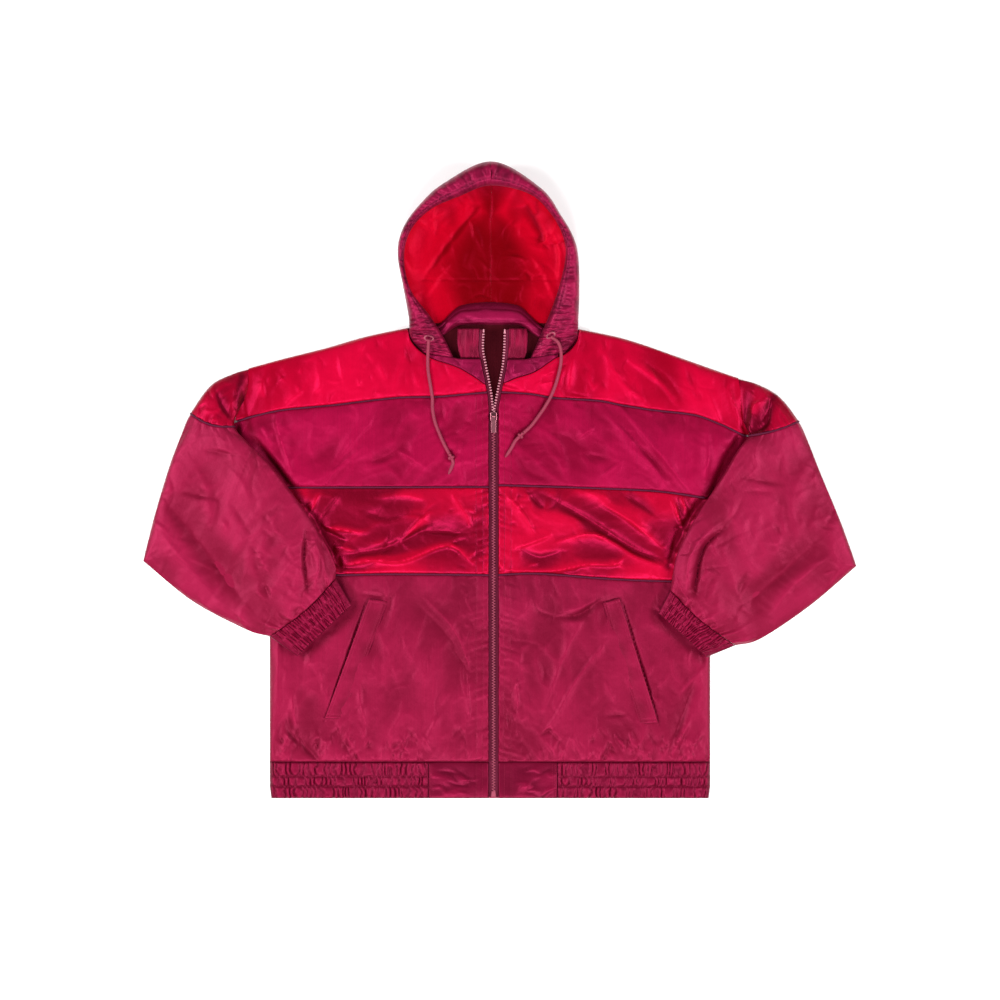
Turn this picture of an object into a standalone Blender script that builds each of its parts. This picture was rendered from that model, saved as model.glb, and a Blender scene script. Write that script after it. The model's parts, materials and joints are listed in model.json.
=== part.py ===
"""A hooded, lightly padded zip jacket in coloured blocks, laid flat on its back.

The jacket lies with its front up, the hood open behind the neck and both sleeves folded in
over the front. Tables are in millimetres: "out" runs from the zip to either side, "up" from
the hem to the hood, and z is the height above the surface that the jacket lies on.
"""
import math
from typing import NamedTuple

import bmesh
import bpy
import numpy as np

MM = 0.001
COLLECTION = "hooded_jacket"

# Driving sizes
HOOD_TOP = 889.0
HOOD_CENTRE = -3.6
BOX_CENTRE = (8.7, 444.5)
WAISTBAND_DEPTH = 51.0
SEAM_GAP = 0.3
BACK_WALL = 4.5
BACK_EDGE_WALL = 3.2
PANEL_EDGE = 3.0
PANEL_PUFF = 5.2
EDGE_ROLL = 34.0
SEAM_ROLL = 26.0
SEAM_PUFF = 0.42
NECK_SEAM_GAP = 1.7
PIPING_RADIUS = 1.4
PIPING_PROUD = 0.9
TAPE_WIDTH = 6.3
TAPE_GAP = 0.5
CHAIN_WIDTH = 2.4
CHAIN_HEIGHT = 2.2
CORD_RADIUS = 2.3
SHELL_WALL = 2.5
LINING_WALL = 2.0

# The neck is propped up by the collar: the front's inside rises here
NECK_CENTRE = (0.0, 640.0)
NECK_REACH = (130.0, 150.0)
NECK_LIFT = 9.0

RED = (0.60, 0.003, 0.03)
MAROON = (0.38, 0.008, 0.05)
PLUM = (0.16, 0.02, 0.06)
LINING_RED = (0.52, 0.002, 0.008)
DARK_WINE = (0.05, 0.003, 0.006)
CORD_PINK = (0.42, 0.05, 0.11)
ZIP_GREY = (0.45, 0.43, 0.42)


class Finish(NamedTuple):
    """Colour, roughness and metallic value of one material."""
    colour: tuple
    roughness: float
    metallic: float = 0.0


SATIN = Finish(RED, 0.35)
MATT_CLOTH = Finish(MAROON, 0.62)
PIPING = Finish(PLUM, 0.6)
LINING = Finish(LINING_RED, 0.5)
INSIDE = Finish(DARK_WINE, 0.8)
CORD = Finish(CORD_PINK, 0.7)
METAL = Finish(ZIP_GREY, 0.35, 1.0)


class Fold(NamedTuple):
    """A soft ridge (or a trough, with a negative height) between two points."""
    out_a: float
    up_a: float
    out_b: float
    up_b: float
    width: float
    height: float


class SleeveStation(NamedTuple):
    """One cross-section of the flattened sleeve, from its outer to its inner edge."""
    outer_out: float
    outer_up: float
    inner_out: float
    inner_up: float
    height: float
    bow: float
    lift: float


class RimStation(NamedTuple):
    """One cross-section of the hood's face casing."""
    outer_out: float
    outer_up: float
    inner_out: float
    inner_up: float
    bottom: float
    thickness: float


class Side(NamedTuple):
    """The cut of one half of the jacket."""
    name: str
    sign: float
    body_edge: tuple        # rows: up, out
    shoulder: tuple         # rows: out, up
    neck_line: tuple        # rows: out, up
    neck_seam: tuple        # rows: out, up
    collar_side: tuple      # rows: up, out
    seams: dict             # yoke, chest and band seams, rows: out, up
    zip_opening: tuple      # rows: up, out
    sleeve: tuple
    cuff_edge: tuple        # outer out, outer up, inner out, inner up
    rim: tuple
    waist_end: float
    welt: tuple             # rows: out, up of its four corners
    cord: tuple             # rows: out, up, height above the cloth
    cord_tip: tuple         # rows: out, up
    front_folds: tuple
    sleeve_folds: tuple


LEFT = Side(
    name="left", sign=-1.0,
    body_edge=((0, 311), (20, 313), (417, 313), (445, 325), (480, 345), (515, 357), (545, 351),
               (566, 343), (602, 342)),
    shoulder=((120, 658), (177, 646), (233, 630), (300, 613), (342, 601.5)),
    neck_line=((0, 574), (13, 578.5), (22, 585), (51, 602), (87, 614.5), (98.5, 621.5),
               (116.7, 641), (120, 658)),
    neck_seam=((0, 614.6), (22, 614.6), (48, 615), (56, 616.4), (75, 619.6), (92, 622.2)),
    collar_side=((615, 46), (625, 49), (640, 51), (657, 51)),
    seams={
        "yoke": ((0, 568.6), (48, 564.2), (85, 561.4), (120, 561), (174, 556), (221, 550.2),
                 (295, 543), (333, 535), (360, 527)),
        "chest": ((0, 435.4), (130, 435), (268, 434.6), (330, 433)),
        "band": ((0, 312.2), (145, 313.6), (218, 312.2), (320, 311)),
    },
    zip_opening=((0, 0.15), (542, 0.15), (559, 1.2), (580, 4.6), (605, 9.6), (631, 13.8), (656, 12.6)),
    sleeve=(
        SleeveStation(343.0, 600, 344.8, 567, 10, 0, 0.0),
        SleeveStation(364, 593.5, 349, 556, 15, 0, 0.2),
        SleeveStation(395.6, 577, 355.5, 543, 18, -3, 0.6),
        SleeveStation(423.6, 538, 361.5, 520, 20, -7, 1.0),
        SleeveStation(437, 507, 340, 494, 22, 0, 1.0),
        SleeveStation(453, 464.8, 305, 458, 23, 0, 1.0),
        SleeveStation(474, 394.8, 268, 409, 24, 0, 1.0),
        SleeveStation(490, 331.8, 247, 376.6, 23, 0, 1.0),
        SleeveStation(421, 275.8, 230.4, 348.6, 21, 0, 1.0),
        SleeveStation(346.6, 236.6, 220.6, 324.8, 19, -4, 1.0),
        SleeveStation(313, 226.8, 220.5, 308.5, 15, -6, 1.0),
    ),
    cuff_edge=(273.8, 198.8, 198.2, 270.2),
    rim=(
        RimStation(97.4, 623.0, 56, 616.6, 9, 8),
        RimStation(115.6, 644, 69.4, 644, 11, 13),
        RimStation(118.4, 672, 89, 674.8, 17, 17),
        RimStation(125.4, 711, 115.6, 711, 27, 14),
        RimStation(133.8, 760, 124.6, 757.4, 31, 13),
        RimStation(126.8, 795, 114.2, 795, 32, 14),
        RimStation(103, 829, 86.2, 823, 34, 15),
        RimStation(68, 859.6, 48.4, 840, 36, 17),
        RimStation(-HOOD_CENTRE + 0.15, HOOD_TOP, -HOOD_CENTRE + 0.15, 855.4, 38, 18),
    ),
    waist_end=91.0,
    welt=((174.4, 279), (147.8, 276), (209, 111), (236, 112)),
    cord=((90.4, 641, 5.5), (91.2, 630, 4.2), (91.8, 616, 2.4), (91.8, 603, 0.9), (90, 586, 0.9),
          (86.2, 568, 1.1), (85.4, 553, 0.9), (84.8, 539, 0.9), (80.5, 522, 0.9), (74, 506, 0.9),
          (68, 493, 0.9), (62.4, 482.5, 0.9)),
    cord_tip=((56.4, 469.5), (59, 462), (63, 453)),
    front_folds=(
        Fold(325, 508, 266, 430, 12, 4.5),
        Fold(190, 640, 205, 585, 14, 2.0),
        Fold(290, 600, 280, 565, 12, 2.2),
        Fold(240, 540, 170, 470, 16, 2.2),
        Fold(215, 420, 90, 380, 16, 3.0),
        Fold(180, 345, 60, 400, 16, 2.4),
        Fold(240, 370, 150, 330, 12, -1.6),
        Fold(290, 190, 275, 90, 14, 2.0),
        Fold(120, 240, 90, 120, 20, 1.8),
    ),
    sleeve_folds=(
        Fold(258, 372, 256, 300, 7, -4.0),
        Fold(246, 368, 244, 318, 8, 2.5),
        Fold(337, 360, 316, 300, 9, -3.2),
        Fold(440, 405, 352, 292, 22, -4.5),
        Fold(400, 480, 350, 430, 22, 2.5),
    ),
)

RIGHT = Side(
    name="right", sign=1.0,
    body_edge=((0, 301), (20, 303), (417, 303), (445, 312), (480, 338), (508, 351), (530, 345.5),
               (560, 342), (590, 341)),
    shoulder=((120, 656), (177, 644), (257, 617.5), (337, 589.5), (342, 588)),
    neck_line=((0, 576), (17, 580.5), (30, 586), (55, 594), (87, 614.5), (101, 621), (117.5, 640),
               (120, 656)),
    neck_seam=((0, 613.2), (22, 613.6), (43, 614), (54, 616), (78, 620), (92, 621.8)),
    collar_side=((614, 43), (627, 47), (648, 48), (657, 46)),
    seams={
        "yoke": ((0, 568.6), (50, 565.6), (85, 560), (149, 555.8), (177, 550.2), (222, 543.2),
                 (281, 536), (316, 523.6), (351, 507)),
        "chest": ((0, 438.2), (132, 434), (223, 429.8), (297, 420), (320, 416)),
        "band": ((0, 312.2), (51, 314.4), (145, 308), (194, 305.2), (310, 302)),
    },
    zip_opening=((0, 0.15), (542, 0.15), (559, 2.6), (582, 7.2), (609, 12.2), (631, 13.9), (656, 14.6)),
    sleeve=(
        SleeveStation(342.6, 586.5, 347.5, 531, 10, 0, 0.0),
        SleeveStation(370, 578.5, 350.5, 524, 17, 0, 0.2),
        SleeveStation(400, 561, 353.5, 516, 19, 0, 0.6),
        SleeveStation(426.5, 527, 356.5, 507, 21, -3, 1.0),
        SleeveStation(440, 498, 340, 485, 22, 0, 1.0),
        SleeveStation(457, 455, 313, 440, 23, 0, 1.0),
        SleeveStation(486.4, 383.6, 281, 391, 24, 0, 1.0),
        SleeveStation(507.4, 324.8, 263, 358, 23, 0, 1.0),
        SleeveStation(441.6, 268.8, 254, 334, 21, 0, 1.0),
        SleeveStation(373, 223, 249.5, 309, 19, -4, 1.0),
        SleeveStation(338, 214, 247, 291.2, 15, -5, 1.0),
    ),
    cuff_edge=(297.4, 197.4, 230.2, 259),
    rim=(
        RimStation(100, 623.4, 52, 615.9, 9, 8),
        RimStation(116.4, 645.4, 62.2, 640, 11, 13),
        RimStation(118.6, 672, 76.2, 672, 17, 17),
        RimStation(119.6, 711, 90.2, 711, 27, 14),
        RimStation(118.2, 756, 100, 753, 31, 13),
        RimStation(111.2, 784, 97.8, 781, 32, 14),
        RimStation(94.4, 813.4, 82, 813, 34, 15),
        RimStation(65, 852.6, 51, 843, 36, 17),
        RimStation(HOOD_CENTRE + 0.15, HOOD_TOP, HOOD_CENTRE + 0.15, 855.4, 38, 18),
    ),
    waist_end=89.0,
    welt=((153, 273), (176, 280), (230, 106), (204, 104)),
    cord=((80, 645, 5.5), (89.5, 638, 4.4), (93.8, 626, 3.0), (94.4, 612, 1.0), (91.6, 596, 0.9),
          (87.5, 581, 0.9), (83.2, 569, 1.1), (77, 556, 0.9), (69.2, 543.5, 0.9), (61, 532, 0.9),
          (52.4, 520.8, 0.9), (42.5, 511.5, 0.9)),
    cord_tip=((30.5, 500), (25, 490), (16.5, 477)),
    front_folds=(
        Fold(318, 500, 286, 452, 12, 4.5),
        Fold(200, 625, 232, 560, 14, 2.2),
        Fold(300, 590, 318, 545, 11, 2.4),
        Fold(210, 540, 275, 440, 14, 2.6),
        Fold(160, 535, 245, 440, 14, 2.0),
        Fold(240, 400, 120, 375, 16, 3.0),
        Fold(210, 330, 80, 395, 16, 2.4),
        Fold(240, 350, 160, 345, 12, -1.6),
        Fold(275, 190, 262, 90, 14, 2.0),
        Fold(110, 240, 80, 120, 20, 1.8),
    ),
    sleeve_folds=(
        Fold(292, 356, 281, 292, 7, -4.0),
        Fold(274, 350, 268, 305, 8, 2.5),
        Fold(318, 388, 292, 350, 9, -2.6),
        Fold(450, 354, 360, 268, 22, -4.5),
        Fold(392, 556, 358, 512, 8, -5.0),
        Fold(400, 470, 370, 420, 22, 2.5),
    ),
)

SIDES = (LEFT, RIGHT)
ELBOW_STATION = 7
PIPED_STATION = 3


# ---------------------------------------------------------------- curves and small functions

def smooth_step(x):
    """Rise from 0 to 1 with level ends."""
    x = min(max(x, 0.0), 1.0)
    return x * x * (3.0 - 2.0 * x)


def rounded(distance, reach):
    """Rise from 0 to 1 over a reach like the quarter of a circle."""
    x = min(max(distance / reach, 0.0), 1.0)
    return math.sqrt(1.0 - (1.0 - x) ** 2)


def through(rows, x, column=1):
    """Read a smooth curve through a table's rows, whose first column is x."""
    xs = [row[0] for row in rows]
    ys = [row[column] for row in rows]
    if x <= xs[0] or x >= xs[-1]:
        return ys[0] if x <= xs[0] else ys[-1]
    k = max(i for i in range(len(xs) - 1) if xs[i] <= x)
    slopes = [(ys[i + 1] - ys[i]) / (xs[i + 1] - xs[i]) for i in range(len(xs) - 1)]

    def tangent(i):
        """Return the slope at a row, level with neither neighbour's overshoot."""
        if i == 0 or i == len(xs) - 1:
            return slopes[0] if i == 0 else slopes[-1]
        before, after = slopes[i - 1], slopes[i]
        return 0.0 if before * after <= 0 else 2.0 * before * after / (before + after)

    width = xs[k + 1] - xs[k]
    t = (x - xs[k]) / width
    return ((2 * t ** 3 - 3 * t ** 2 + 1) * ys[k] + (t ** 3 - 2 * t ** 2 + t) * width * tangent(k)
            + (3 * t ** 2 - 2 * t ** 3) * ys[k + 1] + (t ** 3 - t ** 2) * width * tangent(k + 1))


def along(points, s, corner=None):
    """Read a smooth path through equally spaced points, sharp at a corner."""
    last = len(points) - 1
    k = min(int(s), last - 1)
    t = s - k
    before = points[k - 1] if k > 0 and k != corner else 2 * points[k] - points[k + 1]
    after = points[k + 2] if k + 2 <= last and k + 1 != corner else 2 * points[k + 1] - points[k]
    a, b = points[k], points[k + 1]
    return 0.5 * (2 * a + (b - before) * t + (2 * before - 5 * a + 4 * b - after) * t ** 2
                  + (3 * a - before - 3 * b + after) * t ** 3)


def fold_height(folds, out, up):
    """Add up the soft ridges and troughs at a point."""
    total = 0.0
    for fold in folds:
        run = np.array((fold.out_b - fold.out_a, fold.up_b - fold.up_a))
        offset = np.array((out - fold.out_a, up - fold.up_a))
        t = min(max(offset @ run / (run @ run), 0.0), 1.0)
        distance = np.linalg.norm(offset - t * run)
        total += fold.height * math.exp(-(distance / fold.width) ** 2)
    return total


# ---------------------------------------------------------------- the heights of the body

def zip_edge(side, up):
    """Return how far the front panels' zip edge lies from the middle."""
    return through(side.zip_opening, up) + TAPE_WIDTH + TAPE_GAP


def front_underside(side, out, up):
    """Return the height of the front's inside, which the collar props up at the neck."""
    across = (side.sign * out - NECK_CENTRE[0]) / NECK_REACH[0]
    along_body = (up - NECK_CENTRE[1]) / NECK_REACH[1]
    near = max(0.0, 1.0 - across ** 2 - along_body ** 2)
    return BACK_WALL + SEAM_GAP + NECK_LIFT * near ** 2


def front_top(side, out, up):
    """Return the height of the front's outside."""
    edge = through(side.body_edge, up) - out
    if out > side.shoulder[0][0]:
        edge = min(edge, through(side.shoulder, out) - up)
    seam = min([abs(up - through(rows, out)) for rows in side.seams.values()]
               + [abs(up - WAISTBAND_DEPTH)])
    puff = rounded(edge, EDGE_ROLL) * (SEAM_PUFF + (1 - SEAM_PUFF) * rounded(seam, SEAM_ROLL))
    flatness = rounded(seam, SEAM_ROLL) * rounded(edge, EDGE_ROLL)
    relief = fold_height(side.front_folds, out, up) * flatness
    thickness = max(PANEL_EDGE + PANEL_PUFF * puff + relief, PANEL_EDGE)
    return front_underside(side, out, up) + thickness


REST_CLEARANCE = 2.2
REST_SHELF = 14.0
REST_RAMP = 46.0


def rest_height(side, out, up):
    """Return the height on which a sleeve lies: the front, or the floor beside it."""
    beyond = out - through(side.body_edge, up)
    edge_height = BACK_WALL + SEAM_GAP + PANEL_EDGE + REST_CLEARANCE
    if beyond <= 0:
        return max(front_top(side, out, up) + REST_CLEARANCE, edge_height)
    return edge_height * (1.0 - smooth_step((beyond - REST_SHELF) / REST_RAMP))


# ---------------------------------------------------------------- making solids

def place(side, out, up, z):
    """Turn jacket measures into a point in metres."""
    sign = side.sign if side else 1.0
    return ((sign * out - BOX_CENTRE[0]) * MM, (up - BOX_CENTRE[1]) * MM, z * MM)


def make_material(name, finish):
    """Make a plain material of one finish."""
    material = bpy.data.materials.new(name)
    material.use_nodes = True
    shader = material.node_tree.nodes["Principled BSDF"]
    shader.inputs["Base Color"].default_value = (*finish.colour, 1.0)
    shader.inputs["Roughness"].default_value = finish.roughness
    shader.inputs["Metallic"].default_value = finish.metallic
    return material


def add_part(name, data, finish):
    """Put a mesh or curve in the jacket's collection with its own material."""
    part = bpy.data.objects.new(name, data)
    data.materials.clear()
    data.materials.append(make_material(name, finish))
    bpy.data.collections[COLLECTION].objects.link(part)
    return part


def close_mesh(name, bm, finish):
    """Turn a closed bmesh into a smooth part whose faces point out."""
    bmesh.ops.recalc_face_normals(bm, faces=bm.faces)
    mesh = bpy.data.meshes.new(name)
    bm.to_mesh(mesh)
    bm.free()
    mesh.shade_smooth()
    mesh.set_sharp_from_angle(angle=math.radians(50))
    return add_part(name, mesh, finish)


def split_cell(bm, a, b, c, d):
    """Fill a four-sided cell with two faces, always on the same diagonal."""
    bm.faces.new((a, b, c))
    bm.faces.new((a, c, d))


def loft_wall(name, top, bottom, finish):
    """Make a wall between two equal grids of points."""
    bm = bmesh.new()
    upper = [[bm.verts.new(point) for point in row] for row in top]
    lower = [[bm.verts.new(point) for point in row] for row in bottom]
    rows, columns = len(upper), len(upper[0])
    for grid in (upper, lower):
        for i in range(rows - 1):
            for j in range(columns - 1):
                split_cell(bm, grid[i][j], grid[i + 1][j], grid[i + 1][j + 1], grid[i][j + 1])
    border = [(0, j) for j in range(columns)] + [(i, columns - 1) for i in range(1, rows)]
    border += [(rows - 1, j) for j in range(columns - 2, -1, -1)]
    border += [(i, 0) for i in range(rows - 2, 0, -1)]
    for (i, j), (k, m) in zip(border, border[1:] + border[:1]):
        split_cell(bm, upper[i][j], upper[k][m], lower[k][m], lower[i][j])
    return close_mesh(name, bm, finish)


def add_rings(bm, rings):
    """Add closed rings of points and the skin between them, and return their vertices."""
    skins = [[bm.verts.new(point) for point in ring] for ring in rings]
    count = len(skins[0])
    for first, second in zip(skins, skins[1:]):
        for j in range(count):
            k = (j + 1) % count
            split_cell(bm, first[j], second[j], second[k], first[k])
    return skins


def loft_tube(name, outer, inner, finish):
    """Make an open tube from outer and inner rings."""
    bm = bmesh.new()
    outside = add_rings(bm, outer)
    inside = add_rings(bm, inner)
    count = len(outside[0])
    for end in (0, -1):
        for j in range(count):
            k = (j + 1) % count
            split_cell(bm, outside[end][j], outside[end][k], inside[end][k], inside[end][j])
    return close_mesh(name, bm, finish)


def loft_roll(name, rings, finish):
    """Make a closed roll from rings, with a flat cap at each end."""
    bm = bmesh.new()
    skins = add_rings(bm, rings)
    bm.faces.new(skins[0])
    bm.faces.new(skins[-1])
    return close_mesh(name, bm, finish)


def bend_tube(name, points, radius, finish, resolution=2):
    """Make a round tube with filled caps along points in metres."""
    curve = bpy.data.curves.new(name, "CURVE")
    curve.dimensions = "3D"
    curve.bevel_depth = radius * MM
    curve.bevel_resolution = resolution
    curve.use_fill_caps = True
    spline = curve.splines.new("POLY")
    spline.points.add(len(points) - 1)
    for target, point in zip(spline.points, points):
        target.co = (*point, 1.0)
    return add_part(name, curve, finish)


# ---------------------------------------------------------------- the body

def panel_point(side, lower, upper, edge, row, column):
    """Find a panel's point from its fractions between its four boundaries."""
    out = edge(0.0) * column
    up = lower(out)
    for _ in range(6):
        up = lower(out) + (upper(out) - lower(out)) * row
        inner = zip_edge(side, up)
        out = inner + (edge(up) - inner) * column
    return out, up


def front_panel(name, side, lower, upper, rows, columns, finish, edge=None):
    """Make a front panel that lies on the jacket's back."""
    edge = edge or (lambda up: through(side.body_edge, up))
    top, bottom = [], []
    for row in rows:
        spots = [panel_point(side, lower, upper, edge, row, column) for column in columns]
        top.append([place(side, out, up, front_top(side, out, up)) for out, up in spots])
        bottom.append([place(side, out, up, front_underside(side, out, up)) for out, up in spots])
    return loft_wall(name, top, bottom, finish)


PIPED_GAP = PIPING_RADIUS + 0.7
PIPING_STOP = 8.0
PIPING_SINKS = (260.0, 300.0)
PANEL_ROWS = (0.0, 0.1, 0.36, 0.64, 0.9, 1.0)
PANEL_COLUMNS = tuple(np.linspace(0.0, 0.8, 10)) + (0.87, 0.93, 0.97, 1.0)
YOKE_COLUMNS = (0.0, 0.06, 0.12, 0.18, 0.242, 0.275, 0.29, 0.302, 0.36, 0.44, 0.52, 0.6, 0.68, 0.76,
                0.84, 0.91, 0.96, 1.0)


def build_front(side):
    """Make one half of the front: four panels and the piping between them."""
    def seam(key, offset):
        """Return a seam moved up or down."""
        return lambda out: through(side.seams[key], out) + offset

    def yoke_top(out):
        """Return the yoke's upper edge: the shoulder, then the neck."""
        if out >= side.shoulder[0][0]:
            return through(side.shoulder, out)
        return through(side.neck_line, out)

    def skirt_hem(out):
        """Return the skirt's lower edge, along the waistband."""
        return WAISTBAND_DEPTH + SEAM_GAP

    def piping_end(up):
        """Return how far out the piping runs, short of the side seam."""
        return through(side.body_edge, up) - PIPING_STOP

    tag = "_" + side.name
    cuts = (
        ("front_yoke", seam("yoke", PIPED_GAP), yoke_top, YOKE_COLUMNS, SATIN),
        ("front_chest", seam("chest", PIPED_GAP), seam("yoke", -PIPED_GAP), PANEL_COLUMNS, MATT_CLOTH),
        ("front_band", seam("band", PIPED_GAP), seam("chest", -PIPED_GAP), PANEL_COLUMNS, SATIN),
        ("front_skirt", skirt_hem, seam("band", -PIPED_GAP), PANEL_COLUMNS, MATT_CLOTH),
    )
    for name, lower, upper, columns, finish in cuts:
        front_panel(name + tag, side, lower, upper, PANEL_ROWS, columns, finish)
    sink_start, sink_end = PIPING_SINKS
    for key in side.seams:
        points = []
        line = seam(key, 0.0)
        for column in PANEL_COLUMNS[:-1]:
            out, up = panel_point(side, line, line, piping_end, 0.0, column)
            proud = PIPING_PROUD * smooth_step((sink_end - out) / (sink_end - sink_start))
            points.append(place(side, out, up, front_top(side, out, up) - PIPING_RADIUS + proud))
        bend_tube("piping_" + key + tag, points, PIPING_RADIUS, PIPING, resolution=1)


BACK_NECK_RISE = 3.0
BACK_NECK_REACH = 60.0
BACK_ROWS = (0.0, 0.25, 0.5, 0.68, 0.78, 0.86, 0.93, 1.0)
BACK_COLUMNS = tuple(np.linspace(-1.0, 1.0, 17))


def build_back():
    """Make the back panel, flat on the surface, with its shoulder and neck edges."""
    top, bottom = [], []
    for row in BACK_ROWS:
        upper_row, lower_row = [], []
        for column in BACK_COLUMNS:
            side = LEFT if column < 0 else RIGHT
            out, up = 0.0, 0.0
            for _ in range(6):
                upper = through(side.shoulder, out)
                if out < side.shoulder[0][0]:
                    rise = smooth_step((side.shoulder[0][0] - out) / BACK_NECK_REACH)
                    upper = side.shoulder[0][1] + BACK_NECK_RISE * rise
                base = WAISTBAND_DEPTH + SEAM_GAP
                up = base + (upper - base) * row
                out = through(side.body_edge, up) * abs(column)
            edge = min(through(side.body_edge, up) - out, through(side.shoulder, out) - up)
            wall = BACK_EDGE_WALL + (BACK_WALL - BACK_EDGE_WALL) * rounded(edge, EDGE_ROLL)
            upper_row.append(place(side, out, up, wall))
            lower_row.append(place(side, out, up, 0.0))
        top.append(upper_row)
        bottom.append(lower_row)
    loft_wall("back_panel", top, bottom, MATT_CLOTH)


NECK_LINING = ((556, 13), (585, 28), (610, 60), (640, 72), (660, 72))
NECK_LINING_ROWS = (556, 570, 585, 600, 615, 640, 660)
NECK_LINING_WALL = 1.0


def build_back_lining():
    """Make the lining of the back neck, which shows through the open zip."""
    top, bottom = [], []
    for up in NECK_LINING_ROWS:
        half = through(NECK_LINING, up)
        base = BACK_WALL + SEAM_GAP
        columns = [half * c for c in np.linspace(-1.0, 1.0, 5)]
        top.append([place(None, out, up, base + NECK_LINING_WALL) for out in columns])
        bottom.append([place(None, out, up, base) for out in columns])
    loft_wall("back_lining", top, bottom, INSIDE)


GATHERS = 12
GATHER_DEPTH = 1.7
GATHER_STEPS = 3
GATHER_FADE = 9
GATHER_DRIFT = 0.12
BAND_WALL = 2.4
BAND_PUFF = 3.2
BAND_ROLL = 16.0
BAND_SEAM_ROLL = 9.0
PLAIN_STEPS = 4
WAIST_ROWS = (0.0, 0.25, 0.6, 1.0)
BACK_BAND_WALL = 3.6


def build_waistband(side):
    """Make the gathered front of the waistband and its plain end beside the zip."""
    tag = "_" + side.name

    def band_top(out, up):
        """Return the height of the waistband's outside without its gathers."""
        edge = min(through(side.body_edge, up) - out, up + BAND_ROLL / 4)
        roll = rounded(edge, BAND_ROLL) * (1 + rounded(WAISTBAND_DEPTH - up, BAND_SEAM_ROLL)) / 2
        return BACK_WALL + SEAM_GAP + BAND_WALL + BAND_PUFF * roll

    def band_part(name, start, end, gathers):
        """Make a stretch of the waistband between two distances from the zip."""
        top, bottom = [], []
        count = gathers * GATHER_STEPS or PLAIN_STEPS
        for row in WAIST_ROWS:
            upper_row, lower_row = [], []
            for j in range(count + 1):
                part = j / count
                up = WAISTBAND_DEPTH * row
                out = start(up) + (end(up) - start(up)) * part
                fade = smooth_step(part * GATHER_FADE) * smooth_step((1 - part) * GATHER_FADE)
                turns = gathers * part + GATHER_DRIFT * math.sin(5 * part + 2 * row)
                wave = GATHER_DEPTH * fade * math.cos(2 * math.pi * turns) if gathers else 0.0
                upper_row.append(place(side, out, up, band_top(out, up) + wave))
                lower_row.append(place(side, out, up, BACK_WALL + SEAM_GAP))
            top.append(upper_row)
            bottom.append(lower_row)
        loft_wall(name, top, bottom, MATT_CLOTH)

    band_part("waistband_end" + tag, lambda up: zip_edge(side, up), lambda up: side.waist_end, 0)
    band_part("waistband_front" + tag, lambda up: side.waist_end + SEAM_GAP,
              lambda up: through(side.body_edge, up), GATHERS)


def build_waistband_back():
    """Make the back of the waistband, flat on the surface."""
    top, bottom = [], []
    for up in (0.0, 12.0, WAISTBAND_DEPTH):
        left, right = through(LEFT.body_edge, up), through(RIGHT.body_edge, up)
        columns = [-left + (left + right) * c for c in np.linspace(0.0, 1.0, 9)]
        top.append([place(None, out, up, BACK_BAND_WALL) for out in columns])
        bottom.append([place(None, out, up, 0.0) for out in columns])
    loft_wall("waistband_back", top, bottom, MATT_CLOTH)


WELT_WALL = 2.4
WELT_CROWN = 0.5
WELT_CLEARANCE = 0.5
WELT_ROWS = 8
WELT_COLUMNS = (0.0, 0.2, 0.8, 1.0)


def build_welt(side):
    """Make the pocket welt from the skirt's own points, moved out."""
    upper_in, upper_out, lower_out, lower_in = (np.array(corner, float) for corner in side.welt)
    top, bottom = [], []
    for row in np.linspace(0.0, 1.0, WELT_ROWS):
        upper_row, lower_row = [], []
        for column in WELT_COLUMNS:
            a = upper_in + (lower_in - upper_in) * row
            b = upper_out + (lower_out - upper_out) * row
            out, up = a + (b - a) * column
            cloth = front_top(side, out, up)
            crown = WELT_CROWN if 0 < column < 1 else 0.0
            upper_row.append(place(side, out, up, cloth + WELT_WALL + crown))
            lower_row.append(place(side, out, up, cloth + WELT_CLEARANCE))
        top.append(upper_row)
        bottom.append(lower_row)
    loft_wall("pocket_welt_" + side.name, top, bottom, MATT_CLOTH)


# ---------------------------------------------------------------- the neck

COLLAR_WALL = 3.4
COLLAR_RISE = 6.0
COLLAR_TOP = 657.0
COLLAR_TURNED_HEIGHT = 7.0
COLLAR_ROWS = (0.0, 0.3, 0.65, 1.0)
COLLAR_COLUMNS = (0.0, 0.15, 0.5, 0.75, 0.88, 1.0)
NECK_BAND_END = 90.0
NECK_BAND_ROWS = (0.0, 0.35, 0.7, 1.0)
NECK_BAND_COLUMNS = (0.0, 0.2, 0.42, 0.62, 0.82, 1.0)


def build_neck_band(side):
    """Make the piece between the yoke and the collar."""
    def lower(out):
        """Return its lower edge, along the yoke's neck."""
        return through(side.neck_line, out) + NECK_SEAM_GAP

    def upper(out):
        """Return its upper edge, along the collar and the hood's corner."""
        return through(side.neck_seam, out) - SEAM_GAP

    front_panel("neck_band_" + side.name, side, lower, upper, NECK_BAND_ROWS, NECK_BAND_COLUMNS,
                MATT_CLOTH, edge=lambda up: NECK_BAND_END)


def build_collar_front(side):
    """Make one front of the stand collar, turned down beside the neck opening."""
    top, bottom = [], []
    for row in COLLAR_ROWS:
        upper_row, lower_row = [], []
        for column in COLLAR_COLUMNS:
            out = zip_edge(side, COLLAR_TOP)
            for _ in range(4):
                base = through(side.neck_seam, out) + 2 * SEAM_GAP
                up = base + (COLLAR_TOP - base) * row
                out = zip_edge(side, up) + (through(side.collar_side, up) - zip_edge(side, up)) * column
            seam_height = front_underside(side, out, up)
            turned = smooth_step((column - 0.5) / 0.5)
            height = seam_height + COLLAR_RISE * row ** 0.8
            height += (COLLAR_TURNED_HEIGHT - height) * 0.8 * turned * row
            upper_row.append(place(side, out, up, height + COLLAR_WALL))
            lower_row.append(place(side, out, up, height))
        top.append(upper_row)
        bottom.append(lower_row)
    loft_wall("collar_front_" + side.name, top, bottom, MATT_CLOTH)


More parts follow.
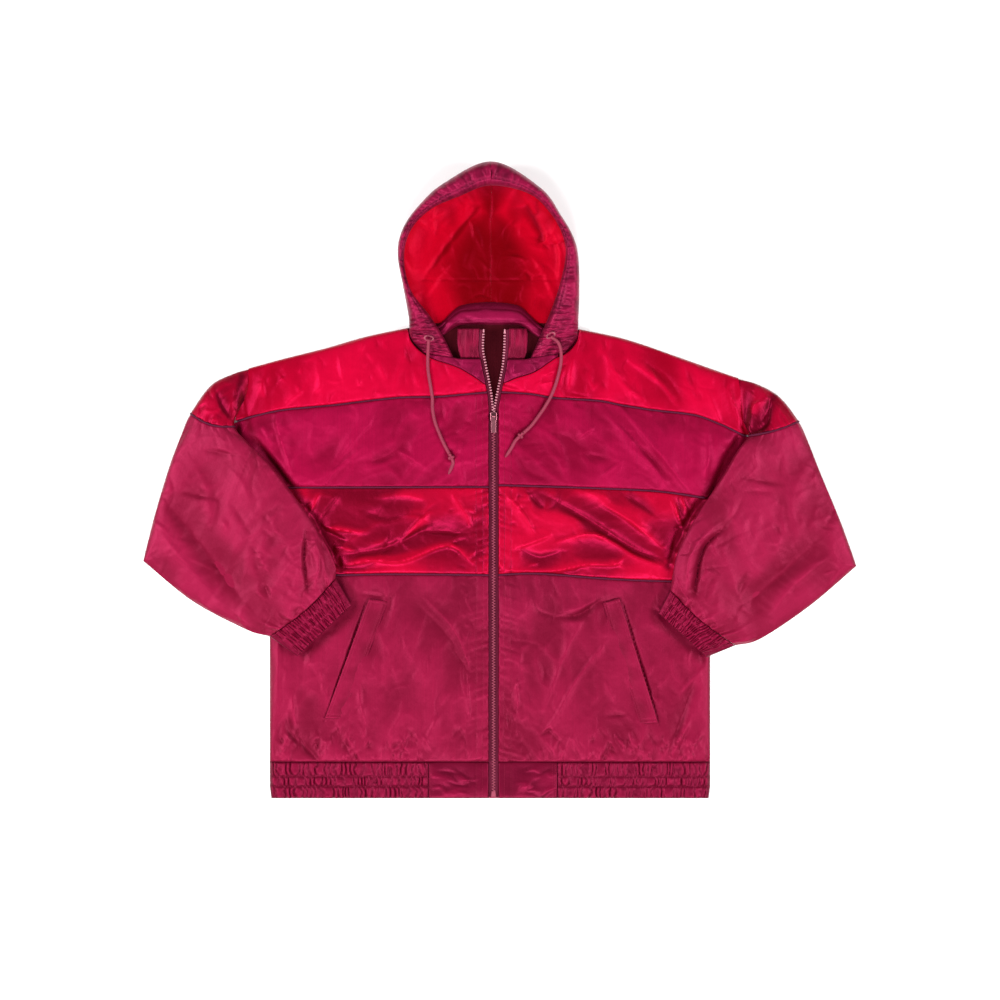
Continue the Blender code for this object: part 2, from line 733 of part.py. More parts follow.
COLLAR_BACK_MIDDLE = -7.5
COLLAR_BACK_HALF = 57.5
COLLAR_BACK_FOOT = 664.0
COLLAR_BACK_DEPTH = 20.0
COLLAR_BACK_BOW = 4.0
COLLAR_BACK_WALL = 2.0
COLLAR_BACK_CROWN = 8.5
COLLAR_BACK_ROWS = (0.0, 0.2, 0.55, 0.85, 1.0)


def build_collar_back():
    """Make the back of the stand collar, a soft roll on the hood's lining."""
    top, bottom = [], []
    base = SHELL_WALL + SEAM_GAP + LINING_WALL + TAPE_GAP
    for row in COLLAR_BACK_ROWS:
        upper_row, lower_row = [], []
        for column in np.linspace(-1.0, 1.0, 11):
            across = COLLAR_BACK_MIDDLE + COLLAR_BACK_HALF * column
            ends = 1.0 - column ** 2
            up = COLLAR_BACK_FOOT + COLLAR_BACK_BOW * (1 - ends) + (COLLAR_BACK_DEPTH + 3.0 * ends) * row
            crown = COLLAR_BACK_CROWN * math.sin(math.pi * (0.12 + 0.76 * row)) * (0.55 + 0.45 * ends)
            crown += COLLAR_BACK_WALL
            upper_row.append(place(None, across, up, base + crown))
            lower_row.append(place(None, across, up, base))
        top.append(upper_row)
        bottom.append(lower_row)
    loft_wall("collar_back", top, bottom, MATT_CLOTH)


# ---------------------------------------------------------------- the hood

RIM_SAMPLES = 19
RIM_AROUND = 7
SHELL_FIRST = 1.72
SHELL_ROWS = 11
HOOD_ROLL = 58.0
HOOD_LEVEL_TOP = 812.0
WALL_ANGLES = (0, 22, 42, 60, 76, 90)
FLOOR_STEPS = (0.35, 0.7, 1.0)
SHELL_INSET = 0.8
RIM_DROP = 1.2
RIM_EDGE = 1.5
RIM_ROUNDNESS = 2.6
RIM_UNDERSIDE = (-0.75, 0.0, 0.75)


def rim_station(side, s):
    """Read the casing's cross-section between the table's rows."""
    rows = [np.array(station, float) for station in side.rim]
    return RimStation(*along(rows, s))


def build_rim(side):
    """Make the casing around the hood's opening as one soft roll of folded cloth."""
    rings = []
    for s in np.linspace(0.0, len(side.rim) - 1, RIM_SAMPLES):
        station = rim_station(side, s)
        outer = np.array((station.outer_out, station.outer_up))
        inner = np.array((station.inner_out, station.inner_up))
        ring = []
        for w in np.cos(np.linspace(0.0, math.pi, RIM_AROUND)):
            spot = (outer + inner) / 2 + (outer - inner) / 2 * w
            rise = max(0.0, 1.0 - abs(w) ** RIM_ROUNDNESS) ** 0.5
            height = station.bottom + RIM_EDGE + (station.thickness - RIM_EDGE) * rise
            ring.append(place(side, *spot, height))
        for w in RIM_UNDERSIDE:
            spot = (outer + inner) / 2 + (outer - inner) / 2 * w
            ring.append(place(side, *spot, station.bottom))
        rings.append(ring)
    loft_roll("hood_rim_" + side.name, rings, MATT_CLOTH)


def hood_row(side, s, depth):
    """Return one row of the hood's bowl, from the casing down to the centre seam."""
    station = rim_station(side, s)
    outer = np.array((station.outer_out, station.outer_up))
    part = (s - SHELL_FIRST) / (len(side.rim) - 1 - SHELL_FIRST)
    first_up = rim_station(side, SHELL_FIRST).outer_up
    centre = np.array((side.rim[-1].outer_out, first_up + (HOOD_LEVEL_TOP - first_up) * part))
    inward = (centre - outer) / np.linalg.norm(centre - outer)
    start = outer + inward * SHELL_INSET
    wall_top = station.bottom - RIM_DROP
    row = []
    for angle in WALL_ANGLES:
        turn = math.radians(angle)
        spot = start + inward * (HOOD_ROLL - (HOOD_ROLL - depth) * math.cos(turn))
        row.append(place(side, *spot, wall_top - (wall_top - depth) * math.sin(turn)))
    foot = start + inward * HOOD_ROLL
    for step in FLOOR_STEPS:
        row.append(place(side, *(foot + (centre - foot) * step), depth))
    return row


def build_hood_layer(name, side, depth, wall, finish):
    """Make one half of the hood's shell or lining, at a depth inside its outer face."""
    stations = np.linspace(SHELL_FIRST, len(side.rim) - 1, SHELL_ROWS)
    inside = [hood_row(side, s, depth + wall) for s in stations]
    outside = [hood_row(side, s, depth) for s in stations]
    loft_wall(name + "_" + side.name, inside, outside, finish)


# ---------------------------------------------------------------- the sleeves

RING_UPPER = 11
RING_LOWER = (0.93, 0.8, 0.5, 0.2, 0.07)
SLEEVE_SAMPLES = 13
CAP_SAMPLES = 5
HOLLOW_INSET = 6.0
HOLLOW_HALF = 1.6
EDGE_SHARE = 0.42
EDGE_START = 0.72
SLEEVE_ROUNDNESS = 2.4
RELIEF_START = 8.0
HOLLOW_DROP = 0.6
FRAME_STEP = 0.25
CUFF_GATHER_DEPTH = 1.5
CUFF_GATHERS = 11
CUFF_STEPS = 3
CUFF_HEIGHT = 11.0
CUFF_INSET = 4.0


def sleeve_frame(side, s):
    """Return a section's edges, its height, bow and lift, and the way to the cuff."""
    rows = [np.array(station, float) for station in side.sleeve]
    outer = along([row[0:2] for row in rows], s, corner=ELBOW_STATION)
    inner = along([row[2:4] for row in rows], s)
    height, bow, lift = along([row[4:7] for row in rows], s)
    last = len(rows) - 1
    a, b = max(s - FRAME_STEP, 0.0), min(s + FRAME_STEP, last)
    middles = [(along([row[0:2] for row in rows], x, corner=ELBOW_STATION)
                + along([row[2:4] for row in rows], x)) / 2 for x in (a, b)]
    way = (middles[1] - middles[0]) / np.linalg.norm(middles[1] - middles[0])
    return outer, inner, height, bow, lift, way


def ring_heights(across, height):
    """Return a flattened tube's upper and lower heights at a fraction of its width."""
    from_middle = abs(2 * across - 1)
    edge = EDGE_SHARE * height
    upper = edge + (height - edge) * max(0.0, 1 - from_middle ** SLEEVE_ROUNDNESS) ** 0.5
    lower = edge * max(0.0, (from_middle - EDGE_START) / (1 - EDGE_START)) ** 2
    return upper, lower


def flat_ring(side, frame, shift, upper_across, relief, inset):
    """Make the outer and inner rings of one section of a flattened tube."""
    outer, inner, height, bow, lift, way = frame
    width = np.linalg.norm(outer - inner)

    def spot_at(fraction):
        """Return the plan point at a fraction of the section."""
        bowed = shift - bow * math.sin(math.pi * fraction)
        return outer + (inner - outer) * fraction + way * bowed

    outside, inside = [], []
    for level, fractions in (("upper", upper_across), ("lower", RING_LOWER)):
        for across in fractions:
            spot = spot_at(across)
            upper, lower = ring_heights(across, height)
            base = lift * rest_height(side, *spot)
            rise = lower
            if level == "upper":
                rise = upper + relief(across, spot) * smooth_step((upper - lower) / RELIEF_START)
            outside.append(place(side, *spot, base + max(rise, lower)))
            inner_across = 0.5 + (across - 0.5) * (1 - 2 * inset / width)
            spot = spot_at(inner_across)
            upper, lower = ring_heights(inner_across, height)
            base = lift * rest_height(side, *spot)
            hollow = HOLLOW_HALF * max(0.0, 1 - abs(2 * across - 1) ** 2) ** 0.5
            middle = base + (upper + lower) / 2 - HOLLOW_DROP
            inside.append(place(side, *spot, middle + (hollow if level == "upper" else -hollow)))
    return outside, inside


def tube_part(name, side, frames, shifts, upper_across, relief, finish, inset=HOLLOW_INSET):
    """Make a stretch of sleeve as one open tube."""
    rings = [flat_ring(side, frame, shift, upper_across, relief, inset)
             for frame, shift in zip(frames, shifts)]
    loft_tube(name, [ring[0] for ring in rings], [ring[1] for ring in rings], finish)


def build_sleeve(side):
    """Make the red cap, the sleeve, its piping and the gathered cuff."""
    tag = "_" + side.name
    across = [0.5 - 0.5 * math.cos(x) for x in np.linspace(0.0, math.pi, RING_UPPER)]

    def relief(fraction, spot):
        """Return the sleeve's folds at a point."""
        return fold_height(side.sleeve_folds, *spot)

    last = len(side.sleeve) - 1
    cap = [sleeve_frame(side, s) for s in np.linspace(0.0, PIPED_STATION, CAP_SAMPLES)]
    shifts = [0.0] * (CAP_SAMPLES - 1) + [-PIPED_GAP]
    tube_part("sleeve_cap" + tag, side, cap, shifts, across, relief, SATIN)
    arm = [sleeve_frame(side, s) for s in np.linspace(PIPED_STATION, last, SLEEVE_SAMPLES)]
    shifts = [PIPED_GAP] + [0.0] * (SLEEVE_SAMPLES - 2) + [-SEAM_GAP]
    tube_part("sleeve" + tag, side, arm, shifts, across, relief, MATT_CLOTH)

    frame = sleeve_frame(side, PIPED_STATION)
    ring, _ = flat_ring(side, frame, 0.0, across, relief, HOLLOW_INSET)
    piping = [(x, y, z - (PIPING_RADIUS - PIPING_PROUD) * MM) for x, y, z in ring[1:RING_UPPER - 1]]
    bend_tube("piping_sleeve" + tag, piping, PIPING_RADIUS, PIPING, resolution=1)
    build_cuff(side, tag)


def build_cuff(side, tag):
    """Make the gathered cuff beyond the sleeve's last section."""
    outer, inner, _, bow, lift, way = sleeve_frame(side, len(side.sleeve) - 1)
    edge_outer, edge_inner = np.array(side.cuff_edge[0:2]), np.array(side.cuff_edge[2:4])
    count = CUFF_GATHERS * CUFF_STEPS
    turns = [math.pi * (0.5 + 0.94 * (j / count - 0.5)) for j in range(count + 1)]
    across = [0.5 - 0.5 * math.cos(turn) for turn in turns]
    across[0], across[-1] = 0.0, 1.0

    def relief(fraction, spot):
        """Return the gathers' waves across the cuff."""
        fade = smooth_step(6 * min(fraction, 1 - fraction))
        return CUFF_GATHER_DEPTH * math.cos(2 * math.pi * CUFF_GATHERS * fraction) * fade

    frames = []
    for part in (0.0, 0.45, 1.0):
        frames.append((outer + (edge_outer - outer) * part, inner + (edge_inner - inner) * part,
                       CUFF_HEIGHT + CUFF_GATHER_DEPTH * (1 - part), bow * (1 - part), lift, way))
    tube_part("cuff" + tag, side, frames, [SEAM_GAP, 0.0, 0.0], across, relief, MATT_CLOTH, CUFF_INSET)


# ---------------------------------------------------------------- the zip

TAPE_WALL = 1.2
TAPE_BASE = 0.8
ZIP_TOP = 655.0
ZIP_ROWS = (2.0, 120.0, 240.0, 360.0, 450.0, 500.0, 530.0, 545.0, 556.0, 570.0, 585.0, 600.0, 616.0,
            635.0, ZIP_TOP)
SLIDER_UP = 534.0
SLIDER_SIZE = (9.0, 12.0, 2.4)
SLIDER_CLEARANCE = 0.7
SLIDER_BEVEL = 0.8
PIN_RISE = 2.5
PIN_RADIUS = 0.7
PIN_INSET = 0.3
LUG_INNER = 2.7
LUG_WALL = 1.2
LUG_HALF_LENGTH = 1.4
LUG_OVER_PIN = 1.2
LUG_SINK = 0.4
BARREL_RADIUS = 1.75
BARREL_BORE = 1.0
TAB_LENGTH = 23.0
TAB_WIDTH = 7.0
TAB_NECK_WIDTH = 4.6
TAB_NECK_START = 0.4
TAB_NECK_LENGTH = 5.2
TAB_BLADE_START = 5.0
TAB_WALL = 1.4
TAB_BEVEL = 0.45
TAB_DROOP = 8.5


def zip_height(up):
    """Return the height of the zip tape's underside."""
    return front_underside(LEFT, 0.0, up) + TAPE_BASE


def collar_height(up):
    """Return how far the collar lifts the zip above the neck seam."""
    seam = through(LEFT.neck_seam, 0.0)
    return COLLAR_RISE * max(0.0, (up - seam) / (COLLAR_TOP - seam)) ** 0.8


def build_zip(side):
    """Make one tape and its row of teeth, closed below and parted at the neck."""
    tag = "_" + side.name
    tape_top, tape_bottom, chain_top, chain_bottom = [], [], [], []
    for up in ZIP_ROWS:
        inner = through(side.zip_opening, up)
        base = zip_height(up) + collar_height(up)
        tape = (inner, inner + TAPE_WIDTH)
        tape_top.append([place(side, out, up, base + TAPE_WALL) for out in tape])
        tape_bottom.append([place(side, out, up, base) for out in tape])
        chain = (inner, inner + CHAIN_WIDTH)
        chain_base = base + TAPE_WALL + SEAM_GAP
        chain_top.append([place(side, out, up, chain_base + CHAIN_HEIGHT) for out in chain])
        chain_bottom.append([place(side, out, up, chain_base) for out in chain])
    loft_wall("zip_tape" + tag, tape_top, tape_bottom, PIPING)
    loft_wall("zip_chain" + tag, chain_top, chain_bottom, METAL)


def make_box(centre, size):
    """Make a box in millimetres about a centre, and return its object."""
    bpy.ops.mesh.primitive_cube_add(size=1.0, location=place(None, *centre))
    box = bpy.context.object
    box.scale = [length * MM for length in size]
    bpy.ops.object.transform_apply(location=False, rotation=False, scale=True)
    return box


def make_rod(centre, radius, length, sides=16):
    """Make a cylinder in millimetres that lies across the jacket."""
    bpy.ops.mesh.primitive_cylinder_add(vertices=sides, radius=radius * MM, depth=length * MM,
                                        location=place(None, *centre), rotation=(0.0, math.pi / 2, 0.0))
    return bpy.context.object


def round_edges(box, width):
    """Round a box's edges and keep the result as its mesh."""
    bevel = box.modifiers.new("Bevel", "BEVEL")
    bevel.width = width * MM
    bevel.segments = 2
    bpy.context.view_layer.update()
    mesh = bpy.data.meshes.new_from_object(box.evaluated_get(bpy.context.evaluated_depsgraph_get()))
    box.modifiers.clear()
    box.data = mesh


def join_boolean(target, tool, operation):
    """Combine two solids and apply the result to the first."""
    modifier = target.modifiers.new(operation.title(), "BOOLEAN")
    modifier.operation = operation
    modifier.object = tool
    bpy.context.view_layer.update()
    mesh = bpy.data.meshes.new_from_object(target.evaluated_get(bpy.context.evaluated_depsgraph_get()))
    target.modifiers.clear()
    target.data = mesh
    bpy.data.objects.remove(tool)


def slider_base():
    """Return the height of the slider's underside, above the teeth."""
    return zip_height(SLIDER_UP) + TAPE_WALL + SEAM_GAP + CHAIN_HEIGHT + SLIDER_CLEARANCE


def pin_height():
    """Return the height of the pull tab's hinge pin."""
    return slider_base() + SLIDER_SIZE[2] + PIN_RISE


def settle(part, name, finish):
    """Name a part made by an operator, and put it in the jacket's collection."""
    part.name = name
    part.data.name = name
    for collection in list(part.users_collection):
        collection.objects.unlink(part)
    bpy.data.collections[COLLECTION].objects.link(part)
    part.data.materials.clear()
    part.data.materials.append(make_material(name, finish))


def build_slider():
    """Make the slider's plate with two lugs and the hinge pin between them."""
    base = slider_base()
    plate = make_box((0.0, SLIDER_UP, base + SLIDER_SIZE[2] / 2), SLIDER_SIZE)
    round_edges(plate, SLIDER_BEVEL)
    lug_height = LUG_SINK + PIN_RISE + LUG_OVER_PIN
    lug_middle = base + SLIDER_SIZE[2] - LUG_SINK + lug_height / 2
    for sign in (-1.0, 1.0):
        across = sign * (LUG_INNER + LUG_WALL / 2)
        lug = make_box((across, SLIDER_UP, lug_middle), (LUG_WALL, 2 * LUG_HALF_LENGTH, lug_height))
        join_boolean(plate, lug, "UNION")
    pin = make_rod((0.0, SLIDER_UP, pin_height()), PIN_RADIUS, 2 * (LUG_INNER + LUG_WALL - PIN_INSET))
    join_boolean(plate, pin, "UNION")
    settle(plate, "zip_slider", METAL)


def build_pull_tab():
    """Make the pull tab with a bored barrel, hanging a little down from its pin."""
    centre = (0.0, SLIDER_UP, pin_height())
    half_barrel = LUG_INNER - SEAM_GAP
    barrel = make_rod(centre, BARREL_RADIUS, 2 * half_barrel, sides=20)
    neck_middle = SLIDER_UP - TAB_NECK_START - TAB_NECK_LENGTH / 2
    neck = make_box((0.0, neck_middle, pin_height()), (TAB_NECK_WIDTH, TAB_NECK_LENGTH, TAB_WALL))
    join_boolean(barrel, neck, "UNION")
    blade_middle = SLIDER_UP - (TAB_BLADE_START + TAB_LENGTH) / 2
    blade_size = (TAB_WIDTH, TAB_LENGTH - TAB_BLADE_START, TAB_WALL)
    blade = make_box((0.0, blade_middle, pin_height()), blade_size)
    round_edges(blade, TAB_BEVEL)
    join_boolean(barrel, blade, "UNION")
    bore = make_rod(centre, BARREL_BORE, 4 * half_barrel, sides=20)
    join_boolean(barrel, bore, "DIFFERENCE")
    bpy.context.view_layer.update()
    barrel.data.transform(barrel.matrix_world)
    pivot = place(None, *centre)
    barrel.matrix_world.identity()
    for vertex in barrel.data.vertices:
        vertex.co -= type(vertex.co)(pivot)
    barrel.location = pivot
    barrel.rotation_euler = (math.radians(TAB_DROOP), 0.0, 0.0)
    settle(barrel, "pull_tab", METAL)


# ---------------------------------------------------------------- the drawcord

CORD_SPACING = 7.0
CORD_SAMPLES = 60
CORD_REST = 0.8
CORD_ON_RIM = (612.0, 636.0)
CORD_RIM_STATION = 1.1
KNOT_SIZE = (4.6, 4.8, 3.8)
KNOT_GAP = 0.6


def cord_path(side):
    """Return the drawcord's centre line, read from a smooth curve through its route."""
    route = [np.array((out, up, front_top(side, out, up) + height + CORD_RADIUS))
             for out, up, height in side.cord]
    for row, (out, up, height) in enumerate(side.cord):
        if up > through(side.neck_line, out):
            start, end = CORD_ON_RIM
            station = rim_station(side, CORD_RIM_STATION * smooth_step((up - start) / (end - start)))
            route[row][2] = station.bottom + station.thickness + CORD_RADIUS + CORD_REST
    samples = [along(route, s) for s in np.linspace(0.0, len(route) - 1, CORD_SAMPLES)]
    spots, travelled = [samples[0]], 0.0
    for before, after in zip(samples, samples[1:]):
        travelled += np.linalg.norm(after - before)
        if travelled >= CORD_SPACING:
            spots.append(after)
            travelled = 0.0
    return spots


def build_cord(side):
    """Make the visible drawcord with its knot and the short tail beyond it."""
    spots = cord_path(side)
    bend_tube("drawcord_" + side.name, [place(side, *spot) for spot in spots], CORD_RADIUS, CORD)
    end = spots[-1]
    way = (spots[-1] - spots[-2]) / np.linalg.norm(spots[-1] - spots[-2])
    knot_centre = end + way * (KNOT_SIZE[1] + KNOT_GAP)
    knot_centre[2] = front_top(side, knot_centre[0], knot_centre[1]) + KNOT_SIZE[2] + KNOT_GAP
    bpy.ops.mesh.primitive_uv_sphere_add(segments=12, ring_count=8, radius=1.0,
                                         location=place(side, *knot_centre))
    knot = bpy.context.object
    knot.scale = [length * MM for length in KNOT_SIZE]
    bpy.ops.object.transform_apply(location=False, rotation=False, scale=True)
    settle(knot, "cord_knot_" + side.name, CORD)
    tail = [np.array((out, up, front_top(side, out, up) + CORD_REST + CORD_RADIUS))
            for out, up in side.cord_tip]
    away = tail[0] - knot_centre
    away[2] = 0.0
    start = knot_centre + away / np.linalg.norm(away) * (KNOT_SIZE[1] + KNOT_GAP)
    tail[0] = np.array((start[0], start[1], tail[0][2]))
    points = [place(side, *along(tail, s)) for s in np.linspace(0.0, 2.0, 5)]
    bend_tube("cord_tip_" + side.name, points, CORD_RADIUS, CORD)


# ---------------------------------------------------------------- the whole jacket

def clear_scene():
    """Remove what a new file holds, and start the jacket's collection."""
    for leftover in list(bpy.data.objects):
        bpy.data.objects.remove(leftover)
    collection = bpy.data.collections.new(COLLECTION)
    bpy.context.scene.collection.children.link(collection)


def main():
    """Build every piece of the jacket."""
    clear_scene()
    build_back()
    build_back_lining()
    build_waistband_back()
    build_collar_back()
    for side in SIDES:
        build_front(side)
        build_waistband(side)
        build_welt(side)
        build_neck_band(side)
        build_collar_front(side)
        build_rim(side)
        build_hood_layer("hood_shell", side, 0.0, SHELL_WALL, MATT_CLOTH)
        build_hood_layer("hood_lining", side, SHELL_WALL + SEAM_GAP, LINING_WALL, LINING)
        build_sleeve(side)
        build_zip(side)
        build_cord(side)
    build_slider()
    build_pull_tab()


main()
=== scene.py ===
"""The looks of a hooded, lightly padded zip jacket in coloured blocks, laid flat on its back.

Tables are in millimetres: "out" runs from the zip to either side, "up" from the hem to the hood,
and z is the height above the surface that the jacket lies on. Every cloth piece stands for the
solid of the same name and has its form, with the creases, gathers and sewing that it shows.
"""
import json
import logging
import math
from dataclasses import dataclass, replace
from enum import Enum
from functools import reduce
from typing import Callable, NamedTuple, Sequence

import bmesh
import bpy
import numpy as np
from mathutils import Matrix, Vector

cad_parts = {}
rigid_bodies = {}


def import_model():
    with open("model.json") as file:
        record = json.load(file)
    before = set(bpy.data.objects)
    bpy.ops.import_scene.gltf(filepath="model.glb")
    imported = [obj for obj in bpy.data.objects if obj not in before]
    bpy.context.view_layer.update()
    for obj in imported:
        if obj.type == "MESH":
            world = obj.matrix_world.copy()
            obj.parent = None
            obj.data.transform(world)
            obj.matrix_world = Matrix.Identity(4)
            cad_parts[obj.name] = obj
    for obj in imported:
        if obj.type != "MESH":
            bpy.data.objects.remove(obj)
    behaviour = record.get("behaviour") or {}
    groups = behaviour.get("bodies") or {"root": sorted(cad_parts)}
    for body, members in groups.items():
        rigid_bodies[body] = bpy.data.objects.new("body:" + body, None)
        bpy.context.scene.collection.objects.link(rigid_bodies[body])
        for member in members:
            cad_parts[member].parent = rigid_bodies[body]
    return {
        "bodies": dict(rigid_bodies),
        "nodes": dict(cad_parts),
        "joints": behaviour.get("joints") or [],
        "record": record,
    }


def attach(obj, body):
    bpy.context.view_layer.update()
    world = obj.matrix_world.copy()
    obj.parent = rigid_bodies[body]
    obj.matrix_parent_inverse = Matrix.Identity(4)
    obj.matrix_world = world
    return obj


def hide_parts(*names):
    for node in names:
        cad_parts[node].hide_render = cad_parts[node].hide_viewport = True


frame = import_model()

LOG = logging.getLogger("jacket")
MM = 0.001
BODY = "jacket"
BOX_CENTRE = (8.7, 444.5)
HOOD_TOP = 889.0
HOOD_CENTRE = -3.6
WAISTBAND_DEPTH = 51.0
SEAM_GAP = 0.3
BACK_WALL = 4.5
PANEL_EDGE = 3.0
PANEL_PUFF = 5.2
EDGE_ROLL = 34.0
SEAM_ROLL = 26.0
SEAM_PUFF = 0.42
PIPING_RADIUS = 1.4
PIPING_PROUD = 0.9
PIPING_SIDES = 10
PIPING_WIDTH = 10.0
TAPE_WIDTH = 6.3
TAPE_GAP = 0.5
TAPE_BASE = 0.8
TAPE_WALL = 1.2
CHAIN_HEIGHT = 2.2
CORD_RADIUS = 2.3
SHELL_WALL = 2.5
LINING_WALL = 2.0
NECK_CENTRE = (0.0, 640.0)
NECK_REACH = (130.0, 150.0)
NECK_LIFT = 9.0
REST_CLEARANCE = 2.2
REST_SHELF = 14.0
REST_RAMP = 46.0
ELBOW_STATION = 7
PIPED_STATION = 3
ARMHOLE_JOIN = 4.6
UNDER_ARM = 518.0
CREASE_STEPS = 5
CREASE_LEAN = 0.4
CREASE_REACH = 3.2
CREST_SHARE = 0.34
CREST_SHARPNESS = 2.3
STITCH_LINES = (15.2, 24.4)
TURNED_EDGE = (1.4, 2.6)
BORDER_STEPS = (0.0, 0.4, 0.9, 1.6, 2.5, 3.6)
BORDER_END = 4.8
FINE_SPACING = 1.1
NOISE_CELLS = 96
NOISE_START = 500.0


# ---------------------------------------------------------------- the cut

class Crease(NamedTuple):
    """A soft ridge, or a trough with a negative height, along a smooth line of (out, up) points."""
    line: tuple
    width: float
    height: float


class SleeveStation(NamedTuple):
    """One cross-section of the flattened sleeve, from its outer to its inner edge."""
    outer_out: float
    outer_up: float
    inner_out: float
    inner_up: float
    height: float
    bow: float
    lift: float


class RimStation(NamedTuple):
    """One cross-section of the hood's face casing."""
    outer_out: float
    outer_up: float
    inner_out: float
    inner_up: float
    bottom: float
    thickness: float


@dataclass(frozen=True)
class Half:
    """The cut of one half of the jacket, the creases that it shows and the lines of its painted shadows."""
    name: str
    sign: float
    body_edge: tuple
    shoulder: tuple
    neck_line: tuple
    neck_seam: tuple
    collar_side: tuple
    seams: dict
    zip_opening: tuple
    sleeve: tuple
    cuff_edge: tuple
    rim: tuple
    waist_end: float
    welt: tuple
    cord: tuple
    cord_tip: tuple
    large_folds: tuple
    large_sleeve_folds: tuple
    yoke_creases: tuple
    chest_creases: tuple
    band_creases: tuple
    skirt_creases: tuple
    sleeve_creases: tuple
    # Lines of painted shadow: under the sleeve's inner edge (also troughs), along the cap's fold and beside
    # the cuff; edge_shade is the reach of painted shade at the side edges.
    under_arm: tuple
    cap_shadow_line: tuple
    lining_creases: tuple
    under_cuff: tuple
    edge_shade: float

    def pick(self, left: "float | Array", right: "float | Array") -> "float | Array":
        """Return the value that belongs to this half."""
        return left if self.sign < 0 else right


def creases(*rows: tuple) -> tuple:
    """Read creases from rows: the points of the line, the width and the height."""
    return tuple(Crease(tuple(zip(row[:-2:2], row[1:-2:2])), *row[-2:]) for row in rows)


def stations(kind: type, *rows: tuple) -> tuple:
    """Read cross-sections from rows."""
    return tuple(kind(*row) for row in rows)


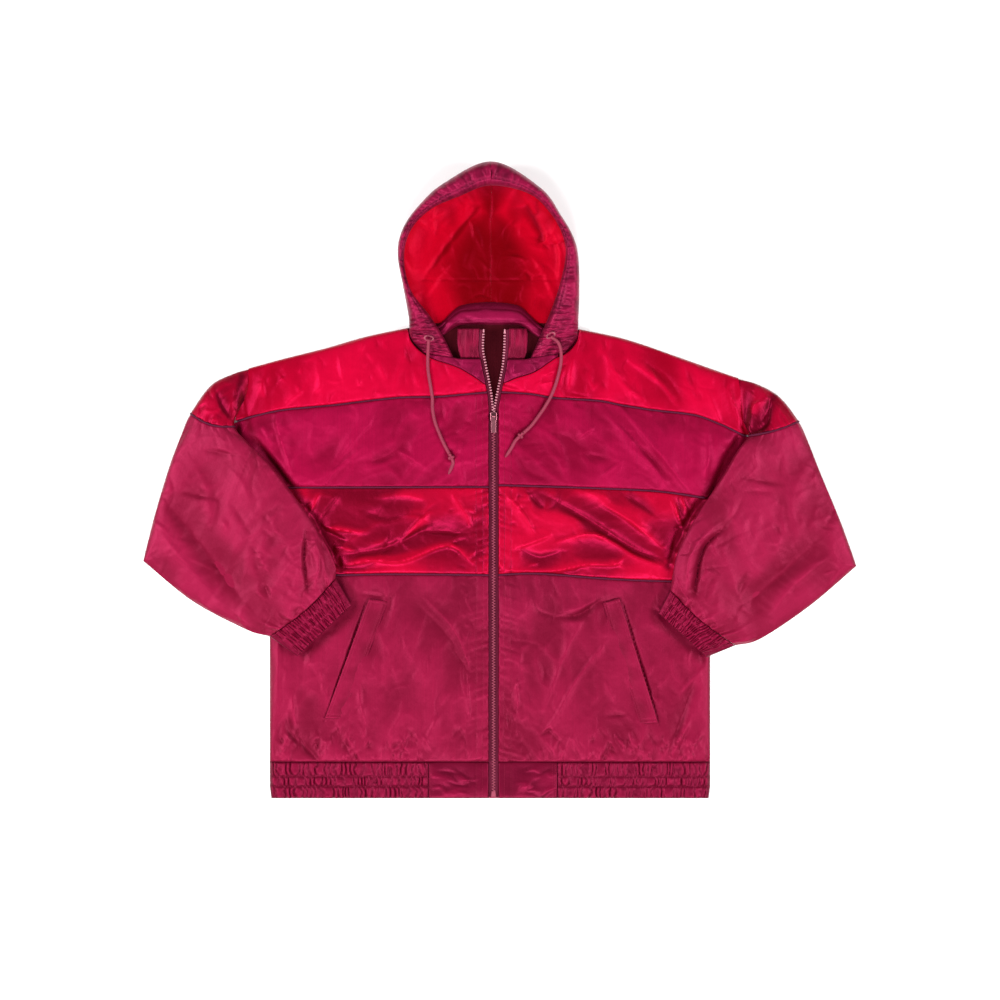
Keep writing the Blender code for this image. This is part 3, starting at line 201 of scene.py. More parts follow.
LEFT = Half(
    name="left", sign=-1.0,
    body_edge=((0, 311), (20, 313), (417, 313), (445, 325), (480, 345), (515, 357), (545, 351),
               (566, 343), (602, 342)),
    shoulder=((120, 658), (177, 646), (233, 630), (300, 613), (342, 601.5)),
    neck_line=((0, 574), (13, 578.5), (22, 585), (51, 602), (87, 614.5), (98.5, 621.5),
               (116.7, 641), (120, 658)),
    neck_seam=((0, 614.6), (22, 614.6), (48, 615), (56, 616.4), (75, 619.6), (92, 622.2)),
    collar_side=((615, 46), (625, 49), (640, 51), (657, 51)),
    seams={
        "yoke": ((0, 568.6), (48, 564.2), (85, 561.4), (120, 561), (174, 556), (221, 550.2),
                 (295, 543), (333, 535), (360, 527)),
        "chest": ((0, 435.4), (130, 435), (268, 434.6), (330, 433)),
        "band": ((0, 312.2), (145, 313.6), (218, 312.2), (320, 311)),
    },
    zip_opening=((0, 0.15), (542, 0.15), (559, 1.2), (580, 4.6), (605, 9.6), (631, 13.8), (656, 12.6)),
    sleeve=stations(
        SleeveStation, (343.0, 600, 344.8, 567, 10, 0, 0.0), (364, 593.5, 349, 556, 15, 0, 0.2),
        (395.6, 577, 355.5, 543, 18, -3, 0.6), (423.6, 538, 361.5, 520, 20, -7, 1.0),
        (437, 507, 340, 494, 22, 0, 1.0), (453, 464.8, 305, 458, 23, 0, 1.0),
        (474, 394.8, 268, 409, 24, 0, 1.0), (490, 331.8, 247, 376.6, 23, 0, 1.0),
        (421, 275.8, 230.4, 348.6, 21, 0, 1.0), (346.6, 236.6, 220.6, 324.8, 19, -4, 1.0),
        (313, 226.8, 220.5, 308.5, 15, -6, 1.0)),
    cuff_edge=(273.8, 198.8, 198.2, 270.2),
    rim=stations(
        RimStation, (97.4, 623.0, 56, 616.6, 9, 8), (115.6, 644, 69.4, 644, 11, 13),
        (118.4, 672, 89, 674.8, 17, 17), (125.4, 711, 115.6, 711, 27, 14),
        (133.8, 760, 124.6, 757.4, 31, 13), (126.8, 795, 114.2, 795, 32, 14), (103, 829, 86.2, 823, 34, 15),
        (68, 859.6, 48.4, 840, 36, 17), (-HOOD_CENTRE + 0.15, HOOD_TOP, -HOOD_CENTRE + 0.15, 855.4, 38, 18)),
    waist_end=91.0,
    welt=((174.4, 279), (147.8, 276), (209, 111), (236, 112)),
    cord=((90.4, 641, 5.5), (91.2, 630, 4.2), (91.8, 616, 2.4), (91.8, 603, 0.9), (90, 586, 0.9),
          (86.2, 568, 1.1), (85.4, 553, 0.9), (84.8, 539, 0.9), (80.5, 522, 0.9), (74, 506, 0.9),
          (68, 493, 0.9), (62.4, 482.5, 0.9)),
    cord_tip=((56.4, 469.5), (59, 462), (63, 453)),
    large_folds=creases(
        (325, 508, 266, 430, 12, 4.5), (190, 640, 205, 585, 14, 2.0), (290, 600, 280, 565, 12, 2.2),
        (240, 540, 170, 470, 16, 2.2), (215, 420, 90, 380, 16, 3.0), (180, 345, 60, 400, 16, 2.4),
        (240, 370, 150, 330, 12, -1.6), (290, 190, 275, 90, 14, 2.0), (120, 240, 90, 120, 20, 1.8)),
    large_sleeve_folds=creases(
        (258, 372, 256, 300, 7, -4.0), (246, 368, 244, 318, 8, 2.5), (337, 360, 316, 300, 9, -3.2),
        (440, 405, 352, 292, 22, -4.5), (400, 480, 350, 430, 22, 2.5)),
    yoke_creases=creases(
        (216, 620, 214, 604, 211, 587, 5, 1.6), (159, 612, 155, 598, 149, 584, 6, 1.4),
        (291, 549, 279, 561, 265, 570, 5, 1.2), (324, 585, 322, 572, 319, 560, 6, 2.0),
        (124, 634, 120, 620, 114, 606, 6, -1.6), (110, 596, 106, 584, 103, 574, 5, 1.0),
        (248, 606, 243, 584, 252, 566, 8, 1.0), (185, 590, 192, 572, 5, 0.8)),
    chest_creases=creases(
        (181, 494, 214, 466, 242, 434, 5, 1.6), (169, 529, 196, 498, 218, 469, 6, 1.8),
        (306, 535, 295, 496, 281, 456, 7, 2.5), (138, 484, 158, 474, 180, 470, 10, -1.8),
        (324, 522, 310, 494, 4, 1.5), (73, 554, 69, 526, 6, -1.2), (124, 480, 106, 470, 89, 459, 8, 1.2),
        (61, 459, 48, 482, 33, 501, 7, 1.2), (250, 520, 256, 495, 250, 470, 10, 1.0)),
    band_creases=creases(
        (221, 322, 172, 333, 127, 332, 64, 354, 29, 329, 6, 3.2),
        (216, 339, 152, 350, 118, 365, 85, 382, 9, -3.0), (100, 372, 72, 373, 44, 370, 9, -3.0),
        (140, 349, 104, 387, 90, 400, 5, 2.2), (243, 381, 215, 376, 178, 371, 6, 2.6),
        (236, 371, 205, 361, 6, -2.4), (258, 396, 243, 426, 5, 2.0), (240, 393, 216, 423, 5, -2.0),
        (170, 420, 125, 424, 95, 418, 10, 2.0), (60, 430, 40, 400, 30, 380, 7, 1.6),
        (180, 400, 150, 392, 120, 400, 9, -1.8), (215, 352, 190, 345, 5, 1.6),
        (228, 330, 200, 321, 150, 322, 6, -1.8), (24, 345, 34, 338, 3, 1.0), (22, 372, 36, 366, 3, 1.0),
        (24, 400, 38, 404, 3, 1.0)),
    skirt_creases=creases(
        (97, 281, 53, 232, 33, 181, 3.5, 1.6), (105, 270, 62, 225, 42, 180, 7, -1.2),
        (142, 193, 134, 160, 8, 1.4), (100, 199, 95, 162, 8, 1.4),
        (288, 115, 284, 93, 256, 64, 247, 55, 8, -3.6), (281, 149, 277, 104, 6, 2.4),
        (189, 153, 185, 127, 178, 104, 7, 2.2), (221, 104, 214, 82, 198, 60, 6, -2.2),
        (73, 120, 89, 95, 95, 73, 6, 1.8), (185, 287, 145, 281, 4, -1.2), (120, 98, 112, 84, 4, -1.4),
        (100, 90, 88, 70, 4, 1.4), (130, 80, 118, 62, 4, 1.4), (36, 180, 33, 104, 3, 1.2),
        (160, 235, 150, 200, 155, 170, 10, 1.5), (60, 150, 75, 130, 5, 1.2), (250, 220, 262, 180, 10, 1.4),
        (300, 230, 303, 120, 8, 2.0)),
    sleeve_creases=creases(
        (262, 374, 265, 332, 259, 288, 3.2, -4.5), (250, 364, 243, 330, 249, 296, 9, 3.6),
        (337, 360, 312, 311, 3.5, 1.8), (321, 302, 312, 281, 4, -2.4),
        (453, 409, 405, 350, 347, 275, 20, -4.0), (466, 372, 420, 318, 380, 270, 16, 2.4),
        (389, 570, 380, 550, 366, 529, 7, -2.5), (404, 487, 355, 480, 5, -1.2),
        (439, 430, 383, 417, 8, -1.6), (376, 389, 372, 375, 4, 1.0),
        (300, 400, 330, 372, 348, 330, 14, 1.6), (420, 470, 400, 430, 395, 390, 16, 1.4),
        (350, 572, 349, 545, 342, 515, 9, -6.0)),
    under_arm=((350, 566), (346, 538), (334, 503), (301, 460), (264, 411), (242, 377), (226, 345),
               (214, 318)),
    cap_shadow_line=((352, 590), (356, 562), (352, 530)),
    lining_creases=creases(
        (19, 830, 58, 781, 95, 731, 7, -3.0), (60, 750, 80, 725, 92, 705, 6, 1.6),
        (30, 770, 42, 742, 9, 1.4)),
    under_cuff=((214, 312), (192, 268), (232, 228), (264, 199)),
    edge_shade=4.5,
)

RIGHT = Half(
    name="right", sign=1.0,
    body_edge=((0, 301), (20, 303), (417, 303), (445, 312), (480, 338), (508, 351), (530, 345.5),
               (560, 342), (590, 341)),
    shoulder=((120, 656), (177, 644), (257, 617.5), (337, 589.5), (342, 588)),
    neck_line=((0, 576), (17, 580.5), (30, 586), (55, 594), (87, 614.5), (101, 621), (117.5, 640),
               (120, 656)),
    neck_seam=((0, 613.2), (22, 613.6), (43, 614), (54, 616), (78, 620), (92, 621.8)),
    collar_side=((614, 43), (627, 47), (648, 48), (657, 46)),
    seams={
        "yoke": ((0, 568.6), (50, 565.6), (85, 560), (149, 555.8), (177, 550.2), (222, 543.2),
                 (281, 536), (316, 523.6), (351, 507)),
        "chest": ((0, 438.2), (132, 434), (223, 429.8), (297, 420), (320, 416)),
        "band": ((0, 312.2), (51, 314.4), (145, 308), (194, 305.2), (310, 302)),
    },
    zip_opening=((0, 0.15), (542, 0.15), (559, 2.6), (582, 7.2), (609, 12.2), (631, 13.9), (656, 14.6)),
    sleeve=stations(
        SleeveStation, (342.6, 586.5, 347.5, 531, 10, 0, 0.0), (370, 578.5, 350.5, 524, 17, 0, 0.2),
        (400, 561, 353.5, 516, 19, 0, 0.6), (426.5, 527, 356.5, 507, 21, -3, 1.0),
        (440, 498, 340, 485, 22, 0, 1.0), (457, 455, 313, 440, 23, 0, 1.0),
        (486.4, 383.6, 281, 391, 24, 0, 1.0), (507.4, 324.8, 263, 358, 23, 0, 1.0),
        (441.6, 268.8, 254, 334, 21, 0, 1.0), (373, 223, 249.5, 309, 19, -4, 1.0),
        (338, 214, 247, 291.2, 15, -5, 1.0)),
    cuff_edge=(297.4, 197.4, 230.2, 259),
    rim=stations(
        RimStation, (100, 623.4, 52, 615.9, 9, 8), (116.4, 645.4, 62.2, 640, 11, 13),
        (118.6, 672, 76.2, 672, 17, 17), (119.6, 711, 90.2, 711, 27, 14), (118.2, 756, 100, 753, 31, 13),
        (111.2, 784, 97.8, 781, 32, 14), (94.4, 813.4, 82, 813, 34, 15), (65, 852.6, 51, 843, 36, 17),
        (HOOD_CENTRE + 0.15, HOOD_TOP, HOOD_CENTRE + 0.15, 855.4, 38, 18)),
    waist_end=89.0,
    welt=((153, 273), (176, 280), (230, 106), (204, 104)),
    cord=((80, 645, 5.5), (89.5, 638, 4.4), (93.8, 626, 3.0), (94.4, 612, 1.0), (91.6, 596, 0.9),
          (87.5, 581, 0.9), (83.2, 569, 1.1), (77, 556, 0.9), (69.2, 543.5, 0.9), (61, 532, 0.9),
          (52.4, 520.8, 0.9), (42.5, 511.5, 0.9)),
    cord_tip=((30.5, 500), (25, 490), (16.5, 477)),
    large_folds=creases(
        (318, 500, 286, 452, 12, 4.5), (200, 625, 232, 560, 14, 2.2), (300, 590, 318, 545, 11, 2.4),
        (210, 540, 275, 440, 14, 2.6), (160, 535, 245, 440, 14, 2.0), (240, 400, 120, 375, 16, 3.0),
        (210, 330, 80, 395, 16, 2.4), (240, 350, 160, 345, 12, -1.6), (275, 190, 262, 90, 14, 2.0),
        (110, 240, 80, 120, 20, 1.8)),
    large_sleeve_folds=creases(
        (292, 356, 281, 292, 7, -4.0), (274, 350, 268, 305, 8, 2.5), (318, 388, 292, 350, 9, -2.6),
        (450, 354, 360, 268, 22, -4.5), (392, 556, 358, 512, 8, -5.0), (400, 470, 370, 420, 22, 2.5)),
    yoke_creases=creases(
        (155, 624, 181, 581, 211, 557, 6, 2.0), (184, 616, 232, 581, 254, 552, 7, 2.2),
        (210, 612, 240, 590, 262, 560, 9, -1.6), (328, 575, 338, 545, 345, 519, 5, 2.4),
        (300, 570, 312, 540, 318, 520, 6, 1.8), (270, 600, 282, 570, 8, -1.6), (98, 600, 92, 575, 5, 1.8),
        (70, 592, 84, 596, 4, 1.4), (66, 580, 82, 582, 4, 1.4), (110, 612, 104, 570, 5, 2.2),
        (132, 600, 140, 570, 6, 1.2)),
    chest_creases=creases(
        (157, 538, 205, 487, 243, 437, 6, 2.0), (173, 552, 232, 482, 275, 428, 7, 2.4),
        (299, 519, 300, 480, 296, 442, 9, 2.2), (117, 503, 141, 519, 5, 1.4), (128, 482, 158, 476, 6, -1.6),
        (190, 500, 225, 470, 250, 440, 8, -1.6), (60, 520, 90, 500, 100, 470, 7, 1.2),
        (30, 480, 50, 455, 80, 445, 8, -1.2), (150, 450, 175, 470, 5, 1.2)),
    band_creases=creases(
        (17, 426, 40, 400, 59, 367, 6, 2.6), (47, 431, 60, 415, 70, 405, 8, -2.4),
        (91, 360, 133, 370, 164, 360, 196, 340, 241, 322, 6, 3.0), (28, 349, 59, 360, 78, 367, 6, 2.4),
        (36, 349, 64, 337, 96, 345, 10, -3.0), (15, 318, 84, 318, 129, 327, 169, 327, 182, 336, 5, 2.4),
        (70, 425, 133, 389, 196, 349, 236, 333, 9, -2.8), (151, 412, 190, 389, 236, 351, 6, 2.6),
        (116, 430, 150, 424, 165, 414, 8, 1.8), (247, 419, 267, 372, 4, 2.0), (262, 425, 272, 395, 4, 1.8),
        (257, 420, 262, 390, 4, -2.0), (75, 400, 110, 392, 130, 380, 12, 1.6),
        (180, 425, 205, 410, 225, 395, 7, -1.8)),
    skirt_creases=creases(
        (90, 254, 115, 256, 132, 265, 153, 280, 5, -3.0), (95, 262, 120, 266, 138, 275, 6, 1.6),
        (100, 246, 125, 247, 6, 1.4), (149, 273, 173, 279, 3.5, -1.4), (57, 275, 64, 262, 89, 254, 3, -1.4),
        (158, 222, 128, 183, 108, 155, 85, 112, 64, 89, 4, 2.0), (124, 248, 98, 198, 70, 123, 5, 1.6),
        (64, 88, 83, 97, 4, -1.8), (156, 164, 171, 134, 4, 1.4), (158, 115, 185, 117, 4, -1.6),
        (282, 168, 265, 120, 248, 70, 10, -3.4), (290, 180, 262, 150, 7, 2.2),
        (275, 110, 262, 85, 250, 62, 6, 2.4), (19, 123, 21, 100, 3, -1.4), (31, 168, 36, 130, 4, 1.4),
        (72, 82, 85, 62, 4, 1.4), (75, 98, 95, 78, 4, -1.4), (110, 90, 100, 65, 4, 1.4),
        (190, 95, 205, 62, 5, 1.6), (215, 92, 235, 65, 5, -1.8), (225, 260, 240, 235, 7, 1.6)),
    sleeve_creases=creases(
        (325, 381, 293, 348, 283, 300, 280, 284, 3.4, -4.6), (306, 380, 277, 345, 268, 300, 9, 3.2),
        (446, 354, 401, 314, 355, 273, 16, -4.0), (352, 575, 350, 545, 352, 512, 9, -6.0),
        (358, 319, 342, 284, 5, -2.0), (345, 449, 401, 438, 6, -1.6), (352, 431, 387, 428, 5, -1.2),
        (390, 386, 401, 368, 5, -1.4), (387, 562, 382, 525, 360, 509, 6, -3.0),
        (372, 556, 363, 549, 360, 536, 5, 2.0), (330, 420, 350, 380, 360, 340, 14, 1.6),
        (440, 470, 420, 430, 415, 390, 16, 1.4), (470, 340, 420, 300, 390, 262, 9, 2.0)),
    under_arm=((354, 575), (351, 545), (346, 514), (331, 482), (307, 442), (276, 394), (257, 358),
               (245, 326)),
    cap_shadow_line=((402, 574), (378, 542), (352, 500)),
    lining_creases=creases(
        (45, 833, 62, 800, 75, 770, 7, -2.5), (52, 760, 70, 735, 84, 700, 6, 2.0),
        (40, 750, 55, 715, 7, -1.6), (84, 790, 92, 760, 90, 720, 5, 1.6)),
    under_cuff=((240, 296), (223, 257), (262, 220), (292, 194)),
    edge_shade=8.0,
)

HALVES = (LEFT, RIGHT)


# ---------------------------------------------------------------- curves and heights

Array = np.ndarray


def smooth_step(x: Array) -> Array:
    """Rise from 0 to 1 with level ends."""
    x = np.clip(x, 0.0, 1.0)
    return x * x * (3.0 - 2.0 * x)


def rounded(distance: Array, reach: float) -> Array:
    """Rise from 0 to 1 over a reach like the quarter of a circle."""
    x = np.clip(np.asarray(distance) / reach, 0.0, 1.0)
    return np.sqrt(1.0 - (1.0 - x) ** 2)


def bell(distance: Array, width: float) -> Array:
    """Return 1 on a line and 0 well beside it."""
    return np.exp(-(distance / width) ** 2)


def grooves(distance: Array, lines: Sequence, depth: float, width: float) -> Array:
    """Return how deep rows of stitches press into the cloth."""
    return depth * sum(bell(distance - line, width) for line in lines)


def nearest_of(*distances: Array) -> Array:
    """Return the least of several distances at each point."""
    return reduce(np.minimum, distances)


def through(rows: Sequence, x: Array) -> Array:
    """Read a smooth curve through a table's rows.

    Args:
        rows: Rows of x, in rising order, and the curve's value.
        x: Where to read the curve.

    Returns:
        The curve's values at x, level beyond both ends.
    """
    xs, ys = np.array(rows, float).T
    slopes = np.diff(ys) / np.diff(xs)
    before, after = slopes[:-1], slopes[1:]
    same_way = before * after > 0
    total = np.where(same_way, before + after, 1.0)
    inner = np.where(same_way, 2.0 * before * after / total, 0.0)
    tangent = np.concatenate((slopes[:1], inner, slopes[-1:]))
    x = np.clip(np.asarray(x, float), xs[0], xs[-1])
    k = np.clip(np.searchsorted(xs, x, side="right") - 1, 0, len(xs) - 2)
    width = xs[k + 1] - xs[k]
    t = (x - xs[k]) / width
    start = (2 * t ** 3 - 3 * t ** 2 + 1) * ys[k] + (t ** 3 - 2 * t ** 2 + t) * width * tangent[k]
    end = (3 * t ** 2 - 2 * t ** 3) * ys[k + 1] + (t ** 3 - t ** 2) * width * tangent[k + 1]
    return start + end


def along(points: Sequence, s: Array, corner: int = -1) -> Array:
    """Read a smooth path through equally spaced points.

    Args:
        points: The path's points, of any dimension.
        s: Places on the path, 0 at the first point and 1 more at each next one.
        corner: The number of a point where the path is sharp, if any.

    Returns:
        One row for each place.
    """
    points = np.asarray(points, float)
    s = np.atleast_1d(np.asarray(s, float))
    last = len(points) - 1
    k = np.minimum(s.astype(int), last - 1)
    t = (s - k)[:, None]
    a, b = points[k], points[k + 1]
    has_before = ((k > 0) & (k != corner))[:, None]
    has_after = ((k + 2 <= last) & (k + 1 != corner))[:, None]
    before = np.where(has_before, points[np.maximum(k - 1, 0)], 2 * a - b)
    after = np.where(has_after, points[np.minimum(k + 2, last)], 2 * b - a)
    return 0.5 * (2 * a + (b - before) * t + (2 * before - 5 * a + 4 * b - after) * t ** 2
                  + (3 * a - before - 3 * b + after) * t ** 3)


def resampled(points: Sequence, count: int) -> Array:
    """Return a number of places along the smooth path through some points."""
    return along(points, np.linspace(0.0, len(points) - 1, count))


def travelled(path: Array) -> Array:
    """Return how far along a path each of its points lies."""
    return np.concatenate(((0.0,), np.cumsum(np.linalg.norm(np.diff(path, axis=0), axis=1))))


def unit(ways: Array) -> Array:
    """Return directions of length one."""
    return ways / np.maximum(np.linalg.norm(ways, axis=-1, keepdims=True), 1e-6)


def evenly(path: Array, spots: Callable) -> Array:
    """Return points of a path at distances that a function picks for its length.

    Args:
        path: The path's points.
        spots: Gives rising distances for the path's length.

    Returns:
        One point for each distance.
    """
    length = travelled(path)
    even = spots(length[-1])
    return np.stack([np.interp(even, length, column) for column in path.T], axis=-1)


def value_noise(out: Array, up: Array, size: float, seed: int) -> Array:
    """Return soft, repeatable noise between about -1 and 1 with lumps of a given size.

    Args:
        out: Places along one way.
        up: Places along the other way.
        size: The size of the lumps.
        seed: Which pattern it is.

    Returns:
        Values from -1 to 1.
    """
    table = np.random.default_rng(seed).random((NOISE_CELLS + 1, NOISE_CELLS + 1)) * 2.0 - 1.0
    x, y = out / size + NOISE_START, up / size + NOISE_START
    i, j = np.floor(x).astype(int), np.floor(y).astype(int)
    fx, fy = smooth_step(x - i), smooth_step(y - j)
    i, j = i % NOISE_CELLS, j % NOISE_CELLS
    low = table[i, j] * (1 - fx) + table[i + 1, j] * fx
    high = table[i, j + 1] * (1 - fx) + table[i + 1, j + 1] * fx
    return low * (1 - fy) + high * fy


def crumple(out: Array, up: Array, size: float, stretch: float, direction: float, seed: int) -> Array:
    """Return a net of sharp crests between soft hollows, drawn out in one direction.

    Args:
        out: Distances from the zip.
        up: Distances from the hem.
        size: The hollows' width in millimetres.
        stretch: How many times longer than wide they are.
        direction: The way they run, in degrees from straight out.
        seed: Which pattern it is.

    Returns:
        Heights from about -1 to 1.
    """
    turn = math.radians(direction)
    way = out * math.cos(turn) + up * math.sin(turn)
    side = up * math.cos(turn) - out * math.sin(turn)
    bent = side + 0.35 * size * value_noise(out, up, 3.1 * size, seed + 900)
    net = value_noise(way / stretch, bent, size, seed)
    return 1.0 - 2.0 * np.abs(net) ** 0.75


def swell(folds: Sequence[Crease], out: Array, up: Array) -> Array:
    """Add up the large soft folds that the solids have too.

    Args:
        folds: The folds, each along a straight line.
        out: Distances from the zip.
        up: Distances from the hem.

    Returns:
        The height that the folds add at each point.
    """
    total = np.zeros(np.broadcast(out, up).shape)
    for fold in folds:
        start, end = (np.array(point, float) for point in fold.line)
        run = end - start
        x, y = out - start[0], up - start[1]
        t = np.clip((x * run[0] + y * run[1]) / (run @ run), 0.0, 1.0)
        distance = np.hypot(x - t * run[0], y - t * run[1])
        total += fold.height * bell(distance, fold.width)
    return total


def from_path(path: Array, x: Array, y: Array) -> tuple:
    """Measure how far points lie from a path.

    Args:
        path: The path's points.
        x: Distances from the zip.
        y: Distances from the hem.

    Returns:
        Distances, how far along the path the nearest spot lies, and on which side.
    """
    best = np.full(x.shape, 1e9)
    part = np.zeros(x.shape)
    flank = np.zeros(x.shape)
    for i, (a, b) in enumerate(zip(path, path[1:])):
        run = b - a
        t = np.clip(((x - a[0]) * run[0] + (y - a[1]) * run[1]) / (run @ run), 0.0, 1.0)
        dx, dy = x - a[0] - t * run[0], y - a[1] - t * run[1]
        distance = np.hypot(dx, dy)
        closer = distance < best
        best = np.where(closer, distance, best)
        part = np.where(closer, (i + t) / (len(path) - 1), part)
        flank = np.where(closer, np.sign(run[0] * dy - run[1] * dx), flank)
    return best, part, flank


def shadow(line: tuple, out: Array, up: Array, width: float) -> Array:
    """Return a soft dark stripe along a line, 1 on it and 0 well beside it."""
    return bell(from_path(resampled(line, 4 * len(line)), out, up)[0], width)


def crease_relief(creases: Sequence[Crease], out: Array, up: Array) -> Array:
    """Add up fine creases: a narrow crest on a soft base, steeper on one flank.

    Args:
        creases: The creases, each fading at both of its ends.
        out: Distances from the zip.
        up: Distances from the hem.

    Returns:
        The height that the creases add at each point.
    """
    total = np.zeros(out.shape)
    for number, crease in enumerate(creases):
        path = resampled(crease.line, CREASE_STEPS * (len(crease.line) - 1) + 1)
        reach = CREASE_REACH * crease.width
        near = ((out > path[:, 0].min() - reach) & (out < path[:, 0].max() + reach)
                & (up > path[:, 1].min() - reach) & (up < path[:, 1].max() + reach))
        if not near.any():
            continue
        x, y = out[near], up[near]
        best, part, flank = from_path(path, x, y)
        lean = CREASE_LEAN if number % 2 else -CREASE_LEAN
        taper = np.sin(np.pi * np.clip(part, 0.03, 0.97)) ** 0.6
        q = best / (crease.width * (1.0 + lean * flank) * (0.6 + 0.4 * taper))
        crest = np.exp(-(CREST_SHARPNESS * q) ** 2)
        total[near] += crease.height * taper * ((1 - CREST_SHARE) * np.exp(-q ** 2) + CREST_SHARE * crest)
    return total


class Grain(NamedTuple):
    """One layer of small relief: its height, its hollows' size and how far they are drawn out."""
    height: float
    size: float
    stretch: float = 1.0


class Region(NamedTuple):
    """Where and how small random creases are strewn."""
    out_range: tuple
    up_range: tuple
    count: int
    length: tuple
    width: tuple
    height: tuple
    direction: float
    spread: float
    seed: int


def strewn(*rows: tuple) -> list:
    """Make small curved creases of uneven length, depth and spacing, the same in each run.

    Args:
        *rows: The values of each region, in the order of its fields.

    Returns:
        The creases of all the regions.
    """
    return [crease for row in rows for crease in creases_in(Region(*row))]


def creases_in(region: Region) -> list:
    """Strew the creases of one region.

    Args:
        region: Where and how they lie.

    Returns:
        As many creases as the region counts.
    """
    dice = np.random.default_rng(region.seed)
    creases = []
    for _ in range(region.count):
        centre = np.array((dice.uniform(*region.out_range), dice.uniform(*region.up_range)))
        angle = math.radians(region.direction + dice.normal() * region.spread)
        length = dice.uniform(*region.length)
        way = np.array((math.cos(angle), math.sin(angle)))
        bend = np.array((-way[1], way[0])) * dice.normal() * 0.14 * length
        line = (tuple(centre - way * length / 2), tuple(centre + bend), tuple(centre + way * length / 2))
        height = dice.uniform(*region.height) * (1.0 if dice.random() < 0.6 else -1.0)
        creases.append(Crease(line, dice.uniform(*region.width), height))
    return creases


def zip_edge(half: Half, up: Array) -> Array:
    """Return how far a front panel's zip edge lies from the middle."""
    return through(half.zip_opening, up) + TAPE_WIDTH + TAPE_GAP


def plan_between(half: Half, row: Array, column: Array, start: Array, lower: Callable, upper: Callable,
                 side: Callable, rounds: int = 7) -> tuple:
    """Lay a grid of plan points between two seams, the zip and a side edge.

    Args:
        half: The half of the jacket.
        row: Fractions of the way from the lower seam to the upper one.
        column: Fractions of the way from the zip to the side edge.
        start: First guesses of the distances from the zip.
        lower: The lower seam as a function of out.
        upper: The upper seam.
        side: The side edge as a function of up.
        rounds: How often the guesses are bettered.

    Returns:
        The points' out and up, and how far up both seams lie there.
    """
    out = start
    for _ in range(rounds):
        low, high = lower(out), upper(out)
        up = low + (high - low) * row
        inner = zip_edge(half, up)
        out = inner + (side(up) - inner) * column
    return out, up, lower(out), upper(out)


def front_underside(half: Half, out: Array, up: Array) -> Array:
    """Return the height of the front's inside, which the collar props up at the neck.

    Args:
        half: The half of the jacket.
        out: Distances from the zip.
        up: Distances from the hem.

    Returns:
        Heights above the surface that the jacket lies on.
    """
    across = (half.sign * out - NECK_CENTRE[0]) / NECK_REACH[0]
    along_body = (up - NECK_CENTRE[1]) / NECK_REACH[1]
    near = np.maximum(0.0, 1.0 - across ** 2 - along_body ** 2)
    return BACK_WALL + SEAM_GAP + NECK_LIFT * near ** 2


def seam_distance(half: Half, out: Array, up: Array) -> Array:
    """Return the distance to the nearest seam across the front.

    Args:
        half: The half of the jacket.
        out: Distances from the zip.
        up: Distances from the hem.

    Returns:
        Distances in millimetres.
    """
    nearest = np.abs(up - WAISTBAND_DEPTH)
    for rows in half.seams.values():
        nearest = np.minimum(nearest, np.abs(up - through(rows, out)))
    return nearest


def side_distance(half: Half, out: Array, up: Array) -> Array:
    """Return the distance to the side seam or the shoulder.

    Args:
        half: The half of the jacket.
        out: Distances from the zip.
        up: Distances from the hem.

    Returns:
        Distances in millimetres.
    """
    edge = through(half.body_edge, up) - out
    edge = np.maximum(edge, ARMHOLE_JOIN * smooth_step((up - UNDER_ARM) / 20.0))
    over = through(half.shoulder, out) - up
    return np.where(out > half.shoulder[0][0], np.minimum(edge, over), edge)


def front_top(half: Half, out: Array, up: Array, share: float = 1.0) -> Array:
    """Return the height of the front's outside.

    Args:
        half: The half of the jacket.
        out: Distances from the zip.
        up: Distances from the hem.
        share: How much of the large folds is added.

    Returns:
        Heights above the surface that the jacket lies on.
    """
    side = rounded(side_distance(half, out, up), EDGE_ROLL)
    seam = rounded(seam_distance(half, out, up), SEAM_ROLL)
    puff = side * (SEAM_PUFF + (1 - SEAM_PUFF) * seam)
    relief = share * swell(half.large_folds, out, up) * seam * side
    thickness = np.maximum(PANEL_EDGE + PANEL_PUFF * puff + relief, PANEL_EDGE)
    return front_underside(half, out, up) + thickness


def rest_height(half: Half, out: Array, up: Array) -> Array:
    """Return the height on which a sleeve lies: the front, or the surface beside it.

    Args:
        half: The half of the jacket.
        out: Distances from the zip.
        up: Distances from the hem.

    Returns:
        Heights above the surface that the jacket lies on.
    """
    beyond = out - through(half.body_edge, up)
    edge_height = BACK_WALL + SEAM_GAP + PANEL_EDGE + REST_CLEARANCE
    over = np.maximum(front_top(half, out, up) + REST_CLEARANCE, edge_height)
    beside = edge_height * (1.0 - smooth_step((beyond - REST_SHELF) / REST_RAMP))
    return np.where(beyond <= 0, over, beside)


def place(sign: float, out: Array, up: Array, height: Array) -> Array:
    """Turn jacket measures into points in metres."""
    out, up, height = np.broadcast_arrays(out, up, height)
    return np.stack(((sign * out - BOX_CENTRE[0]) * MM, (up - BOX_CENTRE[1]) * MM, height * MM), axis=-1)


# ---------------------------------------------------------------- finishes

Socket = bpy.types.NodeSocket


class Weave(Enum):
    """How the threads of a cloth or cord lie."""
    RIB = "rib"
    SATIN = "satin"
    TAPE = "tape"
    BRAID = "braid"


WAVE_CYCLE = 0.31415927
CROSS_THREADS = {
    Weave.RIB: (0.7, "Y", 0.3),
    Weave.SATIN: (2.6, "DIAGONAL", 0.35),
    Weave.TAPE: (1.0, "Y", 0.5),
    Weave.BRAID: (1.0, "Y", 0.5),
}


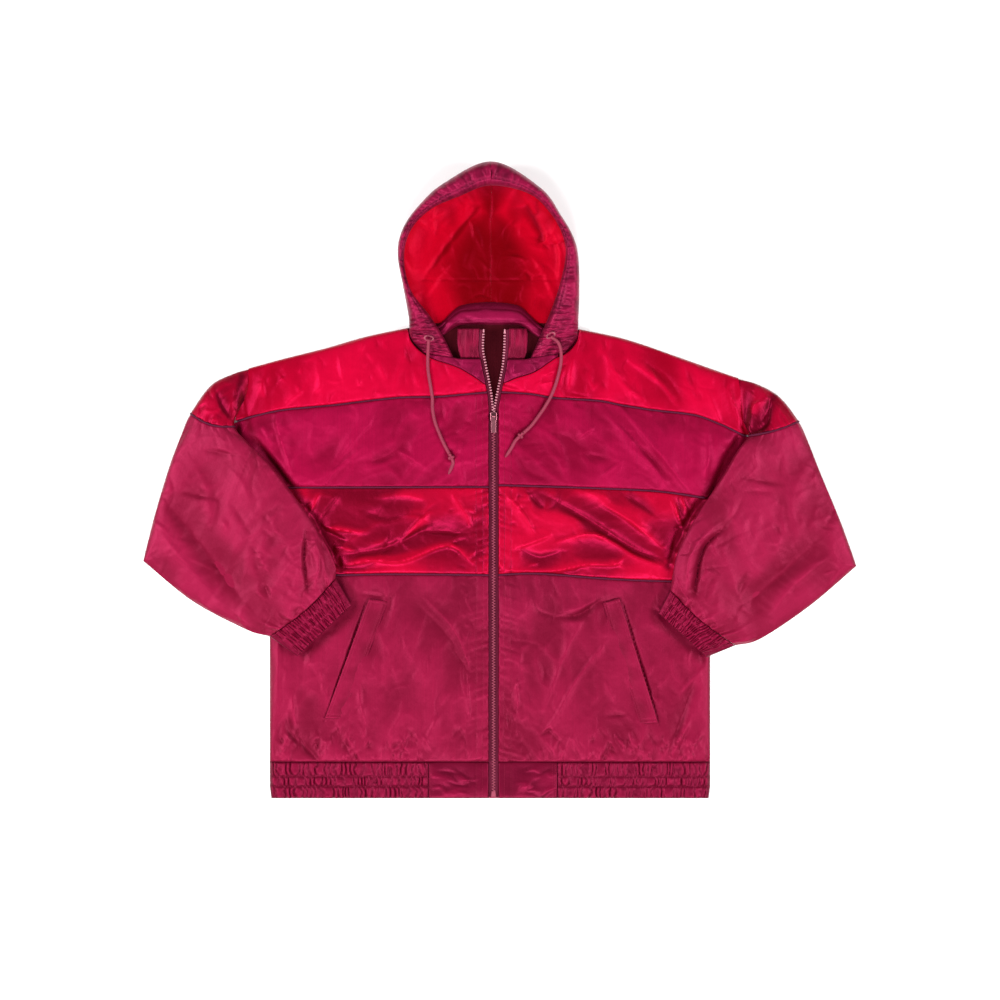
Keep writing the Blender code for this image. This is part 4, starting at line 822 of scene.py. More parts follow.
STREAK_SCALE = (420.0, 9.0, 1.0)
STREAK_SHARE = 0.6
STREAK_SPREAD = 2.2
MOTTLE_SCALE = 22.0
ROUGHNESS_SPREAD = 0.06
SHEEN_ROUGHNESS = 0.4
WEAR_SCALE = 900.0
BRUSHING_SCALE = (3000.0, 500.0, 500.0)
BRUSHING_DEPTH = 0.02


class Graph:
    """A material's node graph, built one named step at a time."""

    def __init__(self, name: str) -> None:
        """Start a material with a bare shader and its coordinates.

        Args:
            name: The material's name.
        """
        self.material = bpy.data.materials.new(name)
        self.material.use_nodes = True
        self.tree = self.material.node_tree
        self.shader = self.tree.nodes["Principled BSDF"]
        self.coordinates = self.tree.nodes.new("ShaderNodeTexCoord").outputs

    def add(self, kind: str, values: dict, links: dict, **settings: object) -> bpy.types.Node:
        """Add a node.

        Args:
            kind: The node's type.
            values: Constants for its sockets.
            links: What feeds its other sockets.
            **settings: Its other settings.

        Returns:
            The new node.
        """
        node = self.tree.nodes.new("ShaderNode" + kind)
        for key, value in settings.items():
            setattr(node, key, value)
        for key, value in values.items():
            node.inputs[key].default_value = value
        for key, source in links.items():
            self.tree.links.new(source, node.inputs[key])
        return node

    def mapped(self, output: str, scale: tuple, turn: float = 0.0) -> Socket:
        """Return coordinates that are scaled and turned."""
        values = {"Scale": scale, "Rotation": (0.0, 0.0, turn)}
        return self.add("Mapping", values, {"Vector": self.coordinates[output]}).outputs["Vector"]

    def noise(self, vector: Socket, scale: float, detail: float = 3.0) -> Socket:
        """Return soft noise over a vector."""
        return self.add("TexNoise", {"Scale": scale, "Detail": detail}, {"Vector": vector}).outputs["Fac"]

    def bands(self, vector: Socket, period: float, direction: str = "X") -> Socket:
        """Return even bands with a period in millimetres."""
        values = {"Scale": WAVE_CYCLE / (period * MM)}
        return self.add("TexWave", values, {"Vector": vector}, bands_direction=direction).outputs["Fac"]

    def sum_of(self, first: Socket, second: Socket, share: float) -> Socket:
        """Return one value mixed with a share of another."""
        return self.add("Mix", {0: share}, {2: first, 3: second}, data_type="FLOAT").outputs[0]

    def colours(self, value: Socket, stops: Sequence[tuple]) -> Socket:
        """Turn a value into a colour through rows of position and colour.

        Args:
            value: What picks the colour.
            stops: Rows of a position and a colour.

        Returns:
            The colour's socket.
        """
        node = self.add("ValToRGB", {}, {"Fac": value})
        while len(node.color_ramp.elements) < len(stops):
            node.color_ramp.elements.new(0.5)
        for element, (position, colour) in zip(node.color_ramp.elements, stops):
            element.position = position
            element.color = (*colour, 1.0)
        return node.outputs["Color"]

    def toward(self, colour: Socket, name: str, other: tuple) -> Socket:
        """Return a colour that turns to another by a value stored on the cloth.

        Args:
            colour: The colour at 0.
            name: The name of the stored value.
            other: The colour at 1, passed where the value is larger.

        Returns:
            The mixed colour's socket.
        """
        stored = self.add("Attribute", {}, {}, attribute_name=name).outputs["Fac"]
        # Unclamped, so painted shadow past 1 darkens beyond the shade colour.
        return self.add("Mix", {7: (*other, 1.0)}, {0: stored, 6: colour}, data_type="RGBA",
                        clamp_factor=False, clamp_result=True).outputs[2]

    def range_of(self, value: Socket, low: float, high: float) -> Socket:
        """Stretch a value from 0 to 1 between two ends."""
        return self.add("MapRange", {"To Min": low, "To Max": high}, {"Value": value}).outputs["Result"]

    def bump(self, height: Socket, distance: float, normal: Socket = None) -> Socket:
        """Return the normal of a relief whose depth is in millimetres."""
        links = {"Height": height, "Normal": normal} if normal else {"Height": height}
        return self.add("Bump", {"Distance": distance * MM}, links).outputs["Normal"]

    def feed(self, **sources: Socket) -> None:
        """Link the shader's colour, roughness and normal."""
        for key, source in sources.items():
            self.tree.links.new(source, self.shader.inputs[key.replace("_", " ")])


def scaled(colour: tuple, amount: float) -> tuple:
    """Return a lighter or darker colour."""
    return tuple(min(channel * amount, 1.0) for channel in colour)


@dataclass(frozen=True)
class ClothFinish:
    """A woven cloth: its dye, its lustre, its threads, the small crumple of its wear and its painted shade
    in folds and shadows.
    """
    name: str
    colour: tuple
    shine_colour: tuple
    roughness: float
    index: float
    weave: Weave
    rib: float = 1.1
    rib_depth: float = 0.05
    streaks: float = 0.12
    streak_depth: float = 0.1
    crumple: float = 14.0
    crumple_depth: float = 0.5
    sheen: float = 0.0
    sheen_colour: tuple = (1.0, 0.2, 0.4)
    painted_shade_share: tuple = (0.55, 0.35, 0.42)

    def make(self) -> bpy.types.Material:
        """Build the cloth's material.

        Returns:
            A material whose weave follows the cut and whose crumple follows the piece.
        """
        graph = Graph(self.name)
        streak = graph.noise(graph.mapped("UV", STREAK_SCALE), 1.0, 4.0)
        mottle = graph.noise(graph.coordinates["Object"], MOTTLE_SCALE, 5.0)
        shade = graph.sum_of(mottle, streak, STREAK_SHARE)
        low, high = 1.0 - STREAK_SPREAD * self.streaks, 1.0 + STREAK_SPREAD * self.streaks
        stops = ((0.25, scaled(self.colour, low)), (0.5, self.colour), (0.75, scaled(self.colour, high)))
        # Painted shade: the colour darkens toward this share of itself by the stored hollow value.
        hollow = tuple(channel * share for channel, share in zip(self.colour, self.painted_shade_share))
        colour = graph.toward(graph.colours(shade, stops), "hollow", hollow)
        rough = graph.range_of(mottle, self.roughness - ROUGHNESS_SPREAD,
                               self.roughness + ROUGHNESS_SPREAD)
        crumple = graph.noise(graph.coordinates["Object"], 1000.0 / self.crumple, 2.5)
        normal = graph.bump(crumple, self.crumple_depth)
        normal = graph.bump(streak, self.streak_depth, normal)
        turn = math.pi / 4 if self.weave in (Weave.TAPE, Weave.BRAID) else 0.0
        threads = graph.mapped("UV", (1.0, 1.0, 1.0), turn)
        across = graph.bands(threads, self.rib)
        period, direction, share = CROSS_THREADS[self.weave]
        height = graph.sum_of(across, graph.bands(threads, self.rib * period, direction), share)
        graph.feed(Base_Color=colour, Roughness=rough, Normal=graph.bump(height, self.rib_depth, normal))
        inputs = graph.shader.inputs
        inputs["IOR"].default_value = self.index
        inputs["Specular Tint"].default_value = (*self.shine_colour, 1.0)
        inputs["Sheen Weight"].default_value = self.sheen
        inputs["Sheen Tint"].default_value = (*self.sheen_colour, 1.0)
        inputs["Sheen Roughness"].default_value = SHEEN_ROUGHNESS
        return graph.material


@dataclass(frozen=True)
class MetalFinish:
    """A plated zip metal with fine brushing and small worn spots."""
    name: str
    colour: tuple
    roughness: float
    metallic: float = 1.0

    def make(self) -> bpy.types.Material:
        """Build the metal's material.

        Returns:
            A material with specks of wear over lengthwise brushing.
        """
        graph = Graph(self.name)
        wear = graph.noise(graph.coordinates["Object"], WEAR_SCALE, 4.0)
        brushing = graph.noise(graph.mapped("Object", BRUSHING_SCALE), 1.0, 2.0)
        stops = ((0.3, scaled(self.colour, 0.7)), (0.6, self.colour), (0.8, scaled(self.colour, 1.25)))
        graph.feed(Base_Color=graph.colours(wear, stops),
                   Roughness=graph.range_of(brushing, self.roughness - 0.08, self.roughness + 0.12),
                   Normal=graph.bump(brushing, BRUSHING_DEPTH))
        graph.shader.inputs["Metallic"].default_value = self.metallic
        return graph.material


SATIN = ClothFinish("red_satin_cloth", (0.335, 0.0006, 0.013), (1.0, 0.02, 0.16), 0.43, 2.0, Weave.SATIN,
                    rib=0.8, rib_depth=0.03, streaks=0.03, streak_depth=0.06, crumple=20.0,
                    crumple_depth=1.2, sheen=0.06, sheen_colour=(1.0, 0.02, 0.2),
                    painted_shade_share=(0.18, 0.2, 0.05))
YOKE_SATIN = replace(SATIN, name="red_yoke_satin", colour=(0.38, 0.0006, 0.018), roughness=0.42, index=1.7,
                     shine_colour=(1.0, 0.015, 0.16), crumple=18.0, crumple_depth=1.0,
                     painted_shade_share=(0.45, 0.3, 0.25))
# The yoke's satin made darker, as painted shade on the sleeve caps.
CAP_SATIN = replace(YOKE_SATIN, name="red_cap_satin", colour=(0.275, 0.0006, 0.014), roughness=0.40,
                    shine_colour=(1.0, 0.02, 0.16), sheen=0.0, painted_shade_share=(0.15, 0.2, 0.1))
LINING = replace(YOKE_SATIN, name="hood_lining_cloth", colour=(0.43, 0.0003, 0.010), roughness=0.44,
                 index=1.55, shine_colour=(1.0, 0.008, 0.09), rib=0.7, rib_depth=0.02, streak_depth=0.05,
                 sheen=0.0,
                 painted_shade_share=(0.24, 0.3, 0.02))
RIB_CLOTH = ClothFinish("maroon_rib_cloth", (0.215, 0.0014, 0.025), (1.0, 0.04, 0.22), 0.46, 1.6, Weave.RIB,
                        streaks=0.07, crumple_depth=0.6, sheen=0.08, sheen_colour=(1.0, 0.08, 0.28))
SLEEVE_CLOTH = replace(RIB_CLOTH, name="maroon_sleeve_cloth", colour=(0.195, 0.0042, 0.028),
                       shine_colour=(1.0, 0.09, 0.26), sheen=0.1, sheen_colour=(1.0, 0.14, 0.32))
SKIRT_CLOTH = ClothFinish("maroon_skirt_cloth", (0.170, 0.0034, 0.024), (1.0, 0.08, 0.24), 0.46, 1.6,
                          Weave.RIB, streaks=0.07, crumple=9.0, crumple_depth=0.5, sheen=0.1,
                          painted_shade_share=(0.48, 0.25, 0.36))
COLLAR_CLOTH = ClothFinish("maroon_collar_cloth", (0.14, 0.002, 0.018), (1.0, 0.07, 0.22), 0.46, 1.6,
                           Weave.RIB, rib=1.5, rib_depth=0.12, streaks=0.16, streak_depth=0.25, sheen=0.1,
                           painted_shade_share=(0.35, 0.2, 0.3))
CASING_CLOTH = ClothFinish("maroon_casing_cloth", (0.170, 0.0030, 0.027), (1.0, 0.07, 0.24), 0.42, 1.7,
                           Weave.RIB, streaks=0.05, crumple=5.0, crumple_depth=0.5, sheen=0.1,
                           painted_shade_share=(0.25, 0.2, 0.25))
GATHERED_CLOTH = replace(CASING_CLOTH, name="maroon_gathered_cloth", colour=(0.126, 0.0018, 0.017),
                         index=1.65, shine_colour=(1.0, 0.06, 0.22), crumple=6.0, crumple_depth=0.3,
                         sheen=0.06,
                         painted_shade_share=(0.36, 0.2, 0.3))
HOOD_CLOTH = replace(CASING_CLOTH, name="maroon_hood_cloth", colour=(0.155, 0.0022, 0.026), sheen=0.08,
                     shine_colour=(1.0, 0.06, 0.26), crumple=9.0, crumple_depth=0.4,
                     painted_shade_share=(0.4, 0.2, 0.3))
# The neck lining's wine colour, darkened almost to black as painted shade inside the open zip.
NECK_LINING_PAINTED_SHADE = ClothFinish("neck_lining_painted_shade_cloth", (0.022, 0.001, 0.002), (1.0, 0.1, 0.2), 0.7, 1.4, Weave.RIB)
PIPING = ClothFinish("plum_piping_cloth", (0.055, 0.005, 0.018), (0.8, 0.2, 0.4), 0.55, 1.45, Weave.TAPE,
                     rib=0.9, rib_depth=0.08, streaks=0.04, crumple=5.0, crumple_depth=0.15)
TAPE = ClothFinish("plum_tape_cloth", (0.080, 0.006, 0.019), (0.8, 0.2, 0.35), 0.6, 1.4, Weave.TAPE,
                   rib=0.8, rib_depth=0.1, streaks=0.06, crumple=5.0, crumple_depth=0.12)
CORD = ClothFinish("pink_braided_cord", (0.21, 0.024, 0.050), (1.0, 0.4, 0.5), 0.6, 1.5, Weave.BRAID,
                   rib=1.3, rib_depth=0.3, streaks=0.08, crumple=4.0, crumple_depth=0.15)
THREAD = ClothFinish("maroon_sewing_thread", (0.16, 0.005, 0.022), (1.0, 0.2, 0.4), 0.45, 1.5, Weave.BRAID,
                     rib=0.35, rib_depth=0.04, crumple=3.0, crumple_depth=0.05)
PINK_THREAD = replace(THREAD, name="pink_buttonhole_thread", colour=(0.40, 0.10, 0.14), index=1.6,
                      shine_colour=(1.0, 0.6, 0.7), rib_depth=0.05)
BRIGHT_METAL = MetalFinish("bright_zip_metal", (0.74, 0.30, 0.37), 0.34, 0.45)
SLIDER_METAL = MetalFinish("slider_metal", (0.26, 0.09, 0.115), 0.30)
PLUM_METAL = MetalFinish("plum_zip_teeth", (0.30, 0.045, 0.085), 0.40, 0.3)
MATERIALS: dict = {}


def finish_of(finish: "ClothFinish | MetalFinish") -> bpy.types.Material:
    """Return a finish's material, built the first time.

    Args:
        finish: A finish of cloth or metal.

    Returns:
        Its material.
    """
    if finish.name not in MATERIALS:
        MATERIALS[finish.name] = finish.make()
    return MATERIALS[finish.name]


# ---------------------------------------------------------------- sewing pieces together

def grid_faces(rows: int, columns: int, start: int = 0, wrap: bool = False) -> Array:
    """Return the four-sided faces of a grid of points whose rows may close on themselves.

    Args:
        rows: How many rows the grid has.
        columns: How many points a row has.
        start: The number of its first point.
        wrap: Whether its rows close on themselves.

    Returns:
        Rows of four point numbers.
    """
    i, j = np.meshgrid(np.arange(rows - 1), np.arange(columns if wrap else columns - 1), indexing="ij")
    k = (j + 1) % columns
    corners = (i * columns + j, (i + 1) * columns + j, (i + 1) * columns + k, i * columns + k)
    return np.stack(corners, axis=-1).reshape(-1, 4) + start


def finish_mesh(name: str, points: Array, faces: list, cut: Array, finish: ClothFinish,
                sharp: float = 50.0) -> bpy.types.Object:
    """Make a closed piece from points and faces, with its cut as UV map.

    Args:
        name: The piece's name.
        points: Points in metres.
        faces: Faces as lists of point numbers.
        cut: Each point's place on the flat cut, in metres.
        finish: The piece's finish.
        sharp: The angle past which an edge stays sharp, in degrees.

    Returns:
        The new object at the origin.
    """
    mesh = bpy.data.meshes.new(name)
    mesh.from_pydata(points.tolist(), [], faces)
    layer = mesh.uv_layers.new(name="cut")
    numbers = np.empty(len(mesh.loops), dtype=np.int32)
    mesh.loops.foreach_get("vertex_index", numbers)
    layer.data.foreach_set("uv", cut[numbers].astype(np.float32).ravel())
    bm = bmesh.new()
    bm.from_mesh(mesh)
    bmesh.ops.recalc_face_normals(bm, faces=bm.faces)
    bm.to_mesh(mesh)
    bm.free()
    mesh.shade_smooth()
    mesh.set_sharp_from_angle(angle=math.radians(sharp))
    piece = bpy.data.objects.new(name, mesh)
    bpy.context.scene.collection.objects.link(piece)
    mesh.materials.append(finish_of(finish))
    return piece


def sew_wall(name: str, top: Array, bottom: Array, cut: Array, finish: ClothFinish,
             flat: bool = False) -> bpy.types.Object:
    """Make a cloth wall between two equal grids of points.

    Args:
        name: The piece's name.
        top: The outside, as rows and columns of points in metres.
        bottom: The inside.
        cut: Each point's place on the flat cut.
        finish: The piece's finish.
        flat: Whether the inside is level and needs only its border.

    Returns:
        The new object.
    """
    rows, columns = top.shape[:2]
    number = np.arange(rows * columns).reshape(rows, columns)
    border = np.concatenate((number[0], number[1:, -1], number[-1, -2::-1], number[-2:0:-1, 0]))
    under = border if flat else number.ravel()
    points = np.concatenate((top.reshape(-1, 3), bottom.reshape(-1, 3)[under]))
    places = cut.reshape(-1, 2)
    places = np.concatenate((places, places[under]))
    below = number.size + (np.arange(len(border)) if flat else border)
    faces = grid_faces(rows, columns).tolist()
    faces += [below.tolist()] if flat else grid_faces(rows, columns, number.size).tolist()
    faces += np.stack((border, np.roll(border, -1), np.roll(below, -1), below), axis=-1).tolist()
    return finish_mesh(name, points, faces, places, finish)


def sew_tube(name: str, outer: Array, inner: Array, cut: Array, finish: ClothFinish) -> bpy.types.Object:
    """Make an open tube of cloth from many outer rings and a few inner rings.

    Args:
        name: The piece's name.
        outer: Outer rings of points in metres.
        inner: Inner rings, with as many points each.
        cut: Each outer point's place on the flat cut.
        finish: The piece's finish.

    Returns:
        The new object.
    """
    rings, count = outer.shape[:2]
    hollow = inner.shape[0]
    start = rings * count
    points = np.concatenate((outer.reshape(-1, 3), inner.reshape(-1, 3)))
    picked = np.linspace(0, rings - 1, hollow).round().astype(int)
    places = np.concatenate((cut.reshape(-1, 2), cut[picked].reshape(-1, 2)))
    faces = grid_faces(rings, count, wrap=True).tolist()
    faces += grid_faces(hollow, count, start, wrap=True).tolist()
    a = np.arange(count)
    b = (a + 1) % count
    for outside, inside in ((0, start), ((rings - 1) * count, start + (hollow - 1) * count)):
        faces += np.stack((outside + a, outside + b, inside + b, inside + a), axis=-1).tolist()
    return finish_mesh(name, points, faces, places, finish)


def sew_roll(name: str, rings: Array, cut: Array, finish: ClothFinish) -> bpy.types.Object:
    """Make a closed roll from rings, with a cap at each end.

    Args:
        name: The piece's name.
        rings: Rings of points in metres.
        cut: Each point's place on the flat cut.
        finish: The piece's finish.

    Returns:
        The new object.
    """
    count = rings.shape[1]
    last = (rings.shape[0] - 1) * count
    faces = grid_faces(rings.shape[0], count, wrap=True).tolist()
    faces += [list(range(count)), list(range(last, last + count))]
    return finish_mesh(name, rings.reshape(-1, 3), faces, cut.reshape(-1, 2), finish)


def cord_rings(path: Array, radii: Array, around: int) -> tuple:
    """Return round rings along a path, without twist, and their places on the cut.

    Args:
        path: Points in millimetres.
        radii: The radius at each point.
        around: Points in a ring.

    Returns:
        The rings in the path's own measures, and rows of girth and length in metres.
    """
    way = unit(np.gradient(path, axis=0))
    side = unit(np.cross(way, (0.0, 0.0, 1.0)))
    over = np.cross(side, way)
    turn = np.linspace(0.0, 2 * np.pi, around, endpoint=False)
    ring = side[:, None] * np.cos(turn)[None, :, None] + over[:, None] * np.sin(turn)[None, :, None]
    rings = path[:, None] + ring * np.asarray(radii)[:, None, None]
    return rings, np.stack(np.meshgrid(turn * np.max(radii), travelled(path)), axis=-1) * MM


def paint_fold_shade(piece: bpy.types.Object, relief: Array, reach: float, deep: Array = 0.0) -> None:
    """Store painted shade for each point of the outside, dark in folds and light on crests, for the cloth's
    colour to follow.

    Args:
        piece: The cloth piece, whose outside points come first.
        relief: Heights over the plain cloth in millimetres.
        reach: The height from the middle shade to the full one.
        deep: Painted shadow that is there besides the folds, past 1 where it is darkest.
    """
    # Painted shade: low relief darkens, high relief lightens, and painted shadow darkens further; it is
    # stored under the name hollow.
    tone = np.maximum(0.5 - 0.5 * np.tanh(1.2 * relief / reach), deep)
    depth = np.full(len(piece.data.vertices), 0.5, dtype=np.float32)
    depth[:tone.size] = tone.ravel()
    piece.data.attributes.new("hollow", "FLOAT", "POINT").data.foreach_set("value", depth)


def to_metres(sign: float, rings: Array) -> Array:
    """Turn rows of out, up and height into points in metres."""
    return place(sign, rings[..., 0], rings[..., 1], rings[..., 2])


class Slot(Enum):
    """The material slots of the record."""
    SATIN = "red_satin"
    CLOTH = "maroon_cloth"
    PIPING = "plum_piping"
    TAPE = "zip_tape"
    LINING = "hood_lining_red"
    DARK = "neck_lining_wine"
    CORD = "drawcord_pink"
    METAL = "zip_metal"


def settle(piece: bpy.types.Object, slot: Slot, *nodes: str) -> None:
    """Tie a piece to the jacket and hide the solids that it stands for.

    Args:
        piece: The piece.
        slot: The record's slot; not used.
        *nodes: The solids that it replaces, if any.
    """
    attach(piece, BODY)
    if nodes:
        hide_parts(*nodes)
    LOG.info("%s: %d faces", piece.name, len(piece.data.polygons))


def declare_sheet(piece: bpy.types.Object, width: float, length: float, area: float,
                  rests_on: Sequence[str] = ()) -> None:
    """State the cut of a cloth piece, in millimetres and square millimetres.

    Args:
        piece: The cloth piece.
        width: The cut's width.
        length: The cut's length.
        area: The cut's area, at most width by length.
        rests_on: The solids or pieces below it; not used.
    """
    area = min(area, width * length)
    LOG.info("%s: cut %.0f by %.0f mm, %.0f square cm", piece.name, width, length, area / 100)


def sew_piping(half: Half, seam: str, path: Array, radii: Array, *rests_on: str) -> None:
    """Make the piping in one seam, which stands for the solid of the same name.

    Args:
        half: The half of the jacket.
        seam: The seam's name.
        path: The piping's centre line in millimetres.
        radii: Its radius at each point.
        *rests_on: The solids below it.
    """
    rings, cut = cord_rings(path, radii, PIPING_SIDES)
    name = "_".join(("piping", seam, half.name))
    piece = sew_roll("trim_" + name, to_metres(half.sign, rings), cut, PIPING)
    settle(piece, Slot.PIPING, name)
    length = float(travelled(path)[-1])
    declare_sheet(piece, PIPING_WIDTH, length, PIPING_WIDTH / 2 * length, rests_on)


def plan_area(out: Array, up: Array) -> float:
    """Return the flat area that a grid of plan points covers, in square millimetres.

    Args:
        out: Distances from the zip.
        up: Distances from the hem.

    Returns:
        The area of all the grid's quarters together.
    """
    across = np.stack((out[1:, 1:] - out[:-1, :-1], up[1:, 1:] - up[:-1, :-1]), axis=-1)
    other = np.stack((out[1:, :-1] - out[:-1, 1:], up[1:, :-1] - up[:-1, 1:]), axis=-1)
    return float(np.abs(across[..., 0] * other[..., 1] - across[..., 1] * other[..., 0]).sum() / 2)


@dataclass
class Cloth:
    """One cut piece of cloth: the solid that it stands for, its finish, the folds and shadows painted into
    its colour as shade, and what it lies on.
    """
    name: str
    node: str
    finish: ClothFinish
    slot: Slot
    rests_on: tuple = ()
    # relief, reach and deep are painted shade: dark in folds, light on crests, darker still under painted
    # shadow.
    relief: Array = None
    reach: float = 1.0
    deep: Array = 0.0

    def sew(self, sign: float, out: Array, up: Array, top: Array, bottom: Array, size: tuple = (),
            area: float = 0.0, fullness: float = 1.0, flat: bool = False) -> None:
        """Sew the piece between two heights over its plan, paint shade into its folds and state its cut.

        Args:
            sign: The half's sign.
            out: Distances from the zip.
            up: Distances from the hem.
            top: The outside's heights.
            bottom: The inside's heights.
            size: The cut's width and length where they aren't the plan's.
            area: The cut's area where it isn't the plan's.
            fullness: How much wider the weave runs than the plan.
            flat: Whether the inside is level.
        """
        cut = np.stack((out * fullness, up), axis=-1) * MM
        piece = sew_wall(self.name, place(sign, out, up, top), place(sign, out, up, bottom), cut,
                         self.finish, flat)
        if self.relief is not None:
            paint_fold_shade(piece, self.relief, self.reach, self.deep)
        settle(piece, self.slot, self.node)
        width, length = size or (float(np.ptp(out)), float(np.ptp(up)))
        declare_sheet(piece, width, length, area or plan_area(out, up), self.rests_on)


# ---------------------------------------------------------------- the body

def dense(length: float, spacing: float, fine_start: float = 0.0) -> Array:
    """Return fractions of a length that are close together near both ends.

    Args:
        length: The length in millimetres.
        spacing: The usual spacing.
        fine_start: How far a closer spacing reaches from the start.

    Returns:
        Rising fractions from 0 to 1.
    """
    ends = np.array(BORDER_STEPS)
    first = max(fine_start, BORDER_END)
    fine = np.arange(BORDER_END, first, FINE_SPACING)
    count = max(int((length - first - BORDER_END) / spacing), 2)
    middle = np.linspace(first, length - BORDER_END, count)
    spots = np.concatenate((ends, fine, middle, length - ends[::-1]))
    return np.clip(np.unique(spots.round(4)), 0.0, length) / length


def border_drop(distance: Array, depth: float, reach: float) -> Array:
    """Return how far a turned edge lies below the cloth beside it."""
    return depth * (1.0 - rounded(distance, reach))


@dataclass
class FrontHalf:
    """One half of the front: yoke, chest, band and skirt, and the piping between them."""
    half: Half
    spacing: float = 2.0
    piped_edge: float = 1.25
    neck_edge: float = 0.7
    seam_drop: float = 1.5
    seam_reach: float = 2.8
    side_drop: float = 2.6
    side_reach: float = 7.0
    crease_fade: float = 7.0
    side_fade: float = 14.0
    zip_fade: float = 10.0
    wave: Grain = Grain(1.15, 44.0)
    large_crumple: Grain = Grain(0.6, 23.0, 2.4)
    small_crumple: Grain = Grain(0.22, 11.0, 2.0)
    small_crumple_turn: float = 25.0
    grain: Grain = Grain(0.10, 6.0)
    pucker: Grain = Grain(0.8, 6.0)
    pucker_reach: float = 9.0
    zip_pucker: Grain = Grain(1.7, 4.2)
    zip_pucker_lean: float = 0.3
    zip_pucker_reach: float = 15.0
    pucker_squeeze: float = 0.16
    stitch_depth: float = 0.6
    stitch_width: float = 1.3
    stitch_level: float = 0.6
    stitch_wave: Grain = Grain(0.8, 3.3)
    least_wall: float = 1.2
    least_edge: float = 0.5
    swell_share: float = 0.6
    # Painted shade and painted shadows: fold shade, and shadow under the sleeve, beside the cuff, at the
    # side edges and over the shoulder's end.
    swell_painted_shade: float = 0.35
    fold_reach: float = 2.0
    shadow_width: float = 8.0
    cloth_shadow: float = 1.45
    satin_shadow: float = 0.95
    cuff_shadow: float = 0.7
    side_shadow: float = 0.9
    shoulder_shadow: float = 0.6
    shoulder_start: float = 290.0
    shoulder_reach: float = 55.0
    width_level: float = 450.0
    fine_zip_side: float = 34.0
    level_step: float = 0.001
    piping_points: int = 190
    piping_ends: tuple = (("yoke", 3.0), ("chest", -8.0), ("band", -8.0))
    piping_sink: tuple = (300.0, 40.0)
    piping_wave: Grain = Grain(0.12, 9.0)
    piping_girth: Grain = Grain(0.05, 12.0)
    armhole: tuple = ((405, 0.0), (425, 5.0), (450, 9.0), (475, 9.0), (500, 7.0), (560, 5.0), (585, 1.5),
                      (602, 0.6))

    def outer_edge(self, up: Array) -> Array:
        """Return the side edge, with the allowance that goes under the sleeve at the armhole."""
        return through(self.half.body_edge, up) + through(self.armhole, up)

    def seam(self, key: str, offset: float) -> Callable:
        """Return a seam across the front, moved up or down."""
        return lambda out: through(self.half.seams[key], out) + offset

    def yoke_top(self, out: Array) -> Array:
        """Return the yoke's upper edge: the shoulder, then the neck."""
        neck = through(self.half.neck_line, out) + self.neck_edge
        return np.where(out >= self.half.shoulder[0][0], through(self.half.shoulder, out), neck)

    def height(self, creases: Sequence[Crease], seed: int, out: Array, up: Array, life: float,
               direction: float, size: float) -> tuple:
        """Return the height of the cloth with its creases, puckers and crumple.

        Args:
            creases: The panel's creases.
            seed: Which crumple it has.
            out: Distances from the zip.
            up: Distances from the hem.
            life: How strong creases and crumple are.
            direction: The way the crumple runs, in degrees.
            size: How large the crumple's hollows are.

        Returns:
            Heights above the surface, and the folds alone.
        """
        half = self.half
        base = front_top(half, out, up, self.swell_share)
        seam = seam_distance(half, out, up)
        side = side_distance(half, out, up)
        from_zip = out - zip_edge(half, up)
        fade = (rounded(seam, self.crease_fade) * rounded(side, self.side_fade)
                * rounded(from_zip, self.zip_fade))
        large, small, squeeze = self.large_crumple, self.small_crumple, self.pucker_squeeze
        relief = crease_relief(creases, out, up)
        relief += self.wave.height * size * value_noise(out, up, self.wave.size * size, seed)
        relief += large.height * crumple(out, up, large.size * size, large.stretch, direction, seed + 1)
        relief += small.height / size * crumple(out, up, small.size * size, small.stretch,
                                                direction + self.small_crumple_turn, seed + 2)
        relief += self.grain.height * value_noise(out, up, self.grain.size, seed + 3)
        relief *= life * fade
        gathers = value_noise(out, squeeze * up, self.pucker.size, seed + 3)
        relief += self.pucker.height * np.exp(-seam / self.pucker_reach) * gathers
        gathers = value_noise(squeeze * out, up + self.zip_pucker_lean * out, self.zip_pucker.size, seed + 4)
        relief += self.zip_pucker.height * np.exp(-from_zip / self.zip_pucker_reach) * gathers
        wave = self.stitch_wave
        broken = self.stitch_level + wave.height * value_noise(out * 0.1, up, wave.size, seed + 6)
        relief -= broken * grooves(out, STITCH_LINES, self.stitch_depth, self.stitch_width)
        return np.maximum(base + relief, front_underside(half, out, up) + self.least_wall), relief

    def panel(self, key: str, lower: Callable, upper: Callable, creases: list, finish: ClothFinish,
              slot: Slot, seed: int, life: float, direction: float, size: float = 1.0) -> None:
        """Make one panel over its solid.

        Args:
            key: The panel's name without its side.
            lower: Its lower seam as a function of out.
            upper: Its upper seam.
            creases: Its creases.
            finish: Its finish.
            slot: The record's slot.
            seed: Which crumple it has.
            life: How strong its creases are.
            direction: The way its crumple runs, in degrees.
            size: How large the crumple's hollows are.
        """
        half = self.half
        width = float(through(half.body_edge, np.array(self.width_level)))
        samples = np.linspace(20, 300, 15)
        rows = dense(float(np.max(upper(samples) - lower(samples))), self.spacing)
        columns = dense(width, self.spacing, fine_start=self.fine_zip_side)
        row, column = np.meshgrid(rows, columns, indexing="ij")
        out, up, low, high = plan_between(half, row, column, 300.0 * column, lower, upper, self.outer_edge)
        top, relief = self.height(creases, seed, out, up, life, direction, size)
        top -= border_drop(np.minimum(up - low, high - up), self.seam_drop, self.seam_reach)
        top -= border_drop(out - zip_edge(half, up), *TURNED_EDGE)
        side = side_distance(half, out, up)
        top -= border_drop(side, self.side_drop, self.side_reach)
        bottom = front_underside(half, out, up)
        top = np.maximum(top, bottom + self.least_edge)
